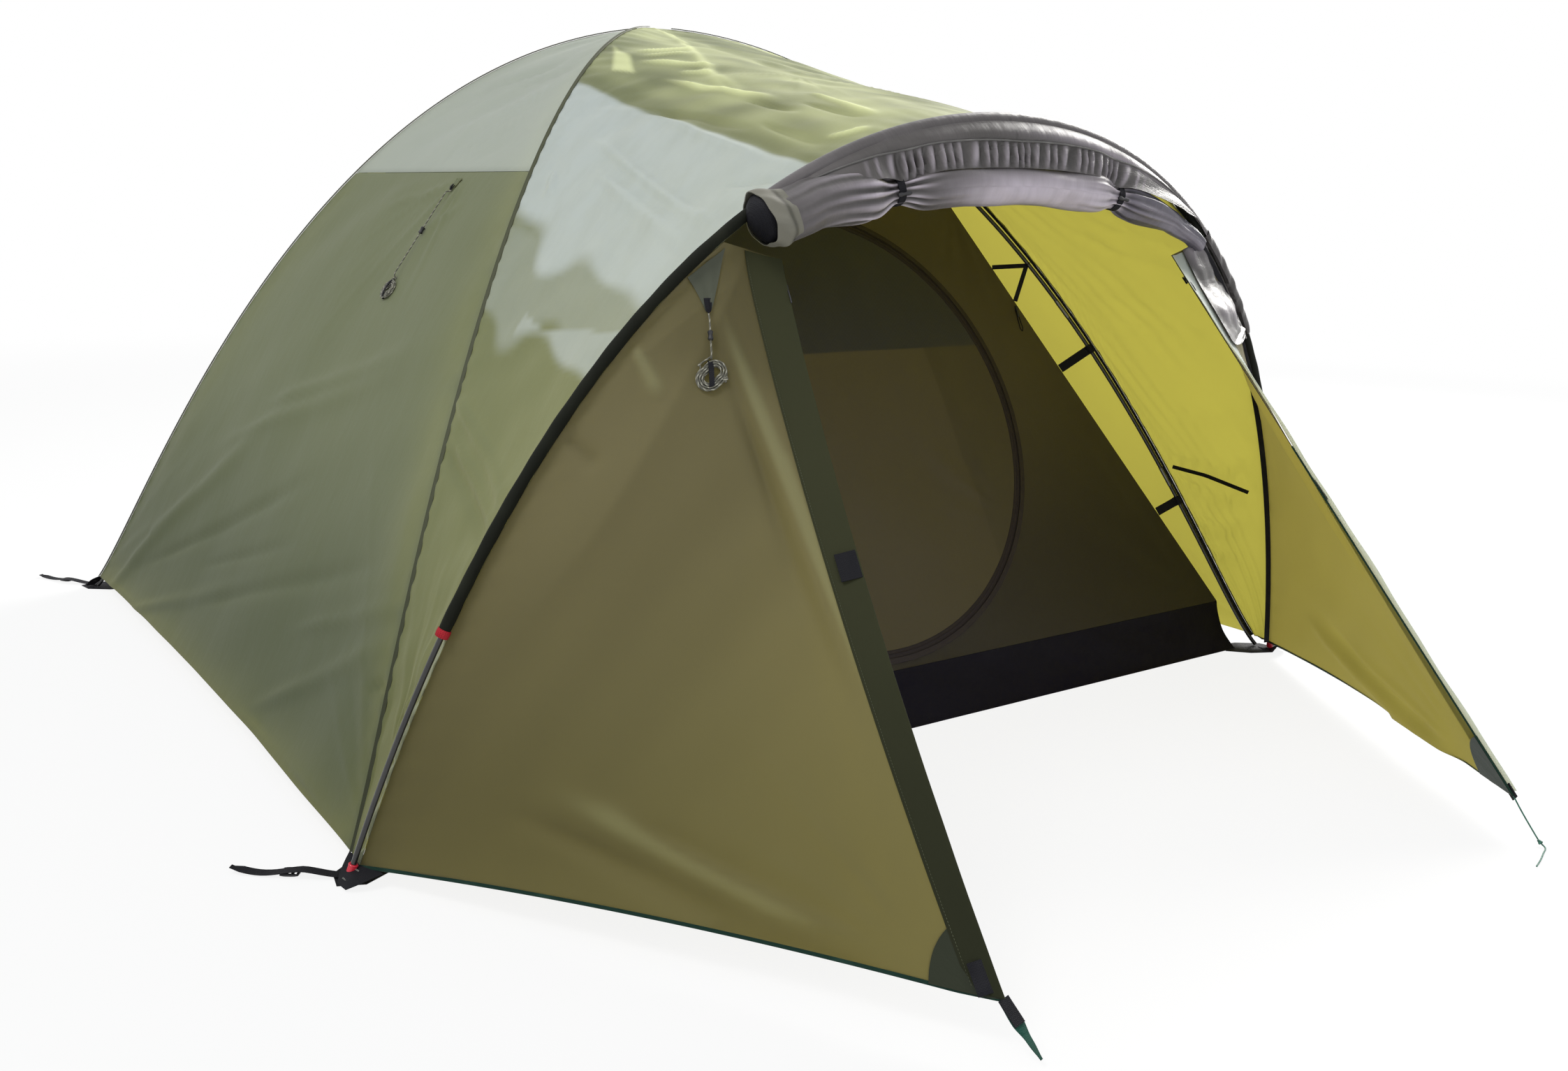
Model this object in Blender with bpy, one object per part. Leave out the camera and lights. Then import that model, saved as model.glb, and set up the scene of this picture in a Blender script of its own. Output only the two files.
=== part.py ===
"""Pitched dome tent with a hooped porch: three poles, a flysheet, a hanging inner tent and its fittings.

Metres, +Z up. The origin is on the ground under the pole crossing, the porch faces -Y, and every
piece of cloth is a closed sheet FABRIC thick whose seams keep a small allowance to the next one.
"""

from math import acos, cos, exp, pi, radians, sin

import bmesh
import bpy
from mathutils import Vector
from mathutils.bvhtree import BVHTree

# Clearances
GAP = 0.0003
SEAM = 0.0007
CLOTH_GAP = 0.0005

# Poles
POLE_RADIUS = 0.00425
DOME_WIDTH = 2.10
DOME_DEPTH = 1.83
DOME_HEIGHT = 1.314
DOME_FOOT_LEAN = radians(50.5)
DOME_FOOT_PULL = 0.146
DOME_TOP_PULL = 0.820
DOME_TOP_FALL = 0.036
HOOP_WIDTH = 2.12
HOOP_AHEAD = 0.025
HOOP_REACH = 0.170
HOOP_HEIGHT = 1.097
HOOP_FOOT_LEAN = radians(15.9)
HOOP_FOOT_PULL = 0.655
HOOP_TOP_PULL = 0.552
POLE_SIDES = 8

# Flysheet
FABRIC = 0.001
HEM_HEIGHT = 0.022
HEM_RISE = 0.013
ROOF_SEAM_SHARE = 0.761
ROOF_SEAM_HEIGHT = DOME_HEIGHT * ROOF_SEAM_SHARE
RIDGE_STANDOFF = 0.0095
SLEEVE_RADIUS = 0.009
SLEEVE_END_HEIGHT = 0.372
SLEEVE_TRIM = 0.012
SIDE_ROWS = 9
ROOF_ROWS = 6
SIDE_COLUMNS = 8
FRONT_COLUMNS = 7
WING_COLUMNS = 7
WING_ROWS = 14

# Porch door, its hood and its ties
DOOR_TOP_HALF = 0.53
DOOR_CORNER_HALF = 0.435
DOOR_CORNER_HEIGHT = 0.885
DOOR_CORNER_FRONT = 0.012
WING_TIP_HALF = 0.56
WING_TIP_AHEAD = 0.84
WING_TIP_HEIGHT = 0.06
PEG_HALF = 0.545
PEG_AHEAD = 0.90
EDGE_SAG = 0.016
WING_HEM_SAG = 0.014
FLAP_WIDTH = 0.058
HOOD_RADIUS = 0.0112
ROLL_RADIUS = 0.034
ROLL_WAIST = 0.021
ROLL_WAIST_FLARE = 0.030
ROLL_DROP = 0.094
ROLL_END_DROP = 0.046
ROLL_END_HALF = 0.42
ROLL_FORWARD = 0.022
ROLL_SIDES = 12
HOOD_CLEARANCE = 0.0023
ROLL_RINGS = 22
TIE_AT = 0.24
TIE_WIDTH = 0.014
TIE_THICKNESS = 0.0015
TOGGLE_LENGTH = 0.026
TOGGLE_RADIUS = 0.0035

# Inner tent
FLOOR_INSIDE_FEET_X = 0.060
FLOOR_INSIDE_FEET_Y = 0.015
FLOOR_HALF_WIDTH = DOME_WIDTH / 2 - FLOOR_INSIDE_FEET_X
FLOOR_HALF_DEPTH = DOME_DEPTH / 2 - FLOOR_INSIDE_FEET_Y
TRAY_IN_X = 0.025
TRAY_IN_Y = 0.042
TRAY_HALF_WIDTH = FLOOR_HALF_WIDTH - TRAY_IN_X
TRAY_HALF_DEPTH = FLOOR_HALF_DEPTH - TRAY_IN_Y
TRAY_HEIGHT = 0.105
FLOOR_THICKNESS = 0.0015
INNER_STANDOFF = 0.035
KNEE_SHARE_OF_HEIGHT = 0.761
KNEE_HEIGHT = DOME_HEIGHT * KNEE_SHARE_OF_HEIGHT
DOORWAY_CENTRE_X = 0.04
DOORWAY_UP_SHARE = 0.48
DOORWAY_RADIUS_SHARE = 0.45
DOORWAY_HINGE_SHARE = 2 / 3
ZIP_HALF_WIDTH = 0.008
ZIP_END = radians(128)
ZIP_STEPS = 44
SLIDER_START = radians(-120)

# Webbing, cords and small fittings
WEBBING = 0.0015
STRAP_WIDTH = 0.020
HOOK_LENGTH = 0.020
HOOK_WALL = 0.0018
HOOK_HEIGHTS = {"lower": KNEE_HEIGHT * 0.33, "upper": KNEE_HEIGHT * 0.66}
V_STRAP_HEIGHT = KNEE_HEIGHT * 0.84
V_STRAP_SPREAD = 0.045
CORD_RADIUS = 0.0012
CORD_STANDOFF = 0.009
HANK_TURNS = 3
HANK_LEG = 0.014
HANK_FOLD = 0.0073
HANK_PITCH = 0.0036


def remove_everything():
    for item in list(bpy.data.objects):
        bpy.data.objects.remove(item, do_unlink=True)


remove_everything()


def material(name, colour, roughness=0.8, metallic=0.0):
    made = bpy.data.materials.new(name)
    made.use_nodes = True
    shader = made.node_tree.nodes["Principled BSDF"]
    shader.inputs["Base Color"].default_value = (*colour, 1.0)
    shader.inputs["Roughness"].default_value = roughness
    shader.inputs["Metallic"].default_value = metallic
    return made


OLIVE = material("fly_olive", (0.15, 0.17, 0.09))
SAGE = material("fly_sage", (0.38, 0.41, 0.35), 0.6)
KHAKI = material("wing_khaki", (0.17, 0.14, 0.06))
HOOD_GREY = material("hood_grey", (0.13, 0.11, 0.12), 0.5)
INNER_BROWN = material("inner_brown", (0.07, 0.055, 0.03))
MESH_BLACK = material("mesh_black", (0.03, 0.03, 0.035))
FLOOR_NAVY = material("floor_navy", (0.008, 0.007, 0.014), 0.5)
BLACK_WEB = material("webbing_black", (0.012, 0.012, 0.014))
RED = material("trim_red", (0.55, 0.02, 0.03), 0.6)
TEAL = material("ribbon_teal", (0.02, 0.12, 0.08))
CORD = material("guy_cord", (0.22, 0.21, 0.16))
FIBREGLASS = material("pole_black", (0.02, 0.02, 0.02), 0.35)
PLASTIC = material("fitting_black", (0.015, 0.015, 0.015), 0.4)
ZIP = material("zip_maroon", (0.06, 0.01, 0.015), 0.5)


def named_object(name, vertices, faces, finish, pivot=None, smooth=True):
    """A closed mesh object whose origin is the pivot, with its faces turned outwards."""
    pivot = pivot or Vector((0, 0, 0))
    mesh = bpy.data.meshes.new(name)
    mesh.from_pydata([tuple(Vector(v) - pivot) for v in vertices], [], faces)
    shape = bmesh.new()
    shape.from_mesh(mesh)
    bmesh.ops.remove_doubles(shape, verts=shape.verts, dist=0.00002)
    bmesh.ops.recalc_face_normals(shape, faces=shape.faces)
    shape.to_mesh(mesh)
    shape.free()
    mesh.materials.append(finish)
    if smooth:
        mesh.shade_smooth()
        mesh.set_sharp_from_angle(angle=radians(35))
    made = bpy.data.objects.new(name, mesh)
    made.location = pivot
    bpy.context.collection.objects.link(made)
    return made


def prism(name, outline, along, finish, pivot=None):
    """The flat outline, a list of points, made a solid by the vector along."""
    along = Vector(along)
    count = len(outline)
    vertices = [Vector(p) for p in outline] + [Vector(p) + along for p in outline]
    sides = [(i, (i + 1) % count, count + (i + 1) % count, count + i) for i in range(count)]
    ends = [tuple(range(count)), tuple(range(2 * count - 1, count - 1, -1))]
    return named_object(name, vertices, sides + ends, finish, pivot, smooth=False)


def frames(path):
    """A tangent and two cross directions at each point, carried along without twist."""
    tangents = []
    for i in range(len(path)):
        ahead, behind = path[min(i + 1, len(path) - 1)], path[max(i - 1, 0)]
        tangents.append((ahead - behind).normalized())
    start = Vector((0, 0, 1)) if abs(tangents[0].z) < 0.9 else Vector((0, 1, 0))
    side = tangents[0].cross(start).normalized()
    found = []
    for tangent in tangents:
        side = (side - tangent * side.dot(tangent)).normalized()
        found.append((tangent, side, tangent.cross(side)))
    return found


def ring(centre, side, up, radius, sides):
    turns = [2 * pi * k / sides for k in range(sides)]
    return [centre + radius * (cos(a) * side + sin(a) * up) for a in turns]


def tube(name, path, radii, finish, sides=POLE_SIDES, bore=None, pivot=None):
    """A round bar along the path, or with a bore a hollow one, with flat ends."""
    cross = frames(path)
    vertices = []
    for centre, radius, (_, side, up) in zip(path, radii, cross):
        vertices += ring(centre, side, up, radius, sides)
    faces = []
    for i in range(len(path) - 1):
        for k in range(sides):
            n = (k + 1) % sides
            faces.append((i * sides + k, i * sides + n, (i + 1) * sides + n, (i + 1) * sides + k))
    last = (len(path) - 1) * sides
    if bore is None:
        faces += [tuple(range(sides)), tuple(range(last, last + sides))]
        return named_object(name, vertices, faces, finish, pivot)
    start = len(vertices)
    for centre, radius, (_, side, up) in zip(path, bore, cross):
        vertices += ring(centre, side, up, radius, sides)
    faces += [tuple(start + v for v in face) for face in list(faces)]
    for first in (0, last):
        for k in range(sides):
            n = (k + 1) % sides
            faces.append((first + k, first + n, start + first + n, start + first + k))
    return named_object(name, vertices, faces, finish, pivot)


def grid_normals(grid, wraps=False):
    rows, columns = len(grid), len(grid[0])
    normals = [[None] * columns for _ in range(rows)]
    for i in range(rows):
        for j in range(columns):
            up = grid[min(i + 1, rows - 1)][j] - grid[max(i - 1, 0)][j]
            if wraps:
                across = grid[i][(j + 1) % columns] - grid[i][j - 1]
            else:
                across = grid[i][min(j + 1, columns - 1)] - grid[i][max(j - 1, 0)]
            normals[i][j] = up.cross(across)
    for i in range(rows):
        if all((grid[i][j] - grid[i][0]).length < 1e-6 for j in range(columns)):
            near = normals[i - 1] if i else normals[1]
            total = sum((n.normalized() for n in near), Vector())
            normals[i] = [total] * columns
    return [[n.normalized() for n in row] for row in normals]


def sheet(name, grid, finish, thickness=FABRIC, wraps=False, stand_off=0.0):
    """A cloth panel: the grid of mid-surface points thickened to a closed sheet."""
    rows, columns = len(grid), len(grid[0])
    normals = grid_normals(grid, wraps)
    vertices = []
    for level in (stand_off + thickness / 2, stand_off - thickness / 2):
        vertices += [grid[i][j] + normals[i][j] * level for i in range(rows) for j in range(columns)]
    lower = rows * columns
    spans = columns if wraps else columns - 1
    faces = []
    for i in range(rows - 1):
        for j in range(spans):
            n = (j + 1) % columns
            a, b, c, d = i * columns + j, i * columns + n, (i + 1) * columns + n, (i + 1) * columns + j
            for triangle in ((a, b, c), (a, c, d)):
                faces += [triangle, tuple(lower + v for v in triangle)]
    for i in (0, rows - 1):
        for j in range(spans):
            a, b = i * columns + j, i * columns + (j + 1) % columns
            faces.append((a, b, lower + b, lower + a))
    if not wraps:
        for j in (0, columns - 1):
            for i in range(rows - 1):
                a, b = i * columns + j, (i + 1) * columns + j
                faces.append((a, b, lower + b, lower + a))
    return named_object(name, vertices, faces, finish)


def inset(grid, first_row=0.0, last_row=0.0, first_column=0.0, last_column=0.0):
    """The grid with its edges drawn in by the seam allowances given."""
    made = [[p.copy() for p in row] for row in grid]

    def draw_in(edge, inner, amount):
        return edge + (inner - edge).normalized() * amount

    for j in range(len(grid[0])):
        if first_row:
            made[0][j] = draw_in(grid[0][j], grid[1][j], first_row)
        if last_row:
            made[-1][j] = draw_in(grid[-1][j], grid[-2][j], last_row)
    for i, row in enumerate(grid):
        if first_column:
            made[i][0] = made[i][0] + (row[1] - row[0]).normalized() * first_column
        if last_column:
            made[i][-1] = made[i][-1] + (row[-2] - row[-1]).normalized() * last_column
    return made


def grid_point(grid, i, j):
    """The point and the unit normal of the panel at fractional row i and column j."""
    i0, j0 = min(int(i), len(grid) - 2), min(int(j), len(grid[0]) - 2)
    a, b = i - i0, j - j0
    low = grid[i0][j0].lerp(grid[i0][j0 + 1], b)
    high = grid[i0 + 1][j0].lerp(grid[i0 + 1][j0 + 1], b)
    left = grid[i0][j0].lerp(grid[i0 + 1][j0], a)
    right = grid[i0][j0 + 1].lerp(grid[i0 + 1][j0 + 1], a)
    return low.lerp(high, a), (high - low).cross(right - left).normalized()


# Pole curves: each is a quarter arch from its foot, at 0, to its top, at 1.

HALF_DIAGONAL = Vector((DOME_WIDTH / 2, DOME_DEPTH / 2)).length


def arch(reach, height, lean, foot_pull, top_pull, fall, share):
    """The place and the outward normal on a quarter arch, in its own plane."""
    handles = (
        Vector((reach, 0)),
        Vector((reach - foot_pull * sin(lean), foot_pull * cos(lean))),
        Vector((top_pull, height - fall)),
        Vector((0, height)),
    )
    t, rest = share, 1 - share
    place = rest**3 * handles[0] + 3 * rest**2 * t * handles[1]
    place += 3 * rest * t**2 * handles[2] + t**3 * handles[3]
    slope = rest**2 * (handles[1] - handles[0]) + 2 * rest * t * (handles[2] - handles[1])
    slope += t**2 * (handles[3] - handles[2])
    return place, Vector((slope.y, -slope.x)).normalized()


def dome(corner, share, out=0.0, drop=0.0):
    """A point of the dome pole over a corner, (-1, -1) at the front left."""
    place, normal = arch(
        HALF_DIAGONAL, DOME_HEIGHT, DOME_FOOT_LEAN, DOME_FOOT_PULL, DOME_TOP_PULL, DOME_TOP_FALL, share
    )
    if share == 1:
        normal = Vector((0, 1))
    place = place + normal * out
    across = place.x / HALF_DIAGONAL
    height = place.y - drop * share**2
    return Vector((corner[0] * across * DOME_WIDTH / 2, corner[1] * across * DOME_DEPTH / 2, height))


HOOP_LENGTH = Vector((HOOP_REACH, HOOP_HEIGHT)).length
HOOP_UP = Vector((0, -HOOP_REACH, HOOP_HEIGHT)).normalized()
HOOP_FRONT = Vector((0, -HOOP_HEIGHT, -HOOP_REACH)).normalized()
HOOP_BASE = Vector((0, -DOME_DEPTH / 2 - HOOP_AHEAD, 0))


def hoop(side, share, out=0.0, front=0.0):
    """A point of the porch hoop, on the side -1 or 1, moved out of the arch or to the front."""
    place, normal = arch(
        HOOP_WIDTH / 2, HOOP_LENGTH, HOOP_FOOT_LEAN, HOOP_FOOT_PULL, HOOP_TOP_PULL, 0.0, share
    )
    if share == 1:
        normal = Vector((0, 1))
    place = place + normal * out
    return HOOP_BASE + Vector((side * place.x, 0, 0)) + HOOP_UP * place.y + HOOP_FRONT * front


def share_where(reached):
    """The share of a quarter arch at which the growing measure passes zero."""
    low, high = 0.0, 1.0
    for _ in range(50):
        middle = (low + high) / 2
        if reached(middle) < 0:
            low = middle
        else:
            high = middle
    return (low + high) / 2


def shares(start, end, steps):
    return [start + (end - start) * i / steps for i in range(steps + 1)]


HEM_SHARE = share_where(lambda s: dome((1, 1), s).z - HEM_HEIGHT)
SEAM_SHARE = share_where(lambda s: dome((1, 1), s).z - ROOF_SEAM_HEIGHT)
KNEE_SHARE = share_where(lambda s: dome((1, 1), s, -INNER_STANDOFF).z - KNEE_HEIGHT)
HOOP_HEM_SHARE = share_where(lambda s: hoop(1, s).z - HEM_HEIGHT)
HOOP_DOOR_SHARE = share_where(lambda s: DOOR_TOP_HALF - hoop(1, s).x)
SLEEVE_SHARE = share_where(lambda s: hoop(1, s).z - SLEEVE_END_HEIGHT)
FRONT_LEFT, FRONT_RIGHT, BACK_LEFT, BACK_RIGHT = (-1, -1), (1, -1), (-1, 1), (1, 1)

# Poles: fibreglass rods bent from corner to corner and crossing under the peak

POLE_STEPS = 22
CROSSING_DROP = POLE_RADIUS * 2 + GAP


def foot_height(lean):
    """The height of a leaning rod's end, so that its lowest edge stands on the corner webbing."""
    return WEBBING + 2 * GAP + POLE_RADIUS * sin(lean)


DOME_FOOT_SHARE = share_where(lambda s: dome((1, 1), s).z - foot_height(DOME_FOOT_LEAN))
pole_paths = {}
for pole_name, start, end, drop in (
    ("dome_pole_lower", BACK_LEFT, FRONT_RIGHT, CROSSING_DROP),
    ("dome_pole_upper", FRONT_LEFT, BACK_RIGHT, 0.0),
):
    rise = [dome(start, s, drop=drop) for s in shares(DOME_FOOT_SHARE, 1, POLE_STEPS)]
    fall = [dome(end, s, drop=drop) for s in shares(1, DOME_FOOT_SHARE, POLE_STEPS)[1:]]
    tube(pole_name, rise + fall, [POLE_RADIUS] * len(rise + fall), FIBREGLASS)
    pole_paths[start] = rise
    pole_paths[end] = list(reversed(fall))

HOOP_FOOT_SHARE = share_where(lambda s: hoop(1, s).z - foot_height(HOOP_FOOT_LEAN))
HOOP_STEPS = 28
hoop_shares = shares(HOOP_FOOT_SHARE, 1, HOOP_STEPS)
hoop_path = [hoop(-1, s) for s in hoop_shares] + [hoop(1, s) for s in reversed(hoop_shares[:-1])]
tube("hoop_pole", hoop_path, [POLE_RADIUS] * len(hoop_path), FIBREGLASS)

# Sleeves: black tubes of cloth sewn to the fly, which end in red webbing above the bare pole.
# Each uses the pole's own points, so that its bore clears the pole by the same gap all along.

SLEEVE_BORE = POLE_RADIUS / cos(pi / POLE_SIDES) + 2 * GAP
FOOT_CAP_RADIUS = 0.007
FOOT_CAP_RISE = 0.002
FOOT_CAP_LENGTH = 0.024
SLEEVE_END_RADIUS = 0.0104
sleeve_first = min(i for i in range(HOOP_STEPS) if hoop(1, hoop_shares[i]).z > SLEEVE_END_HEIGHT)
for side, word in ((-1, "left"), (1, "right")):
    points = hoop_path if side < 0 else list(reversed(hoop_path))
    covered = [p.copy() for p in points[sleeve_first : HOOP_STEPS + 1]]
    covered[-1] += (covered[-2] - covered[-1]).normalized() * SEAM
    tube(
        f"sleeve_{word}", covered, [SLEEVE_RADIUS] * len(covered), BLACK_WEB,
        bore=[SLEEVE_BORE] * len(covered),
    )
    down = (points[sleeve_first - 1] - points[sleeve_first]).normalized()
    trim = [covered[0] + down * (SEAM + SLEEVE_TRIM), covered[0] + down * SEAM]
    tube(
        f"sleeve_end_{word}", trim, [SLEEVE_END_RADIUS] * 2, RED, bore=[SLEEVE_BORE + GAP] * 2
    )
    up = (points[1] - points[0]).normalized()
    cap = [points[0] + up * FOOT_CAP_RISE, points[0] + up * (FOOT_CAP_RISE + FOOT_CAP_LENGTH)]
    tube(f"pole_cap_{word}", cap, [FOOT_CAP_RADIUS] * 2, RED, bore=[SLEEVE_BORE - GAP] * 2)

# Flysheet: the sage roof, three olive sides and the front that runs out to the hoop


def ridge(corner, share):
    return dome(corner, share, RIDGE_STANDOFF)


HOOP_SEAM_IN = SLEEVE_RADIUS + 2 * GAP + FABRIC / 2


def hoop_seam(side, share):
    return hoop(side, share, -HOOP_SEAM_IN)


side_shares = shares(HEM_SHARE, SEAM_SHARE, SIDE_ROWS)
roof_shares = shares(SEAM_SHARE, 1, ROOF_ROWS)
HEM_MIDDLE_SHARE = share_where(lambda s: dome((1, 1), s).z - HEM_HEIGHT - HEM_RISE)


def side_grid(first, second):
    grid = []
    for i, share in enumerate(side_shares):
        row = []
        for u in shares(0, 1, SIDE_COLUMNS):
            lift = (HEM_MIDDLE_SHARE - HEM_SHARE) * 4 * u * (1 - u) * (1 - i / SIDE_ROWS)
            row.append(ridge(first, share + lift).lerp(ridge(second, share + lift), u))
        grid.append(row)
    return grid


side_left = side_grid(FRONT_LEFT, BACK_LEFT)
for side_name, grid in (
    ("fly_side_left", side_left),
    ("fly_side_back", side_grid(BACK_LEFT, BACK_RIGHT)),
    ("fly_side_right", side_grid(BACK_RIGHT, FRONT_RIGHT)),
):
    sheet(side_name, inset(grid, 0, SEAM, SEAM, SEAM), OLIVE)

roof_grid = []
for share in roof_shares:
    row = []
    for first, second in ((FRONT_LEFT, BACK_LEFT), (BACK_LEFT, BACK_RIGHT), (BACK_RIGHT, FRONT_RIGHT)):
        row += [ridge(first, share).lerp(ridge(second, share), u) for u in shares(0, 1, SIDE_COLUMNS)[:-1]]
    roof_grid.append(row + [ridge(FRONT_RIGHT, share)])
sheet("fly_roof", inset(roof_grid, SEAM, 0, SEAM, SEAM), SAGE)


def hoop_share_beside(share):
    """The share of the hoop that the front panel joins to a share of the dome pole."""
    return HOOP_HEM_SHARE + (1 - HOOP_HEM_SHARE) * (share - HEM_SHARE) / (1 - HEM_SHARE)


front_shares = side_shares + roof_shares[1:]


def front_row(side, share):
    inner, outer = ridge((side, -1), share), hoop_seam(side, hoop_share_beside(share))
    return [inner.lerp(outer, u) for u in shares(0, 1, FRONT_COLUMNS)]


front_grid = [front_row(-1, s) for s in front_shares]
front_grid += [front_row(1, s) for s in reversed(front_shares[:-1])]
sheet("fly_front", inset(front_grid, 0, 0, SEAM, SEAM), OLIVE)

# Porch: a wing each side from the hoop down to a peg, with a storm flap over its front edge

wing_shares = [hoop_share_beside(s) for s in front_shares]
wing_shares = [s for s in wing_shares if s < HOOP_DOOR_SHARE - 0.01] + [HOOP_DOOR_SHARE]


def wing_tip(side):
    return Vector((side * WING_TIP_HALF, -DOME_DEPTH / 2 - WING_TIP_AHEAD, WING_TIP_HEIGHT))


def door_corner(side):
    up = HOOP_UP * (DOOR_CORNER_HEIGHT / HOOP_UP.z)
    return HOOP_BASE + up + HOOP_FRONT * DOOR_CORNER_FRONT + Vector((side * DOOR_CORNER_HALF, 0, 0))


def wing_edge(side, f):
    """The front edge of a wing, from its tip at 0 to the door's corner at 1, cut to a slight hollow."""
    tip, corner = wing_tip(side), door_corner(side)
    straight = tip.lerp(corner, f)
    hollow = hoop_seam(side, (wing_shares[0] + wing_shares[-1]) / 2) - tip.lerp(corner, 0.5)
    hollow -= (corner - tip) * hollow.dot(corner - tip) / (corner - tip).length_squared
    return straight + hollow.normalized() * EDGE_SAG * 4 * f * (1 - f)


def wing_grid(side):
    grid = []
    for share in wing_shares:
        f = (share - wing_shares[0]) / (wing_shares[-1] - wing_shares[0])
        back, edge = hoop_seam(side, share), wing_edge(side, f)
        run = edge - back
        flap = run.normalized() * FLAP_WIDTH
        lift = Vector((0, 0, 4 * WING_HEM_SAG * (1 - f) ** 3))
        row = [back + (run - flap) * u + lift * u * (1 - u) for u in shares(0, 1, WING_COLUMNS)]
        grid.append(row + [edge - flap / 2, edge])
    return grid


wings = {}
for side, word in ((-1, "left"), (1, "right")):
    grid = wing_grid(side)
    wings[word] = grid
    sheet(f"wing_{word}", inset(grid, 0, 0, SEAM, 0), KHAKI)
    flap = [row[-3:] for row in grid]
    sheet(f"storm_flap_{word}", flap, OLIVE, stand_off=side * (FABRIC + CLOTH_GAP))

# Hood: grey cloth over the sleeve from corner to corner, hanging down to the rolled-up door

ROLL_END_SHARE = share_where(lambda s: ROLL_END_HALF - hoop(1, s).x)
HOOD_STEPS = 14


def roll_drop(side, share):
    """How far the roll's middle line hangs inside the hoop: least at its ends."""
    along = min(1.0, hoop(1, share).x / ROLL_END_HALF)
    return ROLL_DROP + (ROLL_END_DROP - ROLL_DROP) * along**2


def both_sides(start, steps):
    """Stations (side, share) from the left, over the top, to the right."""
    run = shares(start, 1, steps)
    return [(-1, s) for s in run] + [(1, s) for s in reversed(run[:-1])]


hood_grid = []
for side, share in both_sides(HOOP_DOOR_SHARE, HOOD_STEPS):
    wrap = [pi - k * pi / 4 for k in range(5)]
    profile = [(HOOD_RADIUS * sin(a), HOOD_RADIUS * cos(a)) for a in wrap]
    middle = Vector((-roll_drop(side, share), ROLL_FORWARD))
    front = Vector(profile[-1])
    edge = middle + (front - middle).normalized() * (ROLL_RADIUS + HOOD_CLEARANCE)
    profile += [tuple(front.lerp(edge, 0.5) + Vector((0, 0.004))), tuple(edge)]
    hood_grid.append([hoop(side, share, n, f) for n, f in profile])
sheet("hood", hood_grid, HOOD_GREY)

# Rolled-up porch door: a soft sausage of cloth drawn in at its two ties


def roll_radius(x):
    away = max(0.0, abs(abs(x) - TIE_AT) - TIE_WIDTH)
    waist = exp(-((away / ROLL_WAIST_FLARE) ** 2))
    return ROLL_RADIUS - (ROLL_RADIUS - ROLL_WAIST) * waist


def roll_point(side, share):
    return hoop(side, share, -roll_drop(side, share), ROLL_FORWARD)


roll_path = [roll_point(side, share) for side, share in both_sides(ROLL_END_SHARE, ROLL_RINGS)]
tube("door_roll", roll_path, [roll_radius(p.x) for p in roll_path], HOOD_GREY, sides=ROLL_SIDES)

for side, word in ((-1, "left"), (1, "right")):
    at = share_where(lambda s: TIE_AT - abs(roll_point(1, s).x))
    centre = roll_point(side, at)
    along = (roll_point(side, at + 0.01) - roll_point(side, at - 0.01)).normalized()
    band = [centre - along * TIE_WIDTH / 2, centre + along * TIE_WIDTH / 2]
    bore = ROLL_WAIST + 3 * GAP
    tube(
        f"door_tie_{word}", band, [bore + TIE_THICKNESS] * 2, BLACK_WEB,
        sides=ROLL_SIDES, bore=[bore] * 2,
    )
    reach = (bore + TIE_THICKNESS) * cos(pi / ROLL_SIDES) + TOGGLE_RADIUS + 2 * GAP
    middle = centre + HOOP_FRONT * reach
    bar = [middle - along * TOGGLE_LENGTH / 2, middle + along * TOGGLE_LENGTH / 2]
    tube(f"door_toggle_{word}", bar, [TOGGLE_RADIUS] * 2, PLASTIC, pivot=middle)

# Inner tent: a tray floor, four flat walls to the knee and a mesh roof hung under the poles


def tray():
    inner = 2 * FLOOR_THICKNESS
    levels = (
        (FLOOR_HALF_WIDTH, FLOOR_HALF_DEPTH, 0.0),
        (TRAY_HALF_WIDTH, TRAY_HALF_DEPTH, TRAY_HEIGHT),
        (TRAY_HALF_WIDTH - FLOOR_THICKNESS, TRAY_HALF_DEPTH - FLOOR_THICKNESS, TRAY_HEIGHT),
        (FLOOR_HALF_WIDTH - inner, FLOOR_HALF_DEPTH - inner, FLOOR_THICKNESS),
    )
    vertices = []
    for half_x, half_y, z in levels:
        vertices += [(x * half_x, y * half_y, z) for x, y in ((-1, -1), (1, -1), (1, 1), (-1, 1))]
    faces = [(3, 2, 1, 0), (12, 13, 14, 15)]
    for level in range(3):
        for k in range(4):
            a, b = 4 * level + k, 4 * level + (k + 1) % 4
            faces.append((a, b, b + 4, a + 4))
    named_object("groundsheet_tray", vertices, faces, FLOOR_NAVY, smooth=False)


tray()


def inner_ridge(corner, share):
    return dome(corner, share, -INNER_STANDOFF)


def knee(corner):
    point = inner_ridge(corner, KNEE_SHARE)
    return Vector((point.x, point.y, KNEE_HEIGHT))


def tray_corner(corner):
    half_x = TRAY_HALF_WIDTH - FABRIC / 2
    half_y = TRAY_HALF_DEPTH - FABRIC / 2
    return Vector((corner[0] * half_x, corner[1] * half_y, TRAY_HEIGHT + GAP))


WALL_ROWS = 4
for word, first, second in (
    ("left", FRONT_LEFT, BACK_LEFT),
    ("back", BACK_LEFT, BACK_RIGHT),
    ("right", BACK_RIGHT, FRONT_RIGHT),
):
    lows, highs = (tray_corner(first), tray_corner(second)), (knee(first), knee(second))
    grid = []
    for v in shares(0, 1, WALL_ROWS):
        left, right = lows[0].lerp(highs[0], v), lows[1].lerp(highs[1], v)
        grid.append([left.lerp(right, u) for u in shares(0, 1, WALL_ROWS)])
    sheet(f"inner_wall_{word}", inset(grid, 0, SEAM, SEAM, SEAM), INNER_BROWN)

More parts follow.
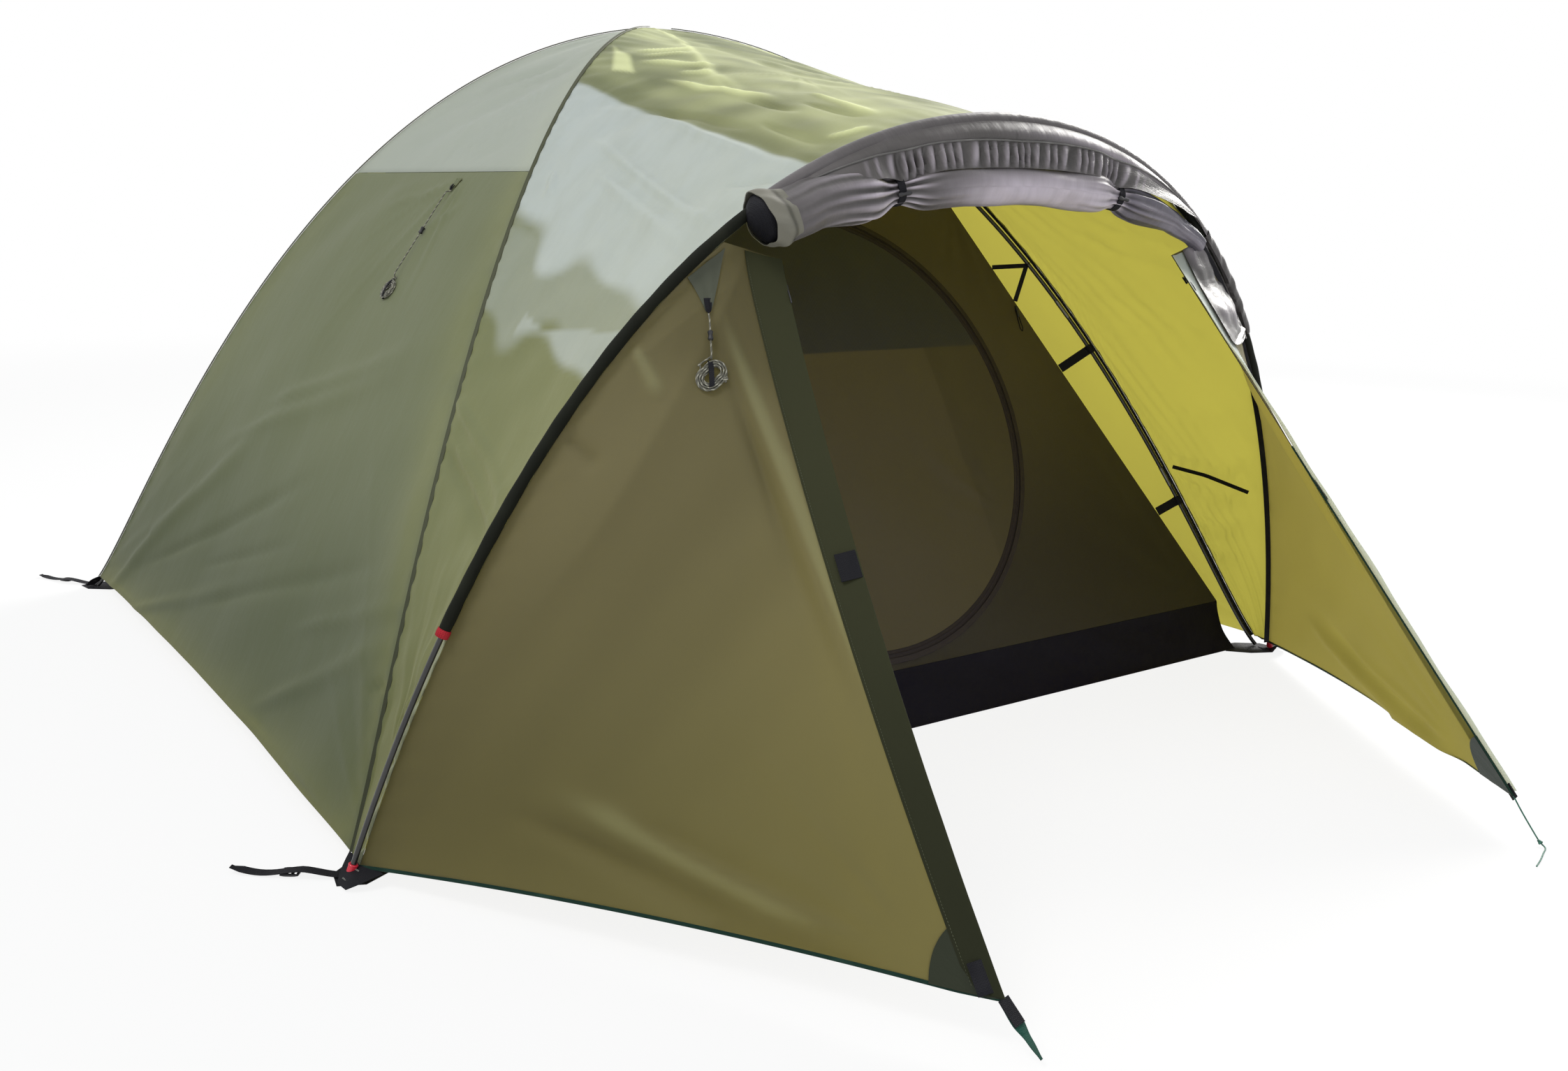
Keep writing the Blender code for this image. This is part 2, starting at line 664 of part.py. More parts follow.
inner_shares = shares(KNEE_SHARE, 1, 5)
inner_grid = []
for share in inner_shares:
    row = []
    around = (FRONT_LEFT, BACK_LEFT, BACK_RIGHT, FRONT_RIGHT)
    for first, second in zip(around, around[1:] + around[:1]):
        run = shares(0, 1, 4)[:-1]
        row += [inner_ridge(first, share).lerp(inner_ridge(second, share), u) for u in run]
    inner_grid.append(row)
sheet("inner_roof", inset(inner_grid, SEAM), MESH_BLACK, wraps=True)

# Front wall of the inner tent: flat, with a round doorway whose left side is the door's hinge

wall_foot = (tray_corner(FRONT_LEFT) + tray_corner(FRONT_RIGHT)) / 2
wall_top = (knee(FRONT_LEFT) + knee(FRONT_RIGHT)) / 2
WALL_UP = (wall_top - wall_foot).normalized()
WALL_OUT = Vector((0, -WALL_UP.z, WALL_UP.y))
WALL_HEIGHT = (wall_top - wall_foot).length
DOORWAY_CENTRE_UP = WALL_HEIGHT * DOORWAY_UP_SHARE
DOORWAY_RADIUS = WALL_HEIGHT * DOORWAY_RADIUS_SHARE
DOORWAY_HINGE = DOORWAY_RADIUS * DOORWAY_HINGE_SHARE


def on_wall(x, up, out=0.0):
    """A point of the front wall, x across and up along its slope from the tray."""
    return wall_foot + Vector((x, 0, 0)) + WALL_UP * up + WALL_OUT * out


def doorway(radius, hinge):
    """The outline of the doorway: an arc closed by a straight side on the left."""
    end = acos(-hinge / radius)
    return [
        (DOORWAY_CENTRE_X + radius * cos(a), DOORWAY_CENTRE_UP + radius * sin(a))
        for a in [-end] + shares(-ZIP_END, ZIP_END, ZIP_STEPS) + [end]
    ]


def wall_prism(name, outline, thickness, finish, out=0.0, pivot=None):
    """A flat piece on the front wall, its outline given as (x, up) and centred at out."""
    points = [on_wall(x, up, out + thickness / 2) for x, up in outline]
    return prism(name, points, WALL_OUT * -thickness, finish, pivot)


foot_half, top_half = tray_corner(FRONT_RIGHT).x - SEAM, knee(FRONT_RIGHT).x - SEAM
wall_top_up = WALL_HEIGHT - SEAM
wall_outline = [(-foot_half, 0), (foot_half, 0), (top_half, wall_top_up), (-top_half, wall_top_up)]
front_wall = wall_prism("inner_wall_front", wall_outline, FABRIC, INNER_BROWN)
hole = doorway(DOORWAY_RADIUS + ZIP_HALF_WIDTH + GAP, DOORWAY_HINGE + 3 * GAP)
cutter = wall_prism("doorway_cutter", hole, FABRIC * 20, INNER_BROWN)
cutter.hide_render = True
cutter.display_type = "WIRE"
cut = front_wall.modifiers.new("doorway", "BOOLEAN")
cut.operation = "DIFFERENCE"
cut.solver = "EXACT"
cut.object = cutter

wall_prism(
    "inner_door", doorway(DOORWAY_RADIUS - ZIP_HALF_WIDTH - GAP, DOORWAY_HINGE), FABRIC, INNER_BROWN,
    pivot=on_wall(DOORWAY_CENTRE_X - DOORWAY_HINGE, DOORWAY_CENTRE_UP),
)

zip_outline = []
for radius, turn in ((DOORWAY_RADIUS + ZIP_HALF_WIDTH, 1), (DOORWAY_RADIUS - ZIP_HALF_WIDTH, -1)):
    zip_outline += [
        (DOORWAY_CENTRE_X + radius * cos(turn * a), DOORWAY_CENTRE_UP + radius * sin(turn * a))
        for a in shares(-ZIP_END, ZIP_END, ZIP_STEPS)
    ]
wall_prism("door_zip", zip_outline, FABRIC, ZIP)

SLIDER_LENGTH = 0.014
SLIDER_WIDTH = 0.010
SLIDER_HEIGHT = 0.004


def slider_outline():
    """The slider's rectangle at its starting place on the zip, turned to follow the arc."""
    across = Vector((cos(SLIDER_START), sin(SLIDER_START)))
    along = Vector((-across.y, across.x))
    middle = Vector((DOORWAY_CENTRE_X, DOORWAY_CENTRE_UP)) + across * DOORWAY_RADIUS
    half_a, half_b = across * SLIDER_WIDTH / 2, along * SLIDER_LENGTH / 2
    return [middle + half_a * a + half_b * b for a, b in ((-1, -1), (1, -1), (1, 1), (-1, 1))]


wall_prism(
    "door_zip_slider", slider_outline(), SLIDER_HEIGHT, PLASTIC,
    out=FABRIC / 2 + GAP + SLIDER_HEIGHT / 2,
    pivot=on_wall(DOORWAY_CENTRE_X, DOORWAY_CENTRE_UP),
)

TIEBACK_IN = 0.0082
TIEBACK_UP_SHARE = 0.72
TIEBACK_UP = wall_top_up * TIEBACK_UP_SHARE
TIEBACK_X = foot_half + (top_half - foot_half) * TIEBACK_UP_SHARE - TIEBACK_IN
tieback_out = FABRIC / 2 + GAP + TOGGLE_RADIUS
tieback = [on_wall(TIEBACK_X, TIEBACK_UP - d, tieback_out) for d in (0, TOGGLE_LENGTH)]
tube("door_tieback", tieback, [TOGGLE_RADIUS] * 2, PLASTIC, pivot=tieback[0])

# Pole hooks: a clip round each front pole with a web to the inner tent's corner seam, and above
# them a V of webbing that spreads the pull over the seam

HOOK_BORE = POLE_RADIUS + 1.6 * GAP
HOOK_MOUTH = radians(40)
SEAM_REACH = 0.0012


def hung_from(corner, height):
    """The pole's point at a height, its direction, and the way and distance to the corner seam."""
    path = pole_paths[corner]
    i = next(i for i in range(len(path)) if path[i].z > height)
    pole = path[i - 1].lerp(path[i], (height - path[i - 1].z) / (path[i].z - path[i - 1].z))
    along = (path[i] - path[i - 1]).normalized()
    low, high = tray_corner(corner), knee(corner)
    seam = (high - low).normalized()
    near = low + seam * (pole - low).dot(seam)
    toward = near - pole
    toward = toward - along * toward.dot(along)
    return pole, along, toward.normalized(), toward.length, seam


for corner, word in ((FRONT_LEFT, "left"), (FRONT_RIGHT, "right")):
    for level, height in HOOK_HEIGHTS.items():
        pole, along, toward, distance, _ = hung_from(corner, height)
        across = along.cross(toward)

        def at(radius, angle):
            return pole + (toward * cos(angle) + across * sin(angle)) * radius

        half = HOOK_WALL / 2
        outer = HOOK_BORE + HOOK_WALL
        open_at = pi - HOOK_MOUTH
        outline = [at(HOOK_BORE, a) for a in shares(-open_at, open_at, 12)]
        outline += [at(outer, a) for a in shares(open_at, 0.16, 6)]
        reach = distance - SEAM_REACH
        outline += [pole + toward * reach + across * half, pole + toward * reach - across * half]
        outline += [at(outer, -a) for a in shares(0.16, open_at, 6)]
        outline = [p - along * HOOK_LENGTH / 2 for p in outline]
        prism(f"pole_hook_{level}_{word}", outline, along * HOOK_LENGTH, BLACK_WEB)
    pole, along, toward, distance, seam = hung_from(corner, V_STRAP_HEIGHT)
    start, reach = POLE_RADIUS + 2 * GAP, distance - SEAM_REACH
    half = STRAP_WIDTH / 4
    foot = pole + toward * reach
    foot_spread = seam * V_STRAP_SPREAD
    outline = [
        pole + toward * start - along * half,
        foot - foot_spread - seam * half,
        foot - foot_spread + seam * half,
        pole + toward * (start + 2 * half),
        foot + foot_spread - seam * half,
        foot + foot_spread + seam * half,
        pole + toward * start + along * half,
    ]
    across = along.cross(toward).normalized() * WEBBING
    prism(f"v_strap_{word}", [p - across / 2 for p in outline], across, BLACK_WEB)

# Corners: a webbing gusset under the pole feet, its strap out to the peg, and a buckle on it

GUSSET_IN = 0.060
GUSSET_OUT = 0.098
GUSSET_BACK = 0.075
TAIL_WAYS = {
    "front_left": ((-1, -1), (0.82, -0.57)),
    "front_right": ((1, -1), (0.92, 0.38)),
    "back_left": ((-1, 1), (0.60, 0.80)),
    "back_right": ((1, 1), (0.60, 0.80)),
}
TAIL_LENGTH = 0.19
TAIL_THICKNESS = 0.0011
TAIL_LIFT = 0.0002
BUCKLE_LENGTH = 0.026
BUCKLE_WIDTH = 0.024
BUCKLE_HEIGHT = 0.005
BUCKLE_AT = 0.085


def ground_corner(corner, x, y, z=0.0):
    """A place by a corner of the tray, x and y counted outwards from it."""
    return Vector((corner[0] * (FLOOR_HALF_WIDTH + x), corner[1] * (FLOOR_HALF_DEPTH + y), z))


for word, (corner, way) in TAIL_WAYS.items():
    gusset = (
        (GAP, -GUSSET_IN), (0.06, -0.03), (GUSSET_OUT, 0.015), (GUSSET_OUT - 0.008, 0.06),
        (0.03, GUSSET_BACK), (-0.02, 0.045), (-GUSSET_IN, GAP), (GAP, GAP),
    )
    outline = [ground_corner(corner, x, y) for x, y in gusset]
    web = prism(f"corner_web_{word}", outline, (0, 0, WEBBING), BLACK_WEB)
    way = Vector((corner[0] * way[0], corner[1] * way[1], 0)).normalized()
    side = Vector((-way.y, way.x, 0)) * STRAP_WIDTH / 2
    start = ground_corner(corner, 0.05, 0.03, TAIL_LIFT)
    end = start + way * TAIL_LENGTH
    outline = [start - side, start + side, end + side, end - side]
    tail = prism(f"tail_{word}", outline, (0, 0, TAIL_THICKNESS), BLACK_WEB)
    tail.hide_render = True
    tail.display_type = "WIRE"
    join = web.modifiers.new("tail", "BOOLEAN")
    join.operation = "UNION"
    join.solver = "EXACT"
    join.object = tail
    pivot = start + way * BUCKLE_AT
    pivot.z = WEBBING + GAP
    wide = side.normalized() * BUCKLE_WIDTH / 2
    long = way * BUCKLE_LENGTH
    block = [pivot - wide, pivot + wide, pivot + wide + long, pivot - wide + long]
    prism(f"corner_buckle_{word}", block, (0, 0, BUCKLE_HEIGHT), PLASTIC, pivot=pivot)

# Porch fittings: the ribbon and the cord to the pegs, and a zip slider on each front edge


def peg(side):
    return Vector((side * PEG_HALF, -DOME_DEPTH / 2 - PEG_AHEAD, 0))


RIBBON_SHORT = 0.012
ribbon_top = wing_tip(-1)
ribbon_run = peg(-1) - ribbon_top
ribbon_way = ribbon_run.normalized()
ribbon_side = ribbon_way.cross(Vector((1, 0, 0))).cross(ribbon_way).normalized()
ribbon_start = ribbon_top + ribbon_way * 3 * GAP
ribbon_end = ribbon_top + ribbon_way * (ribbon_run.length - RIBBON_SHORT)
ribbon = [
    ribbon_start - ribbon_side * STRAP_WIDTH / 2,
    ribbon_start + ribbon_side * STRAP_WIDTH / 2,
    ribbon_end + ribbon_side * STRAP_WIDTH / 2,
    ribbon_end - ribbon_side * STRAP_WIDTH / 2,
]
ribbon_thick = ribbon_way.cross(ribbon_side).normalized() * WEBBING
prism("peg_ribbon_left", [p - ribbon_thick / 2 for p in ribbon], ribbon_thick, TEAL)


def smooth_route(points, steps):
    """Points along a smooth curve through the route's own points."""
    ends = [points[0] * 2 - points[1]] + points + [points[-1] * 2 - points[-2]]
    made = []
    for i in range(1, len(ends) - 2):
        a, b, c, d = ends[i - 1 : i + 3]
        for k in range(steps):
            t = k / steps
            made.append(
                0.5 * (2 * b + (c - a) * t + (2 * a - 5 * b + 4 * c - d) * t**2
                       + (3 * b - 3 * c + d - a) * t**3)
            )
    return made + [points[-1].copy()]


def cord(name, points, finish, resolution=2):
    """A round cord along the points, as a curve with flat ends."""
    curve = bpy.data.curves.new(name, "CURVE")
    curve.dimensions = "3D"
    curve.bevel_depth = CORD_RADIUS
    curve.bevel_resolution = resolution
    curve.use_fill_caps = True
    spline = curve.splines.new("POLY")
    spline.points.add(len(points) - 1)
    for knot, point in zip(spline.points, points):
        knot.co = (*point, 1)
    curve.materials.append(finish)
    made = bpy.data.objects.new(name, curve)
    bpy.context.collection.objects.link(made)
    return made


LOW = CORD_RADIUS + 0.0002
peg_route = [
    wing_tip(1) + Vector((0, -0.0006, -0.0005)),
    wing_tip(1) + Vector((-0.004, -0.018, -0.019)),
    wing_tip(1) + Vector((-0.008, -0.040, -0.041)),
    Vector((0.546, -1.812, 0.006)),
    Vector((0.541, -1.824, LOW)),
    Vector((0.520, -1.832, LOW)),
    Vector((0.492, -1.842, LOW)),
    Vector((0.465, -1.850, LOW)),
]
cord("peg_cord_right", smooth_route(peg_route, 5), TEAL)

PORCH_SLIDER_HALF = 0.003
PORCH_SLIDER_LENGTH = 0.014
PORCH_SLIDER_AT = 0.95
PORCH_SLIDER_OFF = 0.0037
PORCH_SLIDER_RUN = 0.20
for side, word in ((-1, "left"), (1, "right")):
    middle, below = wing_edge(side, PORCH_SLIDER_AT), wing_edge(side, PORCH_SLIDER_AT - PORCH_SLIDER_RUN)
    edge = (below - middle).normalized()
    off = (wings[word][-2][-1] - wings[word][-2][0]).normalized()
    off = (off - edge * off.dot(edge)).normalized()
    across = edge.cross(off)
    middle += off * PORCH_SLIDER_OFF
    corners = [
        off * a * PORCH_SLIDER_HALF + across * b * PORCH_SLIDER_HALF
        for a, b in ((-1, -1), (1, -1), (1, 1), (-1, 1))
    ]
    box = [middle + c - edge * PORCH_SLIDER_LENGTH / 2 for c in corners]
    prism(f"porch_zip_slider_{word}", box, edge * PORCH_SLIDER_LENGTH, PLASTIC, pivot=middle)
    print(f"porch_zip_slider_{word} slides along", [round(v, 5) for v in edge])

# Guy lines: a cloth tab on the fly, a short free stretch with its runner, and the rest in a hank

TAB_TIP_HALF = 0.004
TAB_THICKNESS = 0.0015
TAB_STEPS = 3
LIFT_OFF = 0.014
RUNNER_LENGTH = 0.014
RUNNER_RADIUS = 0.0042
HANK_PER_TURN = 24
HANK_REST = FABRIC / 2 + CORD_RADIUS + 2 * GAP
HANK_WIDEST = HANK_FOLD + HANK_TURNS * HANK_PITCH


def least_gap(points):
    """The least clear distance of a cord to itself, away from its own neighbourhood."""
    near = 8 * CORD_RADIUS
    run = [0.0]
    for a, b in zip(points, points[1:]):
        run.append(run[-1] + (b - a).length)
    least = min(
        (points[i] - points[j]).length
        for i in range(len(points))
        for j in range(i)
        if run[i] - run[j] > near
    )
    return least - 2 * CORD_RADIUS


def hank_places():
    """A hank spiralling in on its lower layer, climbing, and spiralling out on the upper one.

    Each place is across and down from the middle, and the layer, from 0 to 1."""
    spiral, half = HANK_TURNS * HANK_PER_TURN, HANK_PER_TURN // 2
    places = [(0, -HANK_WIDEST, 0)]
    for step in range(2 * spiral + half + 1):
        inward = min(step, spiral, 2 * spiral + half - step)
        layer = min(1.0, max(0.0, (step - spiral) / half))
        radius = HANK_WIDEST - HANK_PITCH * inward / HANK_PER_TURN
        at = step % HANK_PER_TURN
        way = 1 if at < half else -1
        angle = pi * (at % half) / (half - 1)
        places.append((way * (HANK_LEG / 2 + radius * sin(angle)), -way * radius * cos(angle), layer))
    return places


def guy_line(word, grid, near, edge, tab_half, tab_length, free_length, runner_at, lean):
    """A tab on a panel near a point, its top along the edge, and its cord hanging down the cloth."""
    points = [p for line in grid for p in line]
    columns = len(grid[0])
    quads = [
        (i * columns + j, i * columns + j + 1, (i + 1) * columns + j + 1, (i + 1) * columns + j)
        for i in range(len(grid) - 1)
        for j in range(columns - 1)
    ]
    panel = BVHTree.FromPolygons(points, quads)
    top, out, _, _ = panel.find_nearest(near)
    if out.x > 0:
        out = -out
    down = Vector((0, lean, -1))
    down = (down - out * down.dot(out)).normalized()
    across = down.cross(out).normalized()

    def place(u, v, lift):
        return panel.find_nearest(top + across * u + down * v)[0] + out * lift

    lift = FABRIC / 2 + CLOTH_GAP + TAB_THICKNESS / 2
    slope = edge.dot(down) / edge.dot(across)
    tab = []
    for f in shares(0, 1, TAB_STEPS):
        half = tab_half + (TAB_TIP_HALF - tab_half) * f
        row = [(u, tab_length * f + slope * u * (1 - f)) for u in (-half, 0, half)]
        tab.append([place(u, v, lift) for u, v in row])
    sheet(f"guy_tab_{word}", tab, SAGE, thickness=TAB_THICKNESS)

    near_end = [(0, HANK_REST), (0.3, HANK_REST + 0.001), (0.7, CORD_STANDOFF - 0.001), (1, CORD_STANDOFF)]
    start = tab_length + 2 * GAP
    rise = [place(0, start + f * LIFT_OFF, height) for f, height in near_end]
    fall = [place(0, start + free_length - f * LIFT_OFF, height) for f, height in reversed(near_end)]
    cord(f"guy_line_{word}", smooth_route(rise, 3) + smooth_route(fall, 3), CORD)

    middle = tab_length + free_length + 4 * GAP + HANK_WIDEST + CORD_RADIUS
    loops = [place(u, middle + v, HANK_REST + GAP + layer * HANK_PITCH) for u, v, layer in hank_places()]
    print(f"guy_hank_{word}: least gap to itself {least_gap(loops) * 1000:.2f} mm")
    cord(f"guy_hank_{word}", loops, CORD, resolution=1)

    along = (fall[0] - rise[-1]).normalized()
    ends = [rise[-1].lerp(fall[0], runner_at) + along * half * RUNNER_LENGTH / 2 for half in (-1, 1)]
    bore = CORD_RADIUS / cos(pi / POLE_SIDES) + 2 * GAP
    tube(
        f"guy_runner_{word}", ends, [RUNNER_RADIUS] * 2, PLASTIC, bore=[bore] * 2,
        pivot=(ends[0] + ends[1]) / 2,
    )
    print(f"guy_runner_{word} slides along", [round(v, 5) for v in along], (fall[0] - rise[-1]).length)


guy_line(
    "side", side_left, near=grid_point(side_left, 8.85, 2.575)[0], edge=Vector((0, 1, 0)),
    tab_half=0.012, tab_length=0.022, free_length=0.21, runner_at=0.47, lean=0.08,
)
guy_line(
    "front", wings["left"], near=grid_point(wings["left"], 7.75, 2.175)[0],
    edge=hoop(-1, 0.66) - hoop(-1, 0.64),
    tab_half=0.026, tab_length=0.042, free_length=0.075, runner_at=0.5, lean=0.0,
)
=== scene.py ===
"""A pitched dome tent with a hooped porch, dressed piece by piece around its CAD frame."""

from math import acos, cos, pi, radians, sin, tau

import bpy
import numpy as np
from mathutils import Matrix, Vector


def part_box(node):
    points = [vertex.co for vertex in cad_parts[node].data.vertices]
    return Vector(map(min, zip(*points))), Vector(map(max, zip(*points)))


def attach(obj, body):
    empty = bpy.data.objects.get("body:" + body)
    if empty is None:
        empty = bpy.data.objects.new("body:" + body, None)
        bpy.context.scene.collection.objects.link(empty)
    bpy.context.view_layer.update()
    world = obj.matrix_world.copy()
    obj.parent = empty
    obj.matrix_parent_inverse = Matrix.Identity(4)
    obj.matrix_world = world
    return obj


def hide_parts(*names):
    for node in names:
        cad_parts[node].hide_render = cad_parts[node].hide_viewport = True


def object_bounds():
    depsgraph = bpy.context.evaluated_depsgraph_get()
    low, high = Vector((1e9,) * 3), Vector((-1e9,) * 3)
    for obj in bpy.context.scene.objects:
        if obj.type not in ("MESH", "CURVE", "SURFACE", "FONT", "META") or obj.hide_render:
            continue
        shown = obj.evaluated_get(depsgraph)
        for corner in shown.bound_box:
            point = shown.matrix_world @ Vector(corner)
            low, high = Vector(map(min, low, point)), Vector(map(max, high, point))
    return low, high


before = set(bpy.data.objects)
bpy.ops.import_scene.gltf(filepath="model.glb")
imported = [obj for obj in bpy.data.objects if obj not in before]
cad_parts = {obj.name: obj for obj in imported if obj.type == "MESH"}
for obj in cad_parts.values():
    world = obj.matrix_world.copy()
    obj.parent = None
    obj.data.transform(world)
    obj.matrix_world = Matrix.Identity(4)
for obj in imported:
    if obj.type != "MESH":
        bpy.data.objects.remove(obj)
cad_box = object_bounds()

# Poles: two long fibreglass rods that cross under the peak, and a third that makes the porch hoop.
# Each comes in sections that push together at steel ferrules, and bends under its own spring.

POLE_RADIUS = 0.00425
DOME_WIDTH, DOME_DEPTH, DOME_HEIGHT = 2.10, 1.83, 1.314
HOOP_WIDTH, HOOP_AHEAD, HOOP_REACH, HOOP_HEIGHT = 2.12, 0.025, 0.170, 1.097
FRONT_LEFT, FRONT_RIGHT, BACK_LEFT, BACK_RIGHT = (-1, -1), (1, -1), (-1, 1), (1, 1)
CORNERS = (
    ("front_left", FRONT_LEFT), ("front_right", FRONT_RIGHT), ("back_left", BACK_LEFT), (
        "back_right", BACK_RIGHT,
    )
)
CROSSING_DROP = POLE_RADIUS * 2 + 0.0003
SECTION, FERRULE, WEBBING = 0.46, 0.045, 0.0015
FERRULE_FLARE = np.array([0.0003, 0.0005, 0.0004, 0.0004, 0.0004, 0.0005, 0.0003])
DOME_LEAN, HOOP_LEAN = radians(50.5), radians(15.9)


class Thread:
    """A socket in a finish, so that its maths is written as Python."""

    def __init__(self, finish, socket):
        self.finish, self.socket = finish, socket

    def maths(operation, swapped=False):
        def made(*values):
            values = dict(enumerate(values[::-1] if swapped else values))
            return next(v for v in values.values() if isinstance(v, Thread)).finish.node(
                "Math", {"operation": operation}, values
            )

        return made

    __add__, __sub__, __mul__, __truediv__ = map(maths, ("ADD", "SUBTRACT", "MULTIPLY", "DIVIDE"))
    __radd__, __rmul__, __rsub__ = __add__, __mul__, maths("SUBTRACT", True)
    sine, larger = maths("SINE"), maths("MAXIMUM")

    def step(self, low, high, start=0.0, end=1.0):
        """Start below low, end above high, and smooth between."""
        return self.finish.node(
            "MapRange", {"interpolation_type": "SMOOTHSTEP"},
            {"Value": self, "From Min": low, "From Max": high, "To Min": start, "To Max": end},
        )


class Finish:
    """A material, or the room's own light, made node by node."""

    def __init__(self, name, made=None):
        self.material = made or bpy.data.materials.new(name)
        self.material.use_nodes = True
        self.tree = self.material.node_tree
        self.tree.nodes.clear()

    def node(self, kind, settings=None, inputs=None, out=0):
        made = self.tree.nodes.new("ShaderNode" + kind)
        for key, value in (settings or {}).items():
            if key == "stops":
                while len(made.color_ramp.elements) < len(value):
                    made.color_ramp.elements.new(0.5)
                for stop, (at, colour) in zip(made.color_ramp.elements, value):
                    stop.position, stop.color = at, (*colour, 1)
            else:
                setattr(made, key, value)
        for key, value in (inputs or {}).items():
            if isinstance(value, Thread):
                self.tree.links.new(value.socket, made.inputs[key])
            else:
                if hasattr(value, "__len__") and len(value) == 3 and made.inputs[key].type == "RGBA":
                    value = (*value, 1)
                made.inputs[key].default_value = value
        return Thread(self, made.outputs[out]) if len(made.outputs) else None

    def place(self):
        return self.node("TexCoord", out="Object")

    def uv(self):
        return self.node("UVMap", {"uv_map": "cut"})

    def parts(self, vector):
        split = self.node("SeparateXYZ", {}, {0: vector}).socket.node
        return [Thread(self, split.outputs[i]) for i in range(3)]

    def mark(self, name):
        return self.node("Attribute", {"attribute_name": name}, out="Fac")

    def stretched(self, vector, scale, turn=(0, 0, 0)):
        return self.node("Mapping", {}, {"Vector": vector, "Scale": scale, "Rotation": turn})

    def noise(self, vector, scale, detail=2.0, rough=0.5):
        return self.node(
            "TexNoise", {}, {"Vector": vector, "Scale": scale, "Detail": detail, "Roughness": rough},
        )

    def blend(self, share, first, second):
        return self.node("Mix", {"data_type": "RGBA"}, {0: share, 6: first, 7: second}, out=2)

    def bump(self, height, depth, strength=1.0, normal=None):
        inputs = {"Height": height, "Distance": depth, "Strength": strength}
        return self.node("Bump", {}, inputs | ({"Normal": normal} if normal else {}))

    def shell(self, **inputs):
        return self.node(
            "BsdfPrincipled", {}, {key.replace("_", " "): value for key, value in inputs.items()},
        )

    def through(self, share, surface, colour):
        """The surface with a share of light that comes through from behind it, in that colour."""
        behind = self.node("BsdfTranslucent", {}, {"Color": colour})
        return self.node("MixShader", {}, {0: share, 1: surface, 2: behind})

    def done(self, surface):
        self.node("OutputMaterial", {}, {"Surface": surface})
        return self.material


def fibreglass():
    """Black resin over lengthwise glass: fine streaks along the rod and a few rubbed, paler spots."""
    f = Finish("pole_fibreglass")
    grain = f.noise(f.stretched(f.uv(), (900, 14, 1)), 1.0, 3)
    rubbed = f.noise(f.place(), 9.0, 3).step(0.56, 0.70)
    colour = f.blend(rubbed * 0.5, (0.012, 0.012, 0.012), (0.045, 0.044, 0.042))
    return f.done(f.shell(
        Base_Color=colour, Roughness=grain * 0.25 + 0.22, Normal=f.bump(grain, 0.0001), Coat_Weight=0.3,
    ))


def steel():
    """Pressed steel tube, brushed round, a little dull where hands hold it."""
    f = Finish("ferrule_steel")
    round_it = f.noise(f.stretched(f.uv(), (6, 1400, 1)), 1.0, 2)
    dull = f.noise(f.place(), 60.0, 2)
    return f.done(f.shell(
        Base_Color=f.blend(dull, (0.10, 0.10, 0.10), (0.22, 0.22, 0.21)), Metallic=0.9,
        Roughness=dull * 0.25 + 0.28, Normal=f.bump(round_it, 0.00005),
    ))


def unit(vectors):
    vectors = np.asarray(vectors, float)
    return vectors / np.maximum(np.linalg.norm(vectors, axis=-1, keepdims=True), 1e-12)


def arch(reach, height, lean, foot_pull, top_pull, fall, share):
    """Places and outward normals on a quarter arch, in its own plane, from its foot at 0 to its top at 1."""
    a, b = np.array([reach, 0.0]), np.array([reach - foot_pull * sin(lean), foot_pull * cos(lean)])
    c, d = np.array([top_pull, height - fall]), np.array([0.0, height])
    t = np.asarray(share, float)[..., None]
    rest = 1 - t
    place = rest**3 * a + 3 * rest**2 * t * b + 3 * rest * t**2 * c + t**3 * d
    slope = rest**2 * (b - a) + 2 * rest * t * (c - b) + t**2 * (d - c)
    normal = unit(np.stack([slope[..., 1], -slope[..., 0]], -1))
    return place, np.where(t == 1, [0.0, 1.0], normal)


def dome(corner, share, out=0.0, drop=0.0):
    """Points of the dome pole over a corner, moved out from it."""
    reach = np.hypot(DOME_WIDTH / 2, DOME_DEPTH / 2)
    place, normal = arch(reach, DOME_HEIGHT, DOME_LEAN, 0.146, 0.820, 0.036, share)
    place = place + normal * np.asarray(out)[..., None]
    across = place[..., 0] / reach
    height = place[..., 1] - drop * np.asarray(share, float) ** 2
    return np.stack([corner[0] * across * DOME_WIDTH / 2, corner[1] * across * DOME_DEPTH / 2, height], -1)


HOOP_LENGTH = np.hypot(HOOP_REACH, HOOP_HEIGHT)
HOOP_UP = np.array([0, -HOOP_REACH, HOOP_HEIGHT]) / HOOP_LENGTH
HOOP_FRONT = np.array([0, -HOOP_HEIGHT, -HOOP_REACH]) / HOOP_LENGTH
HOOP_BASE = np.array([0, -DOME_DEPTH / 2 - HOOP_AHEAD, 0])


def hoop(side, share, out=0.0, front=0.0):
    """Points of the porch hoop on a side, moved out of the arch or to the front."""
    place, normal = arch(HOOP_WIDTH / 2, HOOP_LENGTH, HOOP_LEAN, 0.655, 0.552, 0.0, share)
    place = place + normal * np.asarray(out)[..., None]
    front = np.asarray(front)[..., None] * HOOP_FRONT
    return HOOP_BASE + side * place[..., :1] * [1, 0, 0] + place[..., 1:] * HOOP_UP + front


def share_where(reached):
    """The share at which a growing measure passes zero."""
    low, high = 0.0, 1.0
    for _ in range(50):
        middle = (low + high) / 2
        low, high = (middle, high) if reached(middle) < 0 else (low, middle)
    return (low + high) / 2


def run_along(line):
    """How far along a line each of its points lies."""
    return np.r_[0, np.cumsum(np.linalg.norm(np.diff(line, axis=0), axis=1))]


def read_at(at, run, line):
    """Points of a line at the given lengths of its run."""
    return np.stack([np.interp(at, run, line[:, k]) for k in range(3)], -1)


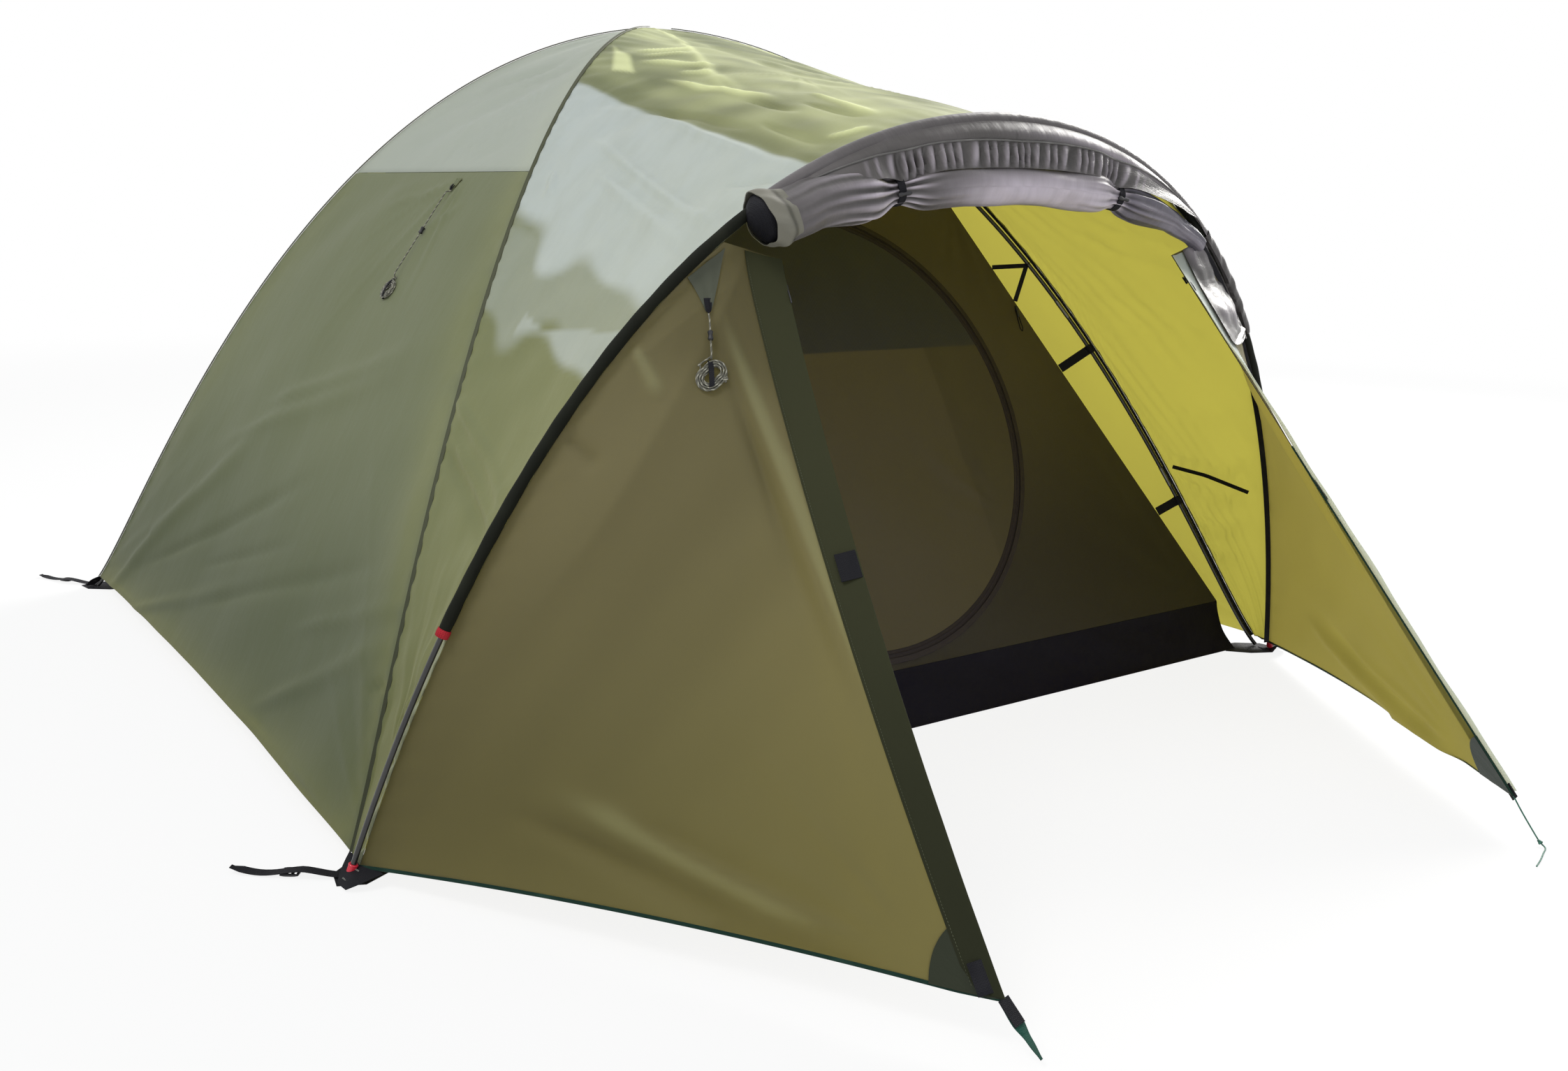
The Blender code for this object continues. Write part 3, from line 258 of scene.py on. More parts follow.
def along(points, count=None, spacing=0.01):
    """The same line with evenly spaced points."""
    run = run_along(points)
    count = count or max(3, int(run[-1] / spacing) + 1)
    return read_at(np.linspace(0, run[-1], count), run, points)


def placed(name, data):
    """An object for a mesh, a lamp or a camera, in the scene."""
    made = bpy.data.objects.new(name, data)
    bpy.context.collection.objects.link(made)
    return made


def piece(name, shape, finishes, marks=None, which=None, body="tent", sharp=50, replaces=()):
    """A mesh object in place, with its cut in metres as UVs, riding on its body."""
    points, faces, uv = shape
    mesh = bpy.data.meshes.new(name)
    faces = [tuple(int(i) for i in face) for face in faces]
    mesh.from_pydata(np.asarray(points, float).reshape(-1, 3).tolist(), [], faces)
    for finish in finishes:
        mesh.materials.append(finish)
    if which is not None:
        mesh.polygons.foreach_set("material_index", np.asarray(which, np.int32))
    corners = np.empty(len(mesh.loops), np.int32)
    mesh.loops.foreach_get("vertex_index", corners)
    layer = mesh.uv_layers.new(name="cut")
    layer.data.foreach_set("uv", np.asarray(uv, np.float32).reshape(-1, 2)[corners].ravel())
    for key, values in (marks or {}).items():
        mesh.attributes.new(key, "FLOAT", "POINT").data.foreach_set(
            "value", np.asarray(values, np.float32).ravel(),
        )
    mesh.shade_smooth()
    mesh.set_sharp_from_angle(angle=radians(sharp))
    mesh.validate()
    made = placed(name, mesh)
    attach(made, body)
    if replaces:
        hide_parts(*replaces)
    return made


def carried(path):
    """Tangents and two cross directions along a path, carried without twist."""
    path = np.asarray(path, float)
    tangents = unit(np.gradient(path, axis=0))
    side = np.cross(tangents[0], [0, 0, 1] if abs(tangents[0][2]) < 0.9 else [0, 1, 0])
    sides = []
    for tangent in tangents:
        side = unit(side - tangent * side.dot(tangent))
        sides.append(side)
    sides = np.array(sides)
    return tangents, sides, np.cross(tangents, sides)


def grid_faces(rows, columns, wraps=False):
    """Four-sided faces between the points of a grid, row by row."""
    i, j = np.meshgrid(np.arange(rows - 1), np.arange(columns if wraps else columns - 1), indexing="ij")
    n = (j + 1) % columns
    low, high = i * columns, (i + 1) * columns
    return np.stack([low + j, low + n, high + n, high + j], -1).reshape(-1, 4)


def tube(path, radii, sides=16):
    """Points, faces and UVs of a round bar along a path, with closed ends."""
    path = np.asarray(path, float)
    _, side, up = carried(path)
    radii = np.broadcast_to(np.asarray(radii, float), len(path))
    turn = np.arange(sides) * tau / sides
    rings = path[:, None] + radii[:, None, None] * (
        np.cos(turn)[None, :, None] * side[:, None] + np.sin(turn)[None, :, None] * up[:, None]
    )
    run = run_along(path)
    uv = np.stack(np.broadcast_arrays((turn * radii.mean())[None, :], run[:, None]), -1).reshape(-1, 2)
    faces, last = grid_faces(len(path), sides, True).tolist(), (len(path) - 1) * sides
    faces += [tuple(range(sides))[::-1], tuple(range(last, last + sides))]
    return rings.reshape(-1, 3), faces, uv


def joined(*parts):
    """Several bodies of points, faces and UVs as one."""
    points, faces, uvs, start = [], [], [], 0
    for p, f, uv in parts:
        points.append(np.asarray(p).reshape(-1, 3))
        faces += [tuple(start + i for i in face) for face in f]
        uvs.append(np.asarray(uv).reshape(-1, 2))
        start += len(points[-1])
    return np.concatenate(points), faces, np.concatenate(uvs)


FIBREGLASS, STEEL = fibreglass(), steel()


def foot_height(lean):
    """How high the middle of a leaning pole's end is over the webbing that it stands on."""
    return WEBBING + 0.0006 + POLE_RADIUS * sin(lean)


DOME_FOOT = share_where(lambda s: dome((1, 1), s)[2] - foot_height(DOME_LEAN))
HOOP_FOOT = share_where(lambda s: hoop(1, s)[2] - foot_height(HOOP_LEAN))


def pole(name, line):
    """A rod with its ferrules: one tube whose radius steps up over each joint."""
    line = along(line, spacing=0.012)
    piece(name + "_rod", tube(line, POLE_RADIUS), [FIBREGLASS], replaces=[name])
    run = run_along(line)
    bodies, joints = [], int(run[-1] / SECTION) + 1
    for k in range(1, joints):
        joint = run[-1] / joints * k
        at = np.linspace(joint - FERRULE / 2, joint + FERRULE / 2, len(FERRULE_FLARE))
        bodies.append(tube(read_at(at, run, line), POLE_RADIUS + FERRULE_FLARE, 16))
    piece(name + "_ferrules", joined(*bodies), [STEEL])
    return line


dome_lines = {}
for pole_name, start, end, drop in (
    ("dome_pole_lower", BACK_LEFT, FRONT_RIGHT, CROSSING_DROP),
    ("dome_pole_upper", FRONT_LEFT, BACK_RIGHT, 0.0),
):
    shares = np.linspace(DOME_FOOT, 1, 60)
    rise, fall = dome(start, shares, drop=drop), dome(end, shares[::-1], drop=drop)
    pole(pole_name, np.concatenate([rise, fall[1:]]))
    dome_lines[start], dome_lines[end] = rise, fall[::-1]
shares = np.linspace(HOOP_FOOT, 1, 80)
hoop_line = np.concatenate([hoop(-1, shares), hoop(1, shares[::-1])[1:]])
pole("hoop_pole", hoop_line)

# Pole feet: red plastic caps on the hoop's ends, which stand on triangles of black webbing sewn to
# the floor's corners. Each triangle runs out into a strap with a buckle, for the peg.

FLOOR_X, FLOOR_Y = 0.99, 0.90
STRAP_WIDTH, STRAP_LENGTH, GAP = 0.020, 0.19, 0.0003


def webbing(name, colour, rubbed, rib=0.0016):
    """Woven nylon tape: ribs across it, a herringbone along it, and paler fuzz where it rubs."""
    f = Finish(name)
    across, run, _ = f.parts(f.uv())
    ribs = (run * (tau / rib)).sine() * 0.5 + 0.5
    weave = (run * (pi / rib) + (across * (tau / 0.004)).sine() * 1.5).sine() * 0.5 + 0.5
    fuzz = f.noise(f.place(), 260.0, 3)
    worn = f.noise(f.place(), 22.0, 3).step(0.5, 0.75)
    colour = f.blend(worn * 0.5 + fuzz * 0.2, colour, rubbed)
    return f.done(f.shell(
        Base_Color=f.blend(weave * 0.35, colour, (0.0, 0.0, 0.0)), Roughness=fuzz * 0.2 + 0.62,
        Normal=f.bump(ribs * 0.7 + weave * 0.5 + fuzz * 0.3, 0.0004, 0.8), Specular_IOR_Level=0.18,
    ))


def moulded(name, colour, rough=0.38, coat=0.0):
    """Injection-moulded nylon: a fine grain, flow marks, and rubbed edges."""
    f = Finish(name)
    grain = f.noise(f.place(), 1400.0, 2)
    flow = f.noise(f.stretched(f.place(), (60, 60, 220)), 1.0, 3)
    return f.done(f.shell(
        Base_Color=f.blend(flow * 0.45, colour, tuple(min(1.0, c * 2.2 + 0.012) for c in colour)),
        Roughness=grain * 0.15 + flow * 0.12 + rough, Normal=f.bump(grain, 0.00006, 0.5), Coat_Weight=coat,
    ))


BLACK_TAPE = webbing("webbing_black", (0.006, 0.006, 0.009), (0.022, 0.022, 0.027))
RED_CAP = moulded("cap_red", (0.50, 0.012, 0.030), 0.34, 0.2)
BLACK_PLASTIC = moulded("plastic_black", (0.007, 0.007, 0.009))
WHITE_STITCH = webbing("stitch_pale", (0.42, 0.42, 0.38), (0.6, 0.6, 0.56), 0.0006)


def stitches(name, line, out, pitch, length, thick, finish, crosswise=False):
    """Thread along a seam, or teeth across it: small rounded bars repeated along the line."""
    line, out = np.asarray(line, float), np.broadcast_to(out, np.shape(line))
    run = run_along(line)
    at = np.arange(pitch / 2, run[-1], pitch)
    places = read_at(at, run, line)
    ways = unit(np.stack([np.interp(at, run, np.gradient(line[:, k], run)) for k in range(3)], -1))
    ups = unit(read_at(at, run, out))
    ups = unit(ups - ways * (ups * ways).sum(1, keepdims=True))
    if crosswise:
        ways = np.cross(ups, ways)
    seat = bpy.data.meshes.new(name + "_seats")
    seat.from_pydata(places.tolist(), [], [])
    for key, values in (("way", ways), ("up", ups)):
        seat.attributes.new(key, "FLOAT_VECTOR", "POINT").data.foreach_set(
            "vector", values.astype(np.float32).ravel(),
        )
    holder = placed(name + "_seats", seat)
    tree = bpy.data.node_groups.new(name, "GeometryNodeTree")
    sizes = {"Length": length, "Thickness": thick}
    tree.interface.new_socket("Seats", in_out="INPUT", socket_type="NodeSocketGeometry")
    sockets = {
        key: tree.interface.new_socket(key, in_out="INPUT", socket_type="NodeSocketFloat").identifier for key in sizes
    }
    tree.interface.new_socket("Thread", in_out="OUTPUT", socket_type="NodeSocketGeometry")

    def node(kind, inputs, **settings):
        made = tree.nodes.new(kind)
        for key, value in settings.items():
            setattr(made, key, value)
        for key, value in inputs.items():
            if isinstance(value, bpy.types.NodeSocket):
                tree.links.new(value, made.inputs[key])
            else:
                made.inputs[key].default_value = value
        return made.outputs

    given = node("NodeGroupInput", {})
    bar = node("GeometryNodeMeshUVSphere", {"Segments": 6, "Rings": 4, "Radius": 0.5})
    size = node(
        "ShaderNodeCombineXYZ", {"X": given["Length"], "Y": given["Thickness"], "Z": given["Thickness"]},
    )
    way, up = (
        node("GeometryNodeInputNamedAttribute", {"Name": key}, data_type="FLOAT_VECTOR")["Attribute"]
        for key in ("way", "up")
    )
    lay = node("FunctionNodeAxesToRotation", {0: way, 1: up}, primary_axis="X", secondary_axis="Z")
    sew = node("GeometryNodeInstanceOnPoints", {
        "Points": given["Seats"], "Instance": bar["Mesh"], "Rotation": lay["Rotation"],
        "Scale": size["Vector"],
    })
    real = node("GeometryNodeRealizeInstances", {"Geometry": sew["Instances"]})
    coat = node("GeometryNodeSetMaterial", {"Geometry": real["Geometry"], "Material": finish})
    node("NodeGroupOutput", {"Thread": coat["Geometry"]})
    sewing = holder.modifiers.new("sewing", "NODES")
    sewing.node_group = tree
    for key, socket in sockets.items():
        sewing[socket] = sizes[key]
    ready = holder.evaluated_get(bpy.context.evaluated_depsgraph_get())
    mesh = bpy.data.meshes.new_from_object(ready)
    bpy.data.objects.remove(holder)
    mesh.name = name
    mesh.materials.clear()
    mesh.materials.append(finish)
    mesh.shade_smooth()
    sewn = placed(name, mesh)
    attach(sewn, "tent")


def slab(outline, along, uv_way):
    """A flat outline made solid by a vector, with UVs that run the given way."""
    outline, along, way = np.asarray(outline, float), np.asarray(along, float), unit(uv_way)
    count = len(outline)
    across = unit(np.cross(unit(along), way))
    if np.dot(np.cross(outline[1] - outline[0], outline[2] - outline[0]), along) < 0:
        outline = outline[::-1]
    points = np.concatenate([outline, outline + along])
    faces = [(i, (i + 1) % count, count + (i + 1) % count, count + i) for i in range(count)]
    faces += [tuple(range(count))[::-1], tuple(range(count, 2 * count))]
    return points, faces, np.stack([points @ across, points @ way], -1)


SIDES = ((-1, "left"), (1, "right"))
for side, word in SIDES:
    start = hoop(side, HOOP_FOOT)
    up = unit(hoop(side, HOOP_FOOT + 0.02) - start)
    line = [start + up * (0.002 + d) for d in (0, 0.0008, 0.003, 0.012, 0.020, 0.0232, 0.024)]
    piece(
        f"pole_foot_cap_{word}", tube(line, [0.0062, 0.0070, 0.0074, 0.0070, 0.0068, 0.0072, 0.0064], 20),
        [RED_CAP], sharp=30, replaces=[f"pole_cap_{word}"],
    )

RUNG = (0.0016, 0.0021, 0.0022, 0.0022, 0.0022, 0.0021, 0.0016)
RAIL = (0.0014, 0.0021, 0.0023, 0.0023, 0.0023, 0.0021, 0.0014)
TAIL_WAYS = ((0.82, -0.57), (0.92, 0.38), (0.60, 0.80), (0.60, 0.80))
GUSSET = (
    (GAP, -0.034), (0.035, -0.028), (0.080, 0.005), (0.088, 0.045), (0.050, 0.062), (0.004, 0.040),
    (-0.034, GAP), (GAP, GAP),
)


def ground_corner(corner, x, y, z=0.0):
    """A place beside a corner of the floor, counted outwards from it."""
    return np.array([corner[0] * (FLOOR_X + x), corner[1] * (FLOOR_Y + y), z])


def tape(line, normal, width, thick=WEBBING):
    """A webbing strap along a line: a rounded flat band with UVs in metres."""
    line = np.asarray(line, float)
    way = unit(np.gradient(line, axis=0))
    normal = np.broadcast_to(normal, line.shape)
    normal = unit(normal - way * (normal * way).sum(1, keepdims=True))
    side = np.cross(way, normal)
    half, t = width / 2, thick / 2
    ring = [(-1, -0.4), (-0.96, -1), (0.96, -1), (1, -0.4), (1, 0.4), (0.96, 1), (-0.96, 1), (-1, 0.4)]
    ring = [(half * a, t * b) for a, b in ring]
    points = np.stack([line + side * a + normal * b for a, b in ring], 1).reshape(-1, 3)
    run = run_along(line)
    uv = np.array([[a, r] for r in run for a, _ in ring])
    n = len(ring)
    faces = [tuple(quad[::-1]) for quad in np.roll(grid_faces(len(line), n, True), -1, 1)]
    faces += [tuple(range(n)), tuple(range((len(line) - 1) * n, len(line) * n))[::-1]]
    return points, faces, uv


for (word, corner), way in zip(CORNERS, TAIL_WAYS):
    way = unit(np.array([corner[0] * way[0], corner[1] * way[1], 0]))
    across = np.array([-way[1], way[0], 0])
    base = slab([ground_corner(corner, x, y, 0.0002) for x, y in GUSSET], (0, 0, 0.0012), way)
    start = ground_corner(corner, 0.05, 0.03, 0)
    share = np.linspace(0, 1, 24)
    run = share * STRAP_LENGTH
    curl = {"front_left": 0.010, "back_left": 0.006}.get(word, 0.005)
    height = 0.0024 + curl * (0.5 - 0.5 * np.cos(share * 2.6 * pi)) * np.minimum(1, run / 0.08)
    line = start + way * run[:, None] * 0.985 + across * (0.006 * np.sin(share * 4.2))[:, None]
    line[:, 2] += height
    strap = tape(line, [0, 0, 1], STRAP_WIDTH * 0.92, 0.0012)
    strap[0][-16:] = (strap[0][-16:] - line[-1]) * [0.55, 0.55, 1] + line[-1]
    web = piece(
        f"corner_webbing_{word}", joined(base, strap), [BLACK_TAPE], sharp=40,
        replaces=[f"corner_web_{word}"],
    )
    for k, at in enumerate((0.014, 0.024)):
        middle = start + way * at + [0, 0, 0.0033]
        bar = np.array([middle + across * d for d in np.linspace(-0.0085, 0.0085, 9)])
        stitches(f"corner_stitches_{word}_{k}", bar, [0, 0, 1], 0.0021, 0.0024, 0.0007, WHITE_STITCH)
    pivot = start + way * 0.085 + [0, 0, WEBBING + GAP]
    bars = [([(x, y) for x in np.linspace(-0.0108, 0.0108, 7)], RUNG) for y in (0.001, 0.009, 0.0175, 0.025)]
    bars += [([(x, y) for y in np.linspace(0.0005, 0.0255, 7)], RAIL) for x in (-0.0104, 0.0104)]
    hollow = [
        tube([pivot + across * x + way * y + [0, 0, 0.0026] for x, y in bar], radii, 10) for bar, radii in bars
    ]
    piece(
        f"ladder_buckle_{word}", joined(*hollow), [BLACK_PLASTIC], body=f"corner_buckle_{word}",
        replaces=[f"corner_buckle_{word}"],
    )

# Groundsheet: a bath-tub tray of coated navy cloth, with a flat floor and walls that lean in to a seam
# a hand's breadth above the ground. Heat-taped, so that it has no stitching below that seam.

TRAY_X, TRAY_Y, TRAY_TOP = 0.965, 0.858, 0.105


def weave(f, pitch=0.0011):
    """Height of a plain weave over the cut, from 0 to 1."""
    u, v, _ = f.parts(f.uv())
    warp, weft = (u * (tau / pitch)).sine(), (v * (tau / pitch)).sine()
    return (warp * weft) * 0.5 + 0.5


def coated(name, colour, pale):
    """Laminated cloth: a shallow weave under a smooth, slightly glossy film with scuffs."""
    f = Finish(name)
    scuff = f.noise(f.stretched(f.place(), (7, 7, 22)), 1.0, 5, 0.6).step(0.5, 0.8)
    soft = f.noise(f.place(), 5.0, 3)
    crush = f.noise(f.place(), 34.0, 4, 0.6)
    return f.done(f.shell(
        Base_Color=f.blend(scuff * 0.5 + soft * 0.2, colour, pale),
        Roughness=soft * 0.15 + scuff * 0.15 + 0.62,
        Normal=f.bump(weave(f), 0.0002, 0.5, f.bump(crush, 0.004, 0.5)), Specular_IOR_Level=0.15,
    ))


def grid_normals(grid, wraps=False):
    up = np.gradient(grid, axis=0)
    across = (np.roll(grid, -1, 1) - np.roll(grid, 1, 1)) if wraps else np.gradient(grid, axis=1)
    return unit(np.cross(up, across))


def lengths(grid):
    """The cut's own measures: how far each point is along its row and up its column, in metres."""
    across = np.cumsum(np.pad(np.linalg.norm(np.diff(grid, axis=1), axis=2), ((0, 0), (1, 0))), 1)
    up = np.cumsum(np.pad(np.linalg.norm(np.diff(grid, axis=0), axis=2), ((1, 0), (0, 0))), 0)
    return across - across[:, -1:] / 2, up


def cloth(name, grid, finish, lining=None, thick=0.0008, wraps=False, middle=False, marks=None,
          body="tent", replaces=(), stand=0.0):
    """A panel of cloth: a grid of places given its thickness, with a face, a lining and closed edges."""
    rows, columns = grid.shape[:2]
    normals = grid_normals(grid, wraps)
    outer, inner = grid + normals * (stand + thick / 2), grid + normals * (stand - thick / 2)
    quads, count = grid_faces(rows, columns, wraps), rows * columns
    halves = np.concatenate([quads[:, [0, 1, 2]], quads[:, [0, 2, 3]]])
    faces = [tuple(h[::-1]) for h in halves] + [tuple(count + h) for h in halves]
    which = [0] * len(halves) + [1 if lining else 0] * len(halves)
    edges = [(j, (j + 1) % columns) for j in range(columns if wraps else columns - 1)]
    rims = [] if middle else [(a, b) for a, b in edges]
    rims += [((rows - 1) * columns + b, (rows - 1) * columns + a) for a, b in edges]
    if not wraps:
        rims += [((i + 1) * columns, i * columns) for i in range(rows - 1)]
        rims += [(i * columns + columns - 1, (i + 1) * columns - 1 + columns) for i in range(rows - 1)]
    faces += [(a, b, count + b, count + a) for a, b in rims]
    which += [0] * len(rims)
    if middle:
        faces += [tuple(range(columns)), tuple(range(count, count + columns))[::-1]]
        which += [0, 1 if lining else 0]
    u, v = lengths(grid)
    uv = np.tile(np.stack([u, v], -1).reshape(-1, 2), (2, 1))
    marks = {key: np.tile(np.asarray(values, float).ravel(), 2) for key, values in (marks or {}).items()}
    shape = np.concatenate([outer.reshape(-1, 3), inner.reshape(-1, 3)]), faces, uv
    finishes = [finish, lining] if lining else [finish]
    made = piece(name, shape, finishes, marks, which, body, replaces=replaces)
    a, b, c, d = grid[:-1, :-1], grid[:-1, 1:], grid[1:, 1:], grid[1:, :-1]
    area = (np.linalg.norm(np.cross(b - a, c - a), axis=2) +
            np.linalg.norm(np.cross(c - a, d - a), axis=2)).sum() / 2
    if wraps:
        area *= columns / (columns - 1)
    return made


def creases(u, v, lines):
    """Height of drawn creases over a cut: each from (u, v), heading a way, so long, so wide, so high."""
    total = np.zeros_like(u)
    for u0, v0, way, long, wide, high in lines:
        run = (u - u0) * cos(way) + (v - v0) * sin(way)
        off = -(u - u0) * sin(way) + (v - v0) * cos(way)
        spread = wide * (0.35 + 0.9 * np.clip(run / long, 0, 1))
        fade = np.clip(run / (0.12 * long), 0, 1) * np.clip(1 - run / long, 0, 1) ** 0.8
        total += high * fade * np.exp(-((off / spread) ** 2))
    return total


def fan(seed, at, towards, spread, count, long, wide, high):
    """Creases that spread from one place, as where a cord or a corner pulls the cloth."""
    dice = np.random.default_rng(seed)
    turns = towards + spread * (np.linspace(-0.5, 0.5, count) + dice.uniform(-0.35, 0.35, count) / count)
    return [
        (
            at[0], at[1], turn, long * dice.uniform(0.45, 1.0), wide * dice.uniform(0.7, 1.4),
            high * dice.uniform(0.5, 1.0) * (1, -0.8)[k % 2],
        )
        for k, turn in enumerate(turns)
    ]


def folds(grid, lines):
    """Height of folds drawn between places on the cloth: how wide, how high, and the places."""
    total = np.zeros(grid.shape[:2])
    for wide, high, *places in lines:
        places = np.array(places, float)
        run = run_along(places)
        nearest, share = np.full(total.shape, 9.0), np.zeros(total.shape)
        for a, b, start in zip(places[:-1], places[1:], run):
            way = b - a
            t = np.clip((grid - a) @ way / way.dot(way), -0.3, 1.3)
            far = np.linalg.norm(grid - a - t[..., None] * way, axis=-1)
            share = np.where(far < nearest, (start + t * np.linalg.norm(way)) / run[-1], share)
            nearest = np.minimum(nearest, far)
        ends = np.clip((share + 0.25) / 0.4, 0, 1) * np.clip((1.25 - share) / 0.5, 0, 1)
        total += (
            high * ends * ends * (3 - 2 * ends)
            * np.exp(-((nearest / (wide * (0.7 + 0.5 * np.clip(share, 0, 1)))) ** 2))
        )
    return total


def waves(seed, u, v, sizes=((0.5, 0.003), (0.22, 0.0012))):
    """Slow, uneven swells of slack cloth."""
    dice = np.random.default_rng(seed)
    total = np.zeros_like(u)
    for length, high in sizes:
        for _ in range(5):
            way, phase = dice.uniform(0, pi), dice.uniform(0, tau)
            total += (
                high / 2
                * np.sin((u * cos(way) + v * sin(way)) * tau / (length * dice.uniform(0.7, 1.4)) + phase)
            )
    return total


NAVY = coated("floor_navy", (0.0020, 0.0012, 0.0050), (0.005, 0.0035, 0.011))


def around(half_x, half_y, z, spacing=0.02):
    """An even line round a rectangle, front left first and anticlockwise from above."""
    corners = np.array([(-half_x, -half_y), (half_x, -half_y), (half_x, half_y), (-half_x, half_y)])
    counts = (int(2 * TRAY_X / spacing), int(2 * TRAY_Y / spacing))
    line = []
    for k in range(4):
        steps = counts[k % 2]
        line += [corners[k] + (corners[(k + 1) % 4] - corners[k]) * s / steps for s in range(steps)]
    return np.column_stack([np.array(line), np.full(len(line), z)])


rise = np.r_[0, 0.02, 0.08, np.linspace(0.2, 1, 9)]
grid = np.stack([
    around(
        FLOOR_X + (TRAY_X - FLOOR_X) * t ** 0.8 - 0.0005, FLOOR_Y + (TRAY_Y - FLOOR_Y) * t ** 0.8 - 0.0005,
        0.0012 + (TRAY_TOP - 0.0016) * t,
    )
    for t in rise
])
u, v = lengths(grid)
slack = np.sin(pi * rise) ** 0.7
grid += (
    grid_normals(grid, True)
    * ((waves(5, u, v, ((0.30, 0.004), (0.11, 0.002))) * 0.5 + 0.003) * slack[:, None])[..., None]
)
cloth(
    "tray_wall", grid[:, ::-1], NAVY, wraps=True, thick=0.0012,
    replaces=["groundsheet_tray"],
)
x, y = np.meshgrid(np.linspace(-1, 1, 70) * (FLOOR_X - 0.003), np.linspace(-1, 1, 64) * (FLOOR_Y - 0.003))
ground = np.stack([x, y, 0.0012 + 0.0012 * np.abs(waves(6, x, y, ((0.4, 0.8), (0.13, 0.5))))], -1)
cloth("tray_floor", ground[:, ::-1], NAVY, thick=0.0010)

# Inner tent: walls of brown breathable polyester up to the knee, and black netting above, hung under
# the poles. The door in its front wall is half cloth and half netting, and zips round in an arc.

STANDOFF, KNEE = 0.035, DOME_HEIGHT * 0.761
KNEE_SHARE = share_where(lambda s: dome((1, 1), s, -STANDOFF)[2] - KNEE)
NET_FROM = 0.672


def inner_cloth(name, netting, doubled=False):
    """Breathable polyester, dark and slightly shiny; netting is the height where it gives way to net.
    Where doubled is set, as for the door, the lower part is painted paler, as light falling on it, and the strip
    beside its zip is left darker, as painted shade; otherwise the lower part grows darker towards the floor."""
    f = Finish(name)
    across, _, height = f.parts(f.place())
    u, v, _ = f.parts(f.uv())
    net = height.step(netting, netting + 0.004)
    cells = ((u * (tau / 0.0030)).sine() * (v * (tau / 0.0030)).sine() * 0.5 + 0.5).step(0.55, 0.75)
    slow, fine = f.noise(f.place(), 3.0, 3), f.noise(f.place(), 180.0, 2)
    brown = f.blend(slow * 0.6 + fine * 0.15, (0.052, 0.041, 0.019), (0.078, 0.063, 0.030))
    # Low down, the door is painted paler as light falling on it; the walls grow darker towards the floor.
    brown = f.blend(
        height.step(0.66, 0.20) * 0.75, brown, (0.075, 0.062, 0.034) if doubled else (0.014, 0.011, 0.008),
    )
    # Painted light and shade on the door: paler away from the zip, and a darker strip beside the zip.
    if doubled:
        brown = f.blend(
            (across + height * 0.13).step(0.392, 0.399), f.blend(0.5, brown, (0.105, 0.085, 0.044)), brown,
        )
    grey = f.blend(cells, (0.034, 0.036, 0.040), (0.012, 0.012, 0.015))
    crush = f.noise(f.stretched(f.place(), (9, 9, 5)), 1.0, 4, 0.55)
    surface = f.shell(
        Base_Color=f.blend(net, brown, grey), Roughness=fine * 0.2 + 0.55, Alpha=net * cells * -0.35 + 1.0,
        Normal=f.bump(weave(f, 0.0009), 0.00012, 0.5, f.bump(crush, 0.008, 0.35)), Sheen_Weight=0.12,
    )
    return f.done(f.through(0.22, surface, (0.55, 0.42, 0.14)))


NO_NET, ALL_NET = 9.0, -9.0
INNER, NETTING = inner_cloth("inner_brown", NO_NET), inner_cloth("inner_net", ALL_NET)
INNER_DOOR = inner_cloth("inner_door_cloth", NET_FROM, doubled=True)


def knee(corner):
    point = dome(corner, KNEE_SHARE, -STANDOFF)
    return np.array([point[0], point[1], KNEE])


def tray_corner(corner):
    return np.array([corner[0] * (TRAY_X - 0.0005), corner[1] * (TRAY_Y - 0.0005), TRAY_TOP + GAP])


WALLS = (("left", FRONT_LEFT, BACK_LEFT), ("back", BACK_LEFT, BACK_RIGHT), ("right", BACK_RIGHT, FRONT_RIGHT))
for word, first, second in WALLS:
    s, t = np.meshgrid(np.linspace(0, 1, 72), np.linspace(0, 1, 40))
    s, t = s[..., None], t[..., None]
    low = tray_corner(first) * (1 - s) + tray_corner(second) * s
    high = knee(first) * (1 - s) + knee(second) * s
    grid = low * (1 - t) + high * t
    u, v = lengths(grid)
    edge = (np.sin(pi * s) * np.sin(pi * t))[..., 0]
    pull = creases(
        u, v,
        fan(11, (-0.95, 0), 0.7, 1.2, 7, 0.9, 0.02, 0.004) +
            fan(12, (0.95, 0), pi - 0.7, 1.2, 7, 0.9, 0.02, 0.004),
    )
    grid = grid + grid_normals(grid) * (-(0.012 * edge) + (pull + waves(13, u, v)) * edge ** 0.4)[..., None]
    cloth(
        f"inner_wall_{word}_cloth", grid, INNER,
        replaces=[f"inner_wall_{word}"],
    )

grid = []
for share in np.linspace(KNEE_SHARE, 0.9995, 34):
    row, ring = [], (FRONT_LEFT, BACK_LEFT, BACK_RIGHT, FRONT_RIGHT)
    for first, second in zip(ring, ring[1:] + ring[:1]):
        a, b = dome(first, share, -STANDOFF), dome(second, share, -STANDOFF)
        row += [a + (b - a) * s for s in np.linspace(0, 1, 24, endpoint=False)]
    grid.append(row)
grid = np.array(grid)
grid[:, :, 2] -= (
    0.010 * (np.sin(np.linspace(0, 1, 34) * pi)[:, None] * np.abs(np.sin(np.arange(96) * pi / 24))[None, :])
)
cloth(
    "inner_roof_net", grid, NETTING, wraps=True, thick=0.0006,
    replaces=["inner_roof"],
)

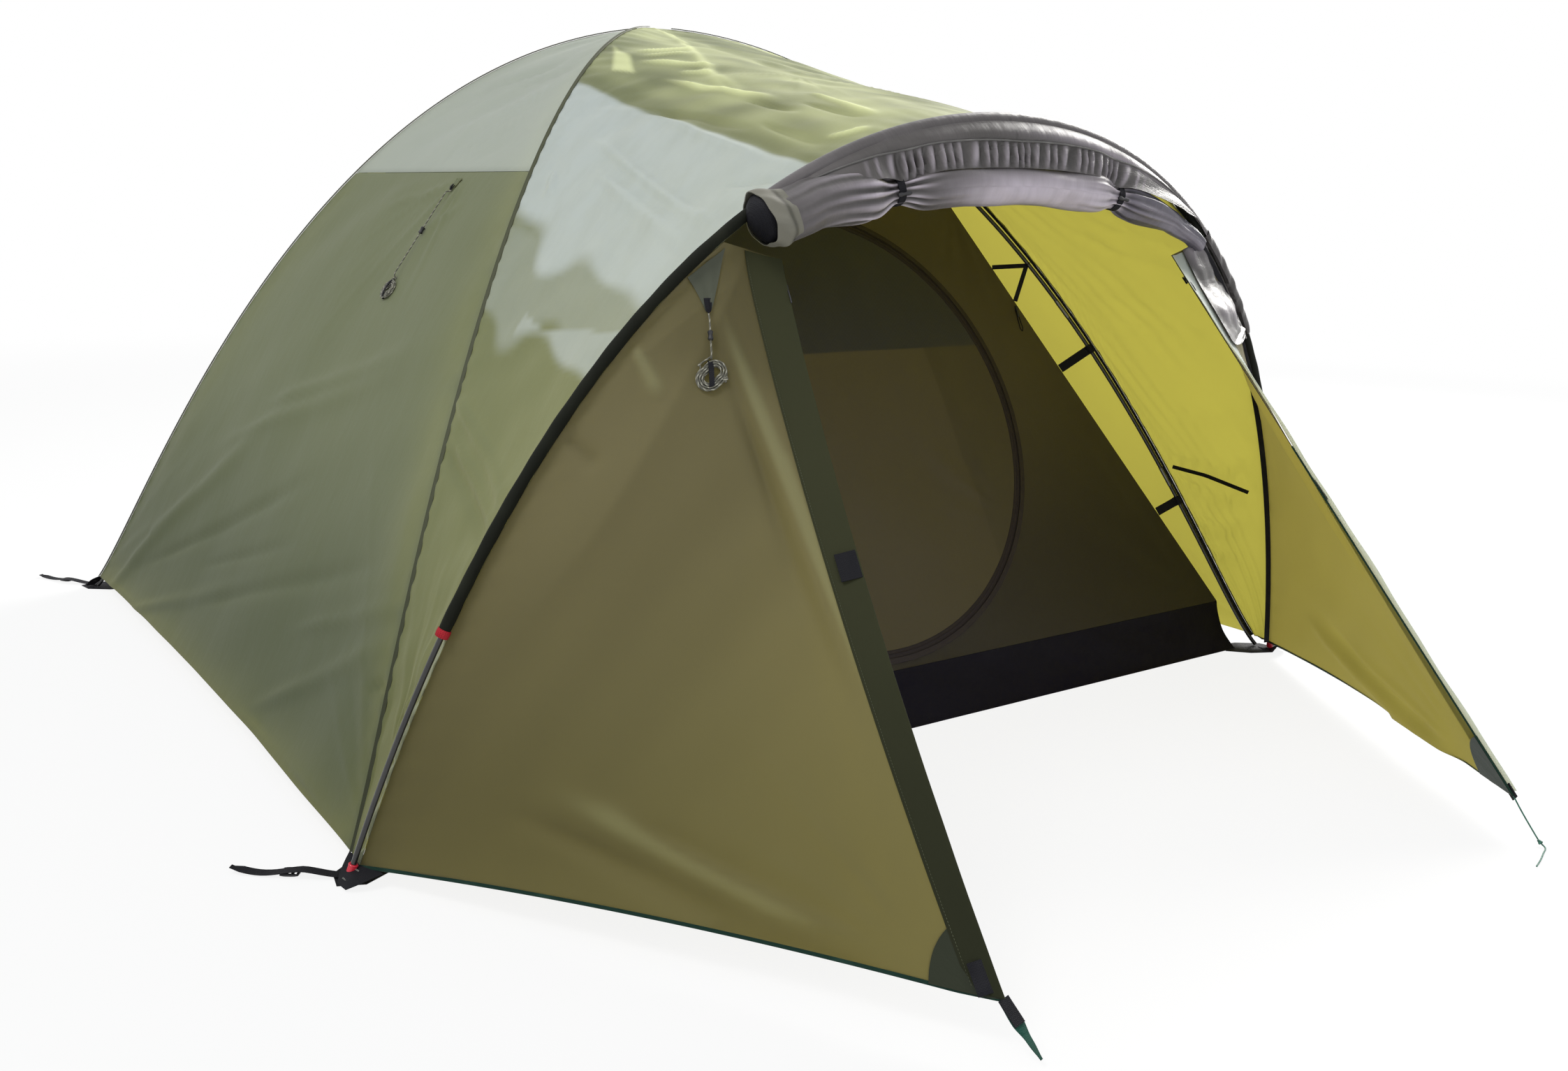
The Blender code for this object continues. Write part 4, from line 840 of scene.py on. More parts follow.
wall_foot = (tray_corner(FRONT_LEFT) + tray_corner(FRONT_RIGHT)) / 2
wall_top = (knee(FRONT_LEFT) + knee(FRONT_RIGHT)) / 2
WALL_HEIGHT = np.linalg.norm(wall_top - wall_foot)
WALL_UP = (wall_top - wall_foot) / WALL_HEIGHT
WALL_OUT = np.array([0, -WALL_UP[2], WALL_UP[1]])
DOOR_X, DOOR_UP, DOOR_RADIUS = 0.04, WALL_HEIGHT * 0.48, WALL_HEIGHT * 0.45
DOOR_HINGE, ZIP_END = DOOR_RADIUS * 2 / 3, radians(128)


def on_wall(x, up, out=0.0):
    """Places of the front wall, across and up along its slope from the tray."""
    x, up, out = (np.asarray(a, float)[..., None] for a in (x, up, out))
    return wall_foot + x * [1, 0, 0] + up * WALL_UP + out * WALL_OUT


def doorway(turn, radius, hinge):
    """The doorway's reach from its middle at an angle: an arc closed by a straight side."""
    return np.minimum(radius, hinge / np.maximum(-np.cos(turn), 1e-6))


foot_half, top_half, top_up = (
    tray_corner(FRONT_RIGHT)[0] - 0.0007, knee(FRONT_RIGHT)[0] - 0.0007, WALL_HEIGHT - 0.0007
)
outline = (
    np.array([(-foot_half, 0), (foot_half, 0), (top_half, top_up), (-top_half, top_up)]) - [DOOR_X, DOOR_UP]
)
hinge_turn = acos(-2 / 3)
turns = np.r_[
    np.linspace(-pi, pi, 240, endpoint=False), np.arctan2(outline[:, 1], outline[:, 0]), -hinge_turn,
    hinge_turn,
]
turns = np.unique(np.round(turns, 6))
ways = np.stack([np.cos(turns), np.sin(turns)], -1)
reach = np.full(len(turns), 9.0)
for a, b in zip(outline, np.roll(outline, -1, 0)):
    side = np.array([(b - a)[1], -(b - a)[0]])
    along_it = ways @ side
    reach = np.where(along_it > 1e-9, np.minimum(reach, (a @ side) / np.maximum(along_it, 1e-9)), reach)
hole = doorway(turns, DOOR_RADIUS + 0.0083, DOOR_HINGE + 0.0009)
share = np.linspace(0, 1, 26)[:, None]
reach = hole + (reach - hole) * share
x, up = DOOR_X + reach * ways[:, 0], DOOR_UP + reach * ways[:, 1]
lift = creases(
    x, up,
    fan(21, (-0.9, 0.02), 0.9, 1.1, 6, 0.8, 0.02, 0.004) +
        fan(22, (0.9, 0.02), pi - 0.9, 1.1, 6, 0.8, 0.02, 0.004),
)
lift += (
    creases(x, up, fan(23, (0.5, 0.95), -1.9, 0.9, 5, 0.5, 0.016, 0.003)) + waves(24, x, up, ((0.3, 0.002),))
)
grid = on_wall(x, up, lift * (np.sin(pi * share) ** 0.6))
cloth(
    "inner_front_cloth", grid, INNER, wraps=True,
    replaces=["inner_wall_front"],
)

reach = doorway(turns, DOOR_RADIUS - 0.0083, DOOR_HINGE)
share = np.linspace(0.01, 1, 32)[:, None]
x, up = DOOR_X + reach * share * ways[:, 0], DOOR_UP + reach * share * ways[:, 1]
lift = (
    creases(
        x, up,
        fan(31, (-0.26, 0.75), -0.5, 1.2, 6, 0.5, 0.02, 0.003) +
            fan(32, (0.40, 0.25), 2.3, 1.0, 5, 0.5, 0.02, 0.003),
    )
    + waves(33, x, up, ((0.35, 0.003), (0.12, 0.0008)))
)
grid = on_wall(x, up, lift * (1 - share ** 6))
cloth(
    "inner_door_panel", grid, INNER_DOOR, wraps=True, middle=True, body="inner_door",
    replaces=["inner_door"],
)

# Door zip: two tapes with a nylon coil between them, sewn round the doorway, and a slider with a
# cord puller. A toggle beside the doorway holds the opened door in its loop.


def zip_tape():
    """Herringbone tape, wine-coloured near the coil."""
    f = Finish("zip_maroon")
    u, v, _ = f.parts(f.uv())
    rows = ((u * (tau / 0.0022)).sine() * 1.2 + v * (tau / 0.0012)).sine() * 0.5 + 0.5
    fuzz = f.noise(f.place(), 300.0, 2)
    return f.done(f.shell(
        Base_Color=f.blend(rows * 0.5, (0.009, 0.0022, 0.0034), (0.004, 0.001, 0.002)),
        Roughness=fuzz * 0.2 + 0.6,
        Normal=f.bump(rows, 0.0003, 0.7),
    ))


ZIP = zip_tape()
COIL = moulded("zip_coil", (0.008, 0.002, 0.003), 0.4)
ZIP_ARC = np.linspace(-ZIP_END, ZIP_END, 300)


def round_door(radius, out):
    """A line round the doorway, along the zip."""
    radius = np.asarray(radius, float)[..., None]
    return on_wall(DOOR_X + radius * np.cos(ZIP_ARC), DOOR_UP + radius * np.sin(ZIP_ARC), out)


radii = DOOR_RADIUS + np.array([-0.008, -0.0045, -0.0015, 0.0015, 0.0045, 0.008])
grid = round_door(radii, 0.0002 * np.array([0, 1, 3, 3, 1, 0])[:, None] + 0 * ZIP_ARC)
cloth(
    "zip_tapes", grid, ZIP,
    replaces=["door_zip"],
)
flap = tape(round_door(DOOR_RADIUS + 0.013, 0.0022), WALL_OUT, 0.011, 0.0009)
piece("zip_flap", flap, [ZIP])
stitches(
    "zip_teeth", round_door(DOOR_RADIUS, 0.0013), WALL_OUT, 0.0019, 0.0044, 0.0012, COIL, crosswise=True,
)
for k, radius in enumerate((DOOR_RADIUS - 0.0068, DOOR_RADIUS + 0.0068)):
    stitches(f"zip_stitches_{k}", round_door(radius, 0.0007), WALL_OUT, 0.0042, 0.0030, 0.0006, BLACK_TAPE)

PARKED = radians(-120)
across, way = np.array([cos(PARKED), sin(PARKED)]), np.array([-sin(PARKED), cos(PARKED)])
middle = np.array([DOOR_X, DOOR_UP]) + across * DOOR_RADIUS


def by_zip(a, b, out):
    """Places beside the slider: a across the zip and b along it."""
    at = middle + np.multiply.outer(a, across) + np.multiply.outer(b, way)
    return on_wall(at[..., 0], at[..., 1], out)


def mirrored(half):
    """A plate's outline from its right half, listed from its foot to its top."""
    (x, y), *_ = half
    return [(-x, y), *half, *((-x, y) for x, y in half[:0:-1] if x)]


outline = mirrored(
    ((0.0035, -0.007), (0.0050, -0.004), (0.0038, 0.001), (0.0050, 0.007), (0.0015, 0.0072), (0, 0.0045))
)
plates = []
for out, high in ((0.0013, 0.0009), (0.0030, 0.0010)):
    plates.append(
        slab([by_zip(a, b, out) for a, b in outline], WALL_OUT * high, by_zip(0, 1, 0) - by_zip(0, 0, 0))
    )
bridge = (-0.0055, 0.0035), (-0.003, 0.0048), (0.0, 0.0050), (0.003, 0.0046), (0.005, 0.0035)
plates.append(tube([by_zip(0, b, out) for b, out in bridge], 0.0008, 8))
plates.append(tube([by_zip(0, b, 0.0022) for b in (-0.003, 0.0, 0.0035)], 0.0013, 8))
pull = [
    by_zip(a, b, out)
    for a, b, out in (
        (0, -0.002, 0.0045), (-0.0012, -0.006, 0.0040), (-0.0030, -0.012, 0.0028), (-0.0034, -0.020, 0.0026),
        (-0.0030, -0.028, 0.0026),
    )
]
plates.append(
    tube(
        along(np.array(pull), 24),
        np.r_[np.full(13, 0.0008), np.linspace(0.0010, 0.0019, 4), np.full(6, 0.0020), 0.0012], 10,
    )
)
piece(
    "zip_slider", joined(*plates), [BLACK_PLASTIC], body="door_zip_slider", sharp=35,
    replaces=["door_zip_slider"],
)

TOGGLE = (
    (0, 0.0016), (0.0012, 0.0027), (0.004, 0.0034), (0.008, 0.0030), (0.0115, 0.0024), (0.013, 0.0023),
    (0.0145, 0.0024), (0.018, 0.0030), (0.022, 0.0034), (0.0248, 0.0027), (0.026, 0.0016)
)
TIE_SHARE = 0.72
tie_x, tie_up = foot_half + (top_half - foot_half) * TIE_SHARE - 0.0082, top_up * TIE_SHARE
bar = np.array([on_wall(tie_x, tie_up - d, 0.0043) for d, _ in TOGGLE])
piece(
    "tieback_toggle", tube(bar, [r for _, r in TOGGLE], 14), [BLACK_PLASTIC], body="door_tieback",
    sharp=40, replaces=["door_tieback"],
)
LOOP = (
    (0.002, -0.008, 0.0012), (0.0035, -0.03, 0.0016), (0.005, -0.052, 0.0016), (0.001, -0.060, 0.0018),
    (-0.003, -0.052, 0.0016), (-0.0025, -0.03, 0.0016), (-0.001, -0.008, 0.0012)
)
loop = np.array([on_wall(tie_x + a, tie_up + b, out) for a, b, out in LOOP])
piece("tieback_loop", tube(along(loop, 40), 0.0010, 8), [BLACK_TAPE])

# Pole hooks: moulded clips that snap round the front poles, each sewn to the inner tent's corner seam
# with a short webbing tab, and above them a V of webbing that spreads the pull over the seam.


def hung_from(corner, height):
    """The pole's place at a height, its direction, and the way and distance to the corner seam."""
    line = dome_lines[corner]
    i = next(i for i in range(len(line)) if line[i][2] > height)
    pole = line[i - 1] + (line[i] - line[i - 1]) * (height - line[i - 1][2]) / (line[i][2] - line[i - 1][2])
    way = unit(line[i] - line[i - 1])
    seam = unit(knee(corner) - tray_corner(corner))
    towards = tray_corner(corner) + seam * (pole - tray_corner(corner)).dot(seam) - pole
    towards -= way * towards.dot(way)
    return pole, way, unit(towards), np.linalg.norm(towards), seam


for corner, word in ((FRONT_LEFT, "left"), (FRONT_RIGHT, "right")):
    for level, height in (("lower", KNEE * 0.33), ("upper", KNEE * 0.66)):
        pole_at, way, towards, distance, _ = hung_from(corner, height)
        side = np.cross(way, towards)
        outline = []
        for radius, angles in ((0.0052, np.linspace(-2.42, 2.42, 23)), (0.0070, np.linspace(2.42, 0.32, 12))):
            outline += [pole_at + (towards * cos(a) + side * sin(a)) * radius for a in angles]
        outline += [pole_at + towards * d + side * h for d, h in ((0.0095, 0.0022), (0.0095, -0.0022))]
        outline += [
            pole_at + (towards * cos(a) + side * sin(a)) * 0.0070
            for a in np.linspace(-0.32, -2.42, 12)
        ]
        clip = slab([p - way * 0.0095 for p in outline], way * 0.019, way)
        strap = tape(
            [pole_at + towards * d for d in np.linspace(0.0075, distance - 0.0012, 8)], side, 0.0195, 0.0016,
        )
        piece(
            f"clip_{level}_{word}", joined(clip, strap), [BLACK_TAPE], sharp=40,
            replaces=[f"pole_hook_{level}_{word}"],
        )
    pole_at, way, towards, distance, seam = hung_from(corner, KNEE * 0.84)
    foot = pole_at + towards * (distance - 0.0012)
    side = unit(np.cross(way, towards))
    top = pole_at + towards * 0.0048
    legs = [
        tape(along(np.array([top, foot + seam * 0.045 * k]), 12), side + towards * 0.001, 0.0095, 0.0014)
        for k in (-1, 1)
    ]
    round_pole = np.linspace(0.35, tau - 0.35, 20)
    ring = [pole_at + (towards * cos(a) + way * 0.15 * sin(a) + side * sin(a)) * 0.0052 for a in round_pole]
    ring = tube(ring, 0.0009, 8)
    piece(
        f"vee_strap_{word}", joined(*legs, ring), [BLACK_TAPE], sharp=40,
        replaces=[f"v_strap_{word}"],
    )

# Flysheet: a sage roof, three olive sides and a front that runs out to the hoop, of thin coated
# polyester that lets yellow light through. The seams run over the poles, felled flat and taped.

HEM_HEIGHT, HEM_RISE, RIDGE_STANDOFF, SEAM = 0.022, 0.013, 0.0095, 0.0007
HEM = share_where(lambda s: dome((1, 1), s)[2] - HEM_HEIGHT)
HEM_MIDDLE = share_where(lambda s: dome((1, 1), s)[2] - HEM_HEIGHT - HEM_RISE)
ROOF_SEAM = share_where(lambda s: dome((1, 1), s)[2] - DOME_HEIGHT * 0.761)
HOOP_HEM = share_where(lambda s: hoop(1, s)[2] - HEM_HEIGHT)
HOOP_SEAM_IN = 0.009 + 0.0006 + 0.0005
# Colours of painted light: SHEEN for a painted pale sheen, GLOW for painted light shining through the cloth.
SHEEN, GLOW = (0.50, 0.56, 0.56), (0.80, 0.85, 0.46)


def fly_cloth(name, deep, pale, through, behind, rough=0.50):
    """Thin coated polyester: tiny weave, slow fading, darker towards the bottom, painted shade where the mark for
    folds and shade says, a painted pale sheen where the mark called sheen says, and a painted yellow-green glow where
    the mark called glow says.
    """
    f = Finish(name)
    slow, fine = f.noise(f.place(), 1.7, 3, 0.55), f.noise(f.place(), 420.0, 2)
    crush = f.noise(f.stretched(f.uv(), (14, 5, 1), (0, 0, 0.5)), 1.0, 5, 0.6)
    dirt = f.noise(f.place(), 7.0, 4, 0.6).step(0.55, 0.8)
    shine, fold, glow = f.mark("sheen"), f.mark("fold"), f.mark("glow")
    low = f.parts(f.place())[2].step(0.10, 0.64, 0.85, 0.0)
    colour = f.blend((slow * 1.1 - 0.05) * 0.8, deep, pale)
    colour = f.blend(low, colour, (deep[0] * 0.52, deep[1] * 0.55, deep[2] * 0.50))
    colour = f.blend(dirt * 0.12 + fine * 0.08, colour, tuple(c * 0.6 for c in deep))
    # Painted shade: darker where the mark for folds and shade says. Painted sheen and painted glow: paler where their
    # marks say.
    colour = f.blend(fold, colour, tuple(c * 0.45 for c in deep))
    colour = f.blend(shine * (crush * 0.5 + 0.70), colour, SHEEN)
    colour = f.blend(glow, colour, GLOW)
    surface = f.shell(
        Base_Color=colour, Roughness=fine * 0.12 - shine * 0.12 + rough, Sheen_Weight=0.10,
        Sheen_Roughness=0.4,
        Specular_IOR_Level=0.22, Normal=f.bump(weave(f, 0.0012), 0.00010, 0.4, f.bump(crush, 0.010, 0.25)),
    )
    return f.done(f.through(through, surface, behind))


OLIVE = fly_cloth("fly_olive", (0.140, 0.166, 0.086), (0.208, 0.230, 0.130), 0.22, (0.85, 0.80, 0.34))
SAGE = fly_cloth("fly_sage", (0.40, 0.445, 0.38), (0.50, 0.54, 0.48), 0.25, (0.80, 0.85, 0.70), rough=0.42)
# The fly's inner face: its bright yellow base colour is painted light coming through the cloth, on top of its real
# translucency.
LINING_PAINTED_GLOW = fly_cloth("fly_lining_painted_glow", (0.44, 0.40, 0.075), (0.54, 0.49, 0.10), 0.74, (1.0, 0.96, 0.38))


def ridge(corner, share, out=RIDGE_STANDOFF):
    """The fly's seam over a dome pole."""
    return dome(corner, share, out)


def hoop_beside(share):
    """The hoop's share that the front panel joins to a share of the ridge."""
    return HOOP_HEM + (1 - HOOP_HEM) * (share - HEM) / (1 - HEM)


def hoop_seam(side, share):
    """The seam under the hoop's sleeve."""
    return hoop(side, share, -HOOP_SEAM_IN)


def draw_in(grid, first_row=0, last_row=0, first=0, last=0):
    """The panel's edges drawn in by their seam allowances."""
    made = grid.copy()
    if first_row:
        made[0] += unit(grid[1] - grid[0]) * first_row
    if last_row:
        made[-1] += unit(grid[-2] - grid[-1]) * last_row
    made[:, 0] += unit(grid[:, 1] - grid[:, 0]) * first
    made[:, -1] += unit(grid[:, -2] - grid[:, -1]) * last
    return made


def ease(x):
    """From 0 at 0 to 1 at 1, smooth at both ends."""
    x = np.clip(x, 0, 1)
    return x * x * (3 - 2 * x)


def edge_fade(rows, columns, wide=(0.06, 0.06)):
    """0 on the panel's edges, rising to 1 inside, so that seams stay where they are sewn."""
    s, t = np.meshgrid(np.linspace(0, 1, columns), np.linspace(0, 1, rows))
    return ease(np.minimum(s, 1 - s) / wide[0]) * ease(np.minimum(t, 1 - t) / wide[1])


def pucker(v, edge, pitch, high, reach, seed):
    """The small gathers that a seam leaves in the cloth beside it."""
    dice = np.random.default_rng(seed)
    phase = np.cumsum(dice.uniform(0.6, 1.4, 4000)) * 0.5
    beat = np.interp(v / pitch * 10, np.arange(4000), phase)
    return high * np.sin(beat * tau / 5) * np.exp(-edge / reach) * (1 - np.exp(-edge / 0.004))


side_columns, side_rows = 160, 112
u01 = np.linspace(0, 1, side_columns)
shares = np.linspace(HEM, ROOF_SEAM, side_rows)
GUY_U = -0.19
side_pulls = {
    "left": (
        fan(41, (-0.92, 0.03), 0.85, 0.9, 5, 1.1, 0.020, 0.0020)
        + fan(42, (0.93, 0.03), pi - 0.75, 1.0, 6, 1.2, 0.020, 0.0025)
    )
    + fan(43, (GUY_U, 1.12), -0.95, 1.5, 9, 0.55, 0.009, 0.0030),
    "back": (
        fan(44, (-0.98, 0.03), 0.8, 0.9, 9, 1.1, 0.017, 0.005)
        + fan(45, (0.98, 0.03), pi - 0.8, 0.9, 9, 1.1, 0.017, 0.005)
        + fan(46, (0.0, 1.12), -pi / 2, 1.6, 9, 0.5, 0.010, 0.003)
    ),
    "right": (
        fan(47, (-0.92, 0.03), 0.8, 0.9, 9, 1.1, 0.017, 0.0045)
        + fan(48, (0.92, 0.03), pi - 0.8, 0.9, 9, 1.1, 0.017, 0.0045)
        + fan(49, (0.0, 1.12), -pi / 2, 1.5, 7, 0.4, 0.010, 0.0025)
    ),
}
LEFT_FOLDS = [
    (0.024, 0.009, (-1.02, 0.75, 0.06), (-0.941, 0.518, 0.25), (-0.845, 0.215, 0.462)),
    (0.016, -0.008, (-0.98, 0.512, 0.16), (-0.869, -0.108, 0.411)),
    (0.012, -0.006, (-0.958, 0.191, 0.212), (-0.911, -0.175, 0.317)),
    (0.016, -0.007, (-0.979, 0.073, 0.164), (-0.892, -0.567, 0.362)),
    (0.014, 0.006, (-0.952, -0.399, 0.225), (-0.905, -0.733, 0.332)),
    (0.020, 0.007, (-0.848, 0.31, 0.456), (-0.756, -0.313, 0.639)),
    (0.018, 0.007, (-0.801, 0.151, 0.551), (-0.732, -0.343, 0.681)),
    (0.010, 0.004, (-0.564, 0.07, 0.943), (-0.542, -0.118, 0.972)),
    (0.010, 0.004, (-0.595, -0.151, 0.902), (-0.567, -0.241, 0.94)),
    (0.016, 0.006, (-1.03, 0.506, 0.046), (-0.961, -0.003, 0.204)),
    (0.018, 0.007, (-1.01, -0.378, 0.096), (-0.932, -0.738, 0.272)),
    (0.009, -0.005, (-0.955, -0.77, 0.222), (-0.93, -0.84, 0.25)),
]
for word, first, second in WALLS:
    rows = []
    for i, share in enumerate(shares):
        lift = (HEM_MIDDLE - HEM) * 4 * u01 * (1 - u01) * (1 - i / (side_rows - 1))
        a, b = ridge(first, share + lift), ridge(second, share + lift)
        rows.append(a + (b - a) * u01[:, None])
    grid = draw_in(np.array(rows), 0, SEAM, SEAM, SEAM)
    u, v = lengths(grid)
    fade = edge_fade(side_rows, side_columns, (0.05, 0.04))
    side_fade = ease(np.minimum(u01, 1 - u01) / 0.05)[None, :]
    t = np.linspace(0, 1, side_rows)[:, None]
    sag = 0.010 * np.sin(pi * u01)[None, :] * np.sin(pi * t ** 0.8)
    height = (
        (creases(u, v, side_pulls[word]) + waves(50, u, v, ((0.55, 0.004), (0.20, 0.0010))))
        * np.maximum(fade, 0.5 * side_fade * (t < 0.5))
    )
    edge = np.minimum(u01, 1 - u01)[None, :] * np.ptp(u, axis=1)[:, None]
    height = height - sag + pucker(v, edge, 0.05, 0.0016, 0.03, 51)
    if word == "left":
        height += folds(grid, LEFT_FOLDS) * ease(edge / 0.02)
    grid = grid + grid_normals(grid) * height[..., None]
    if word == "left":
        fly_left = grid
    fold = 0.5 * np.exp(-(v / 0.012) ** 2)
    cloth(
        f"fly_{word}_panel", grid, OLIVE, LINING_PAINTED_GLOW, marks={"sheen": np.zeros_like(u), "fold": fold},
        replaces=[f"fly_side_{word}"],
    )

ROOF_ROWS, BAY = 48, 64
rows = []
for share in np.linspace(ROOF_SEAM, 1, ROOF_ROWS):
    row = []
    for _, first, second in WALLS:
        a, b = ridge(first, share), ridge(second, share)
        row += [a + (b - a) * s for s in np.linspace(0, 1, BAY, endpoint=False)]
    rows.append(row + [ridge(FRONT_RIGHT, share)])
grid = np.array(rows)
grid[0] += unit(grid[1] - grid[0]) * SEAM
grid[:-1, 0] += unit(grid[:-1, 1] - grid[:-1, 0]) * SEAM
grid[:-1, -1] += unit(grid[:-1, -2] - grid[:-1, -1]) * SEAM
u, v = lengths(grid)
bay = (np.arange(grid.shape[1]) % BAY) / BAY
t = np.linspace(0, 1, ROOF_ROWS)[:, None]
shape = (np.abs(np.sin(pi * bay)) ** 0.8)[None, :] * ease(t / 0.12) * ease((1 - t) / 0.25)
height = (waves(61, u, v, ((0.45, 0.004), (0.16, 0.0016))) - 0.005) * shape
ROOF_FOLDS = [
    (0.012, -0.006, (-0.512, -0.062, 1.01), (-0.476, -0.221, 1.05)),
    (0.010, -0.006, (-0.319, 0.082, 1.2), (-0.265, -0.07, 1.24)),
    (0.010, -0.006, (-0.327, -0.022, 1.19), (-0.288, -0.196, 1.22)),
]
height += folds(grid, ROOF_FOLDS) * shape
height += (
    creases(
        u, v,
        fan(62, (u[0, 32], 0), 1.6, 1.9, 8, 0.40, 0.010, 0.003) +
            fan(63, (u[0, 96], 0), 1.6, 1.9, 8, 0.40, 0.010, 0.003),
    )
    * shape
)
grid[:-1] = (grid + grid_normals(grid) * height[..., None])[:-1]
# Painted highlights: pale streaks fanning across the roof.
painted_streaks = np.clip(creases(u, v, fan(64, (u[0, 40], 0.30), -1.3, 1.4, 7, 0.40, 0.010, 1.0)), 0, 1) * 0.5
cloth(
    "fly_roof_panel", grid, SAGE, LINING_PAINTED_GLOW,
    marks={"sheen": painted_streaks * shape, "fold": 0.35 * np.exp(-(v / 0.006) ** 2)},
    replaces=["fly_roof"],
)

FRONT_COLUMNS, rows = 112, []
left_shares = np.r_[np.linspace(HEM, ROOF_SEAM, 120), np.linspace(ROOF_SEAM, 1, 96)[1:]]
right_shares = np.r_[np.linspace(1, ROOF_SEAM, 50)[1:], np.linspace(ROOF_SEAM, HEM, 64)[1:]]
for side, run in ((-1, left_shares), (1, right_shares)):
    for share in run:
        a, b = ridge((side, -1), share), hoop_seam(side, hoop_beside(share))
        rows.append(b + (a - b) * np.linspace(0, 1, FRONT_COLUMNS)[:, None])
grid = draw_in(np.array(rows), 0, 0, SEAM, SEAM)
u, v = lengths(grid)
top = v[:, FRONT_COLUMNS // 2][len(left_shares) - 1]
s01 = np.linspace(0, 1, FRONT_COLUMNS)[None, :] * np.ones((len(grid), 1))
fade = ease(np.minimum(s01, 1 - s01) / 0.10)
x, y, z = grid[..., 0], grid[..., 1], grid[..., 2]
sag = 0.012 * np.sin(pi * s01) * ease((z - 0.1) / 0.5)
PLEATS = [
    (0.011, 0.0050, (-0.196, -0.288, 1.25), (-0.106, -0.308, 1.26)),
    (0.011, 0.0050, (-0.205, -0.322, 1.24), (-0.136, -0.358, 1.24)),
    (0.012, 0.0060, (-0.221, -0.358, 1.22), (-0.156, -0.467, 1.22)),
    (0.011, 0.0050, (-0.211, -0.462, 1.2), (-0.177, -0.502, 1.2)),
    (0.010, 0.0065, (-0.246, -0.501, 1.18), (-0.209, -0.719, 1.15)),
    (0.009, 0.006, (-0.259, -0.98, 1.07), (-0.215, -1.01, 1.08)),
    (0.009, 0.006, (-0.128, -0.764, 1.15), (-0.147, -0.935, 1.11)),
    (0.011, 0.003, (-0.026, -0.057, 1.313), (-0.053, -0.186, 1.285), (-0.182, -0.514, 1.2), (-0.196, -0.603, 1.176)),
]
STREAKS = [
    (0.012, 0.007, (-0.35, -0.612, 1.11), (-0.36, -0.774, 1.07), (-0.361, -0.918, 1.04)),
    (0.012, 0.008, (-0.445, -0.594, 1.05), (-0.507, -1.04, 0.922)),
    (0.018, 0.008, (-0.486, -0.659, 1), (-0.539, -1.02, 0.899)),
    (0.010, 0.006, (-0.506, -0.515, 1.0), (-0.53, -0.55, 0.97)),
]
FOLDS = [
    (0.010, -0.007, (-0.346, -0.56, 1.12), (-0.324, -0.659, 1.11), (-0.316, -0.799, 1.09)),
    (0.008, -0.0045, (-0.429, -0.958, 0.993), (-0.391, -1.04, 1)),
    (0.010, -0.006, (-0.181, -0.816, 1.13), (-0.169, -0.94, 1.11)),
    (0.010, -0.006, (-0.237, -0.719, 1.14), (-0.22, -0.826, 1.12)),
    (0.012, 0.008, (-0.761, -0.693, 0.629), (-0.823, -0.956, 0.535)),
    (0.014, -0.008, (-0.798, -0.728, 0.557), (-0.858, -0.965, 0.473)),
    (0.014, 0.007, (0.522, -0.81, 0.941), (0.537, -0.94, 0.91), (0.566, -1.02, 0.876)),
    (0.014, 0.007, (0.553, -0.754, 0.918), (0.581, -0.852, 0.877), (0.607, -0.974, 0.838)),
    (0.014, -0.005, (0.66, -0.734, 0.788), (0.65, -0.943, 0.791)),
    (0.016, 0.006, (0.701, -0.763, 0.727), (0.708, -0.981, 0.716)),
    (0.014, 0.009, (0.861, -0.788, 0.43), (0.872, -0.892, 0.426), (0.87, -0.98, 0.452)),
    (0.014, 0.009, (0.887, -0.792, 0.374), (0.901, -0.876, 0.359), (0.901, -0.955, 0.382)),
    (0.013, 0.008, (0.92, -0.80, 0.29), (0.934, -0.86, 0.277), (0.933, -0.934, 0.304)),
    (0.010, 0.006, (0.955, -0.82, 0.215), (0.966, -0.898, 0.211)),
    (0.014, 0.006, (0.811, -0.837, 0.541), (0.811, -0.978, 0.559)),
    (0.010, 0.006, (-0.787, -0.731, 0.578), (-0.834, -0.924, 0.508)),
    (0.010, -0.005, (-0.29, -0.853, 1.09), (-0.287, -0.982, 1.06)),
]
lines = (
    fan(71, (0.0, top + 0.02), pi / 2, 2.2, 13, 0.55, 0.009, 0.0030)
    + fan(72, (0.0, top - 0.02), -pi / 2, 2.2, 9, 0.40, 0.009, 0.0015)
)
lines += (
    fan(73, (0.35, top - 0.35), 2.6, 1.3, 8, 0.5, 0.012, 0.0015)
    + fan(76, (0.0, 0.15), 1.5, 0.8, 6, 0.8, 0.014, 0.003)
)
pleats, streaks = folds(grid, PLEATS), folds(grid, STREAKS)
height = (creases(u, v, lines) + waves(77, u, v, ((0.40, 0.003), (0.13, 0.0012)))) * fade - sag * fade
height += (pleats + streaks + folds(grid, FOLDS)) * ease(np.minimum(s01, 1 - s01) / 0.02)
height += pucker(v, np.minimum(s01, 1 - s01) * 0.5, 0.04, 0.0018, 0.03, 78) * ease((z - 0.05) / 0.2)
height += (
    0.0035 * np.sin(z * 150 + 3 * np.sin(z * 31)) * ease((0.42 - z) / 0.15) * ease(s01 / 0.1)
    * ease((0.6 - s01) / 0.3) * (x < 0)
)
grid = grid + grid_normals(grid) * height[..., None]
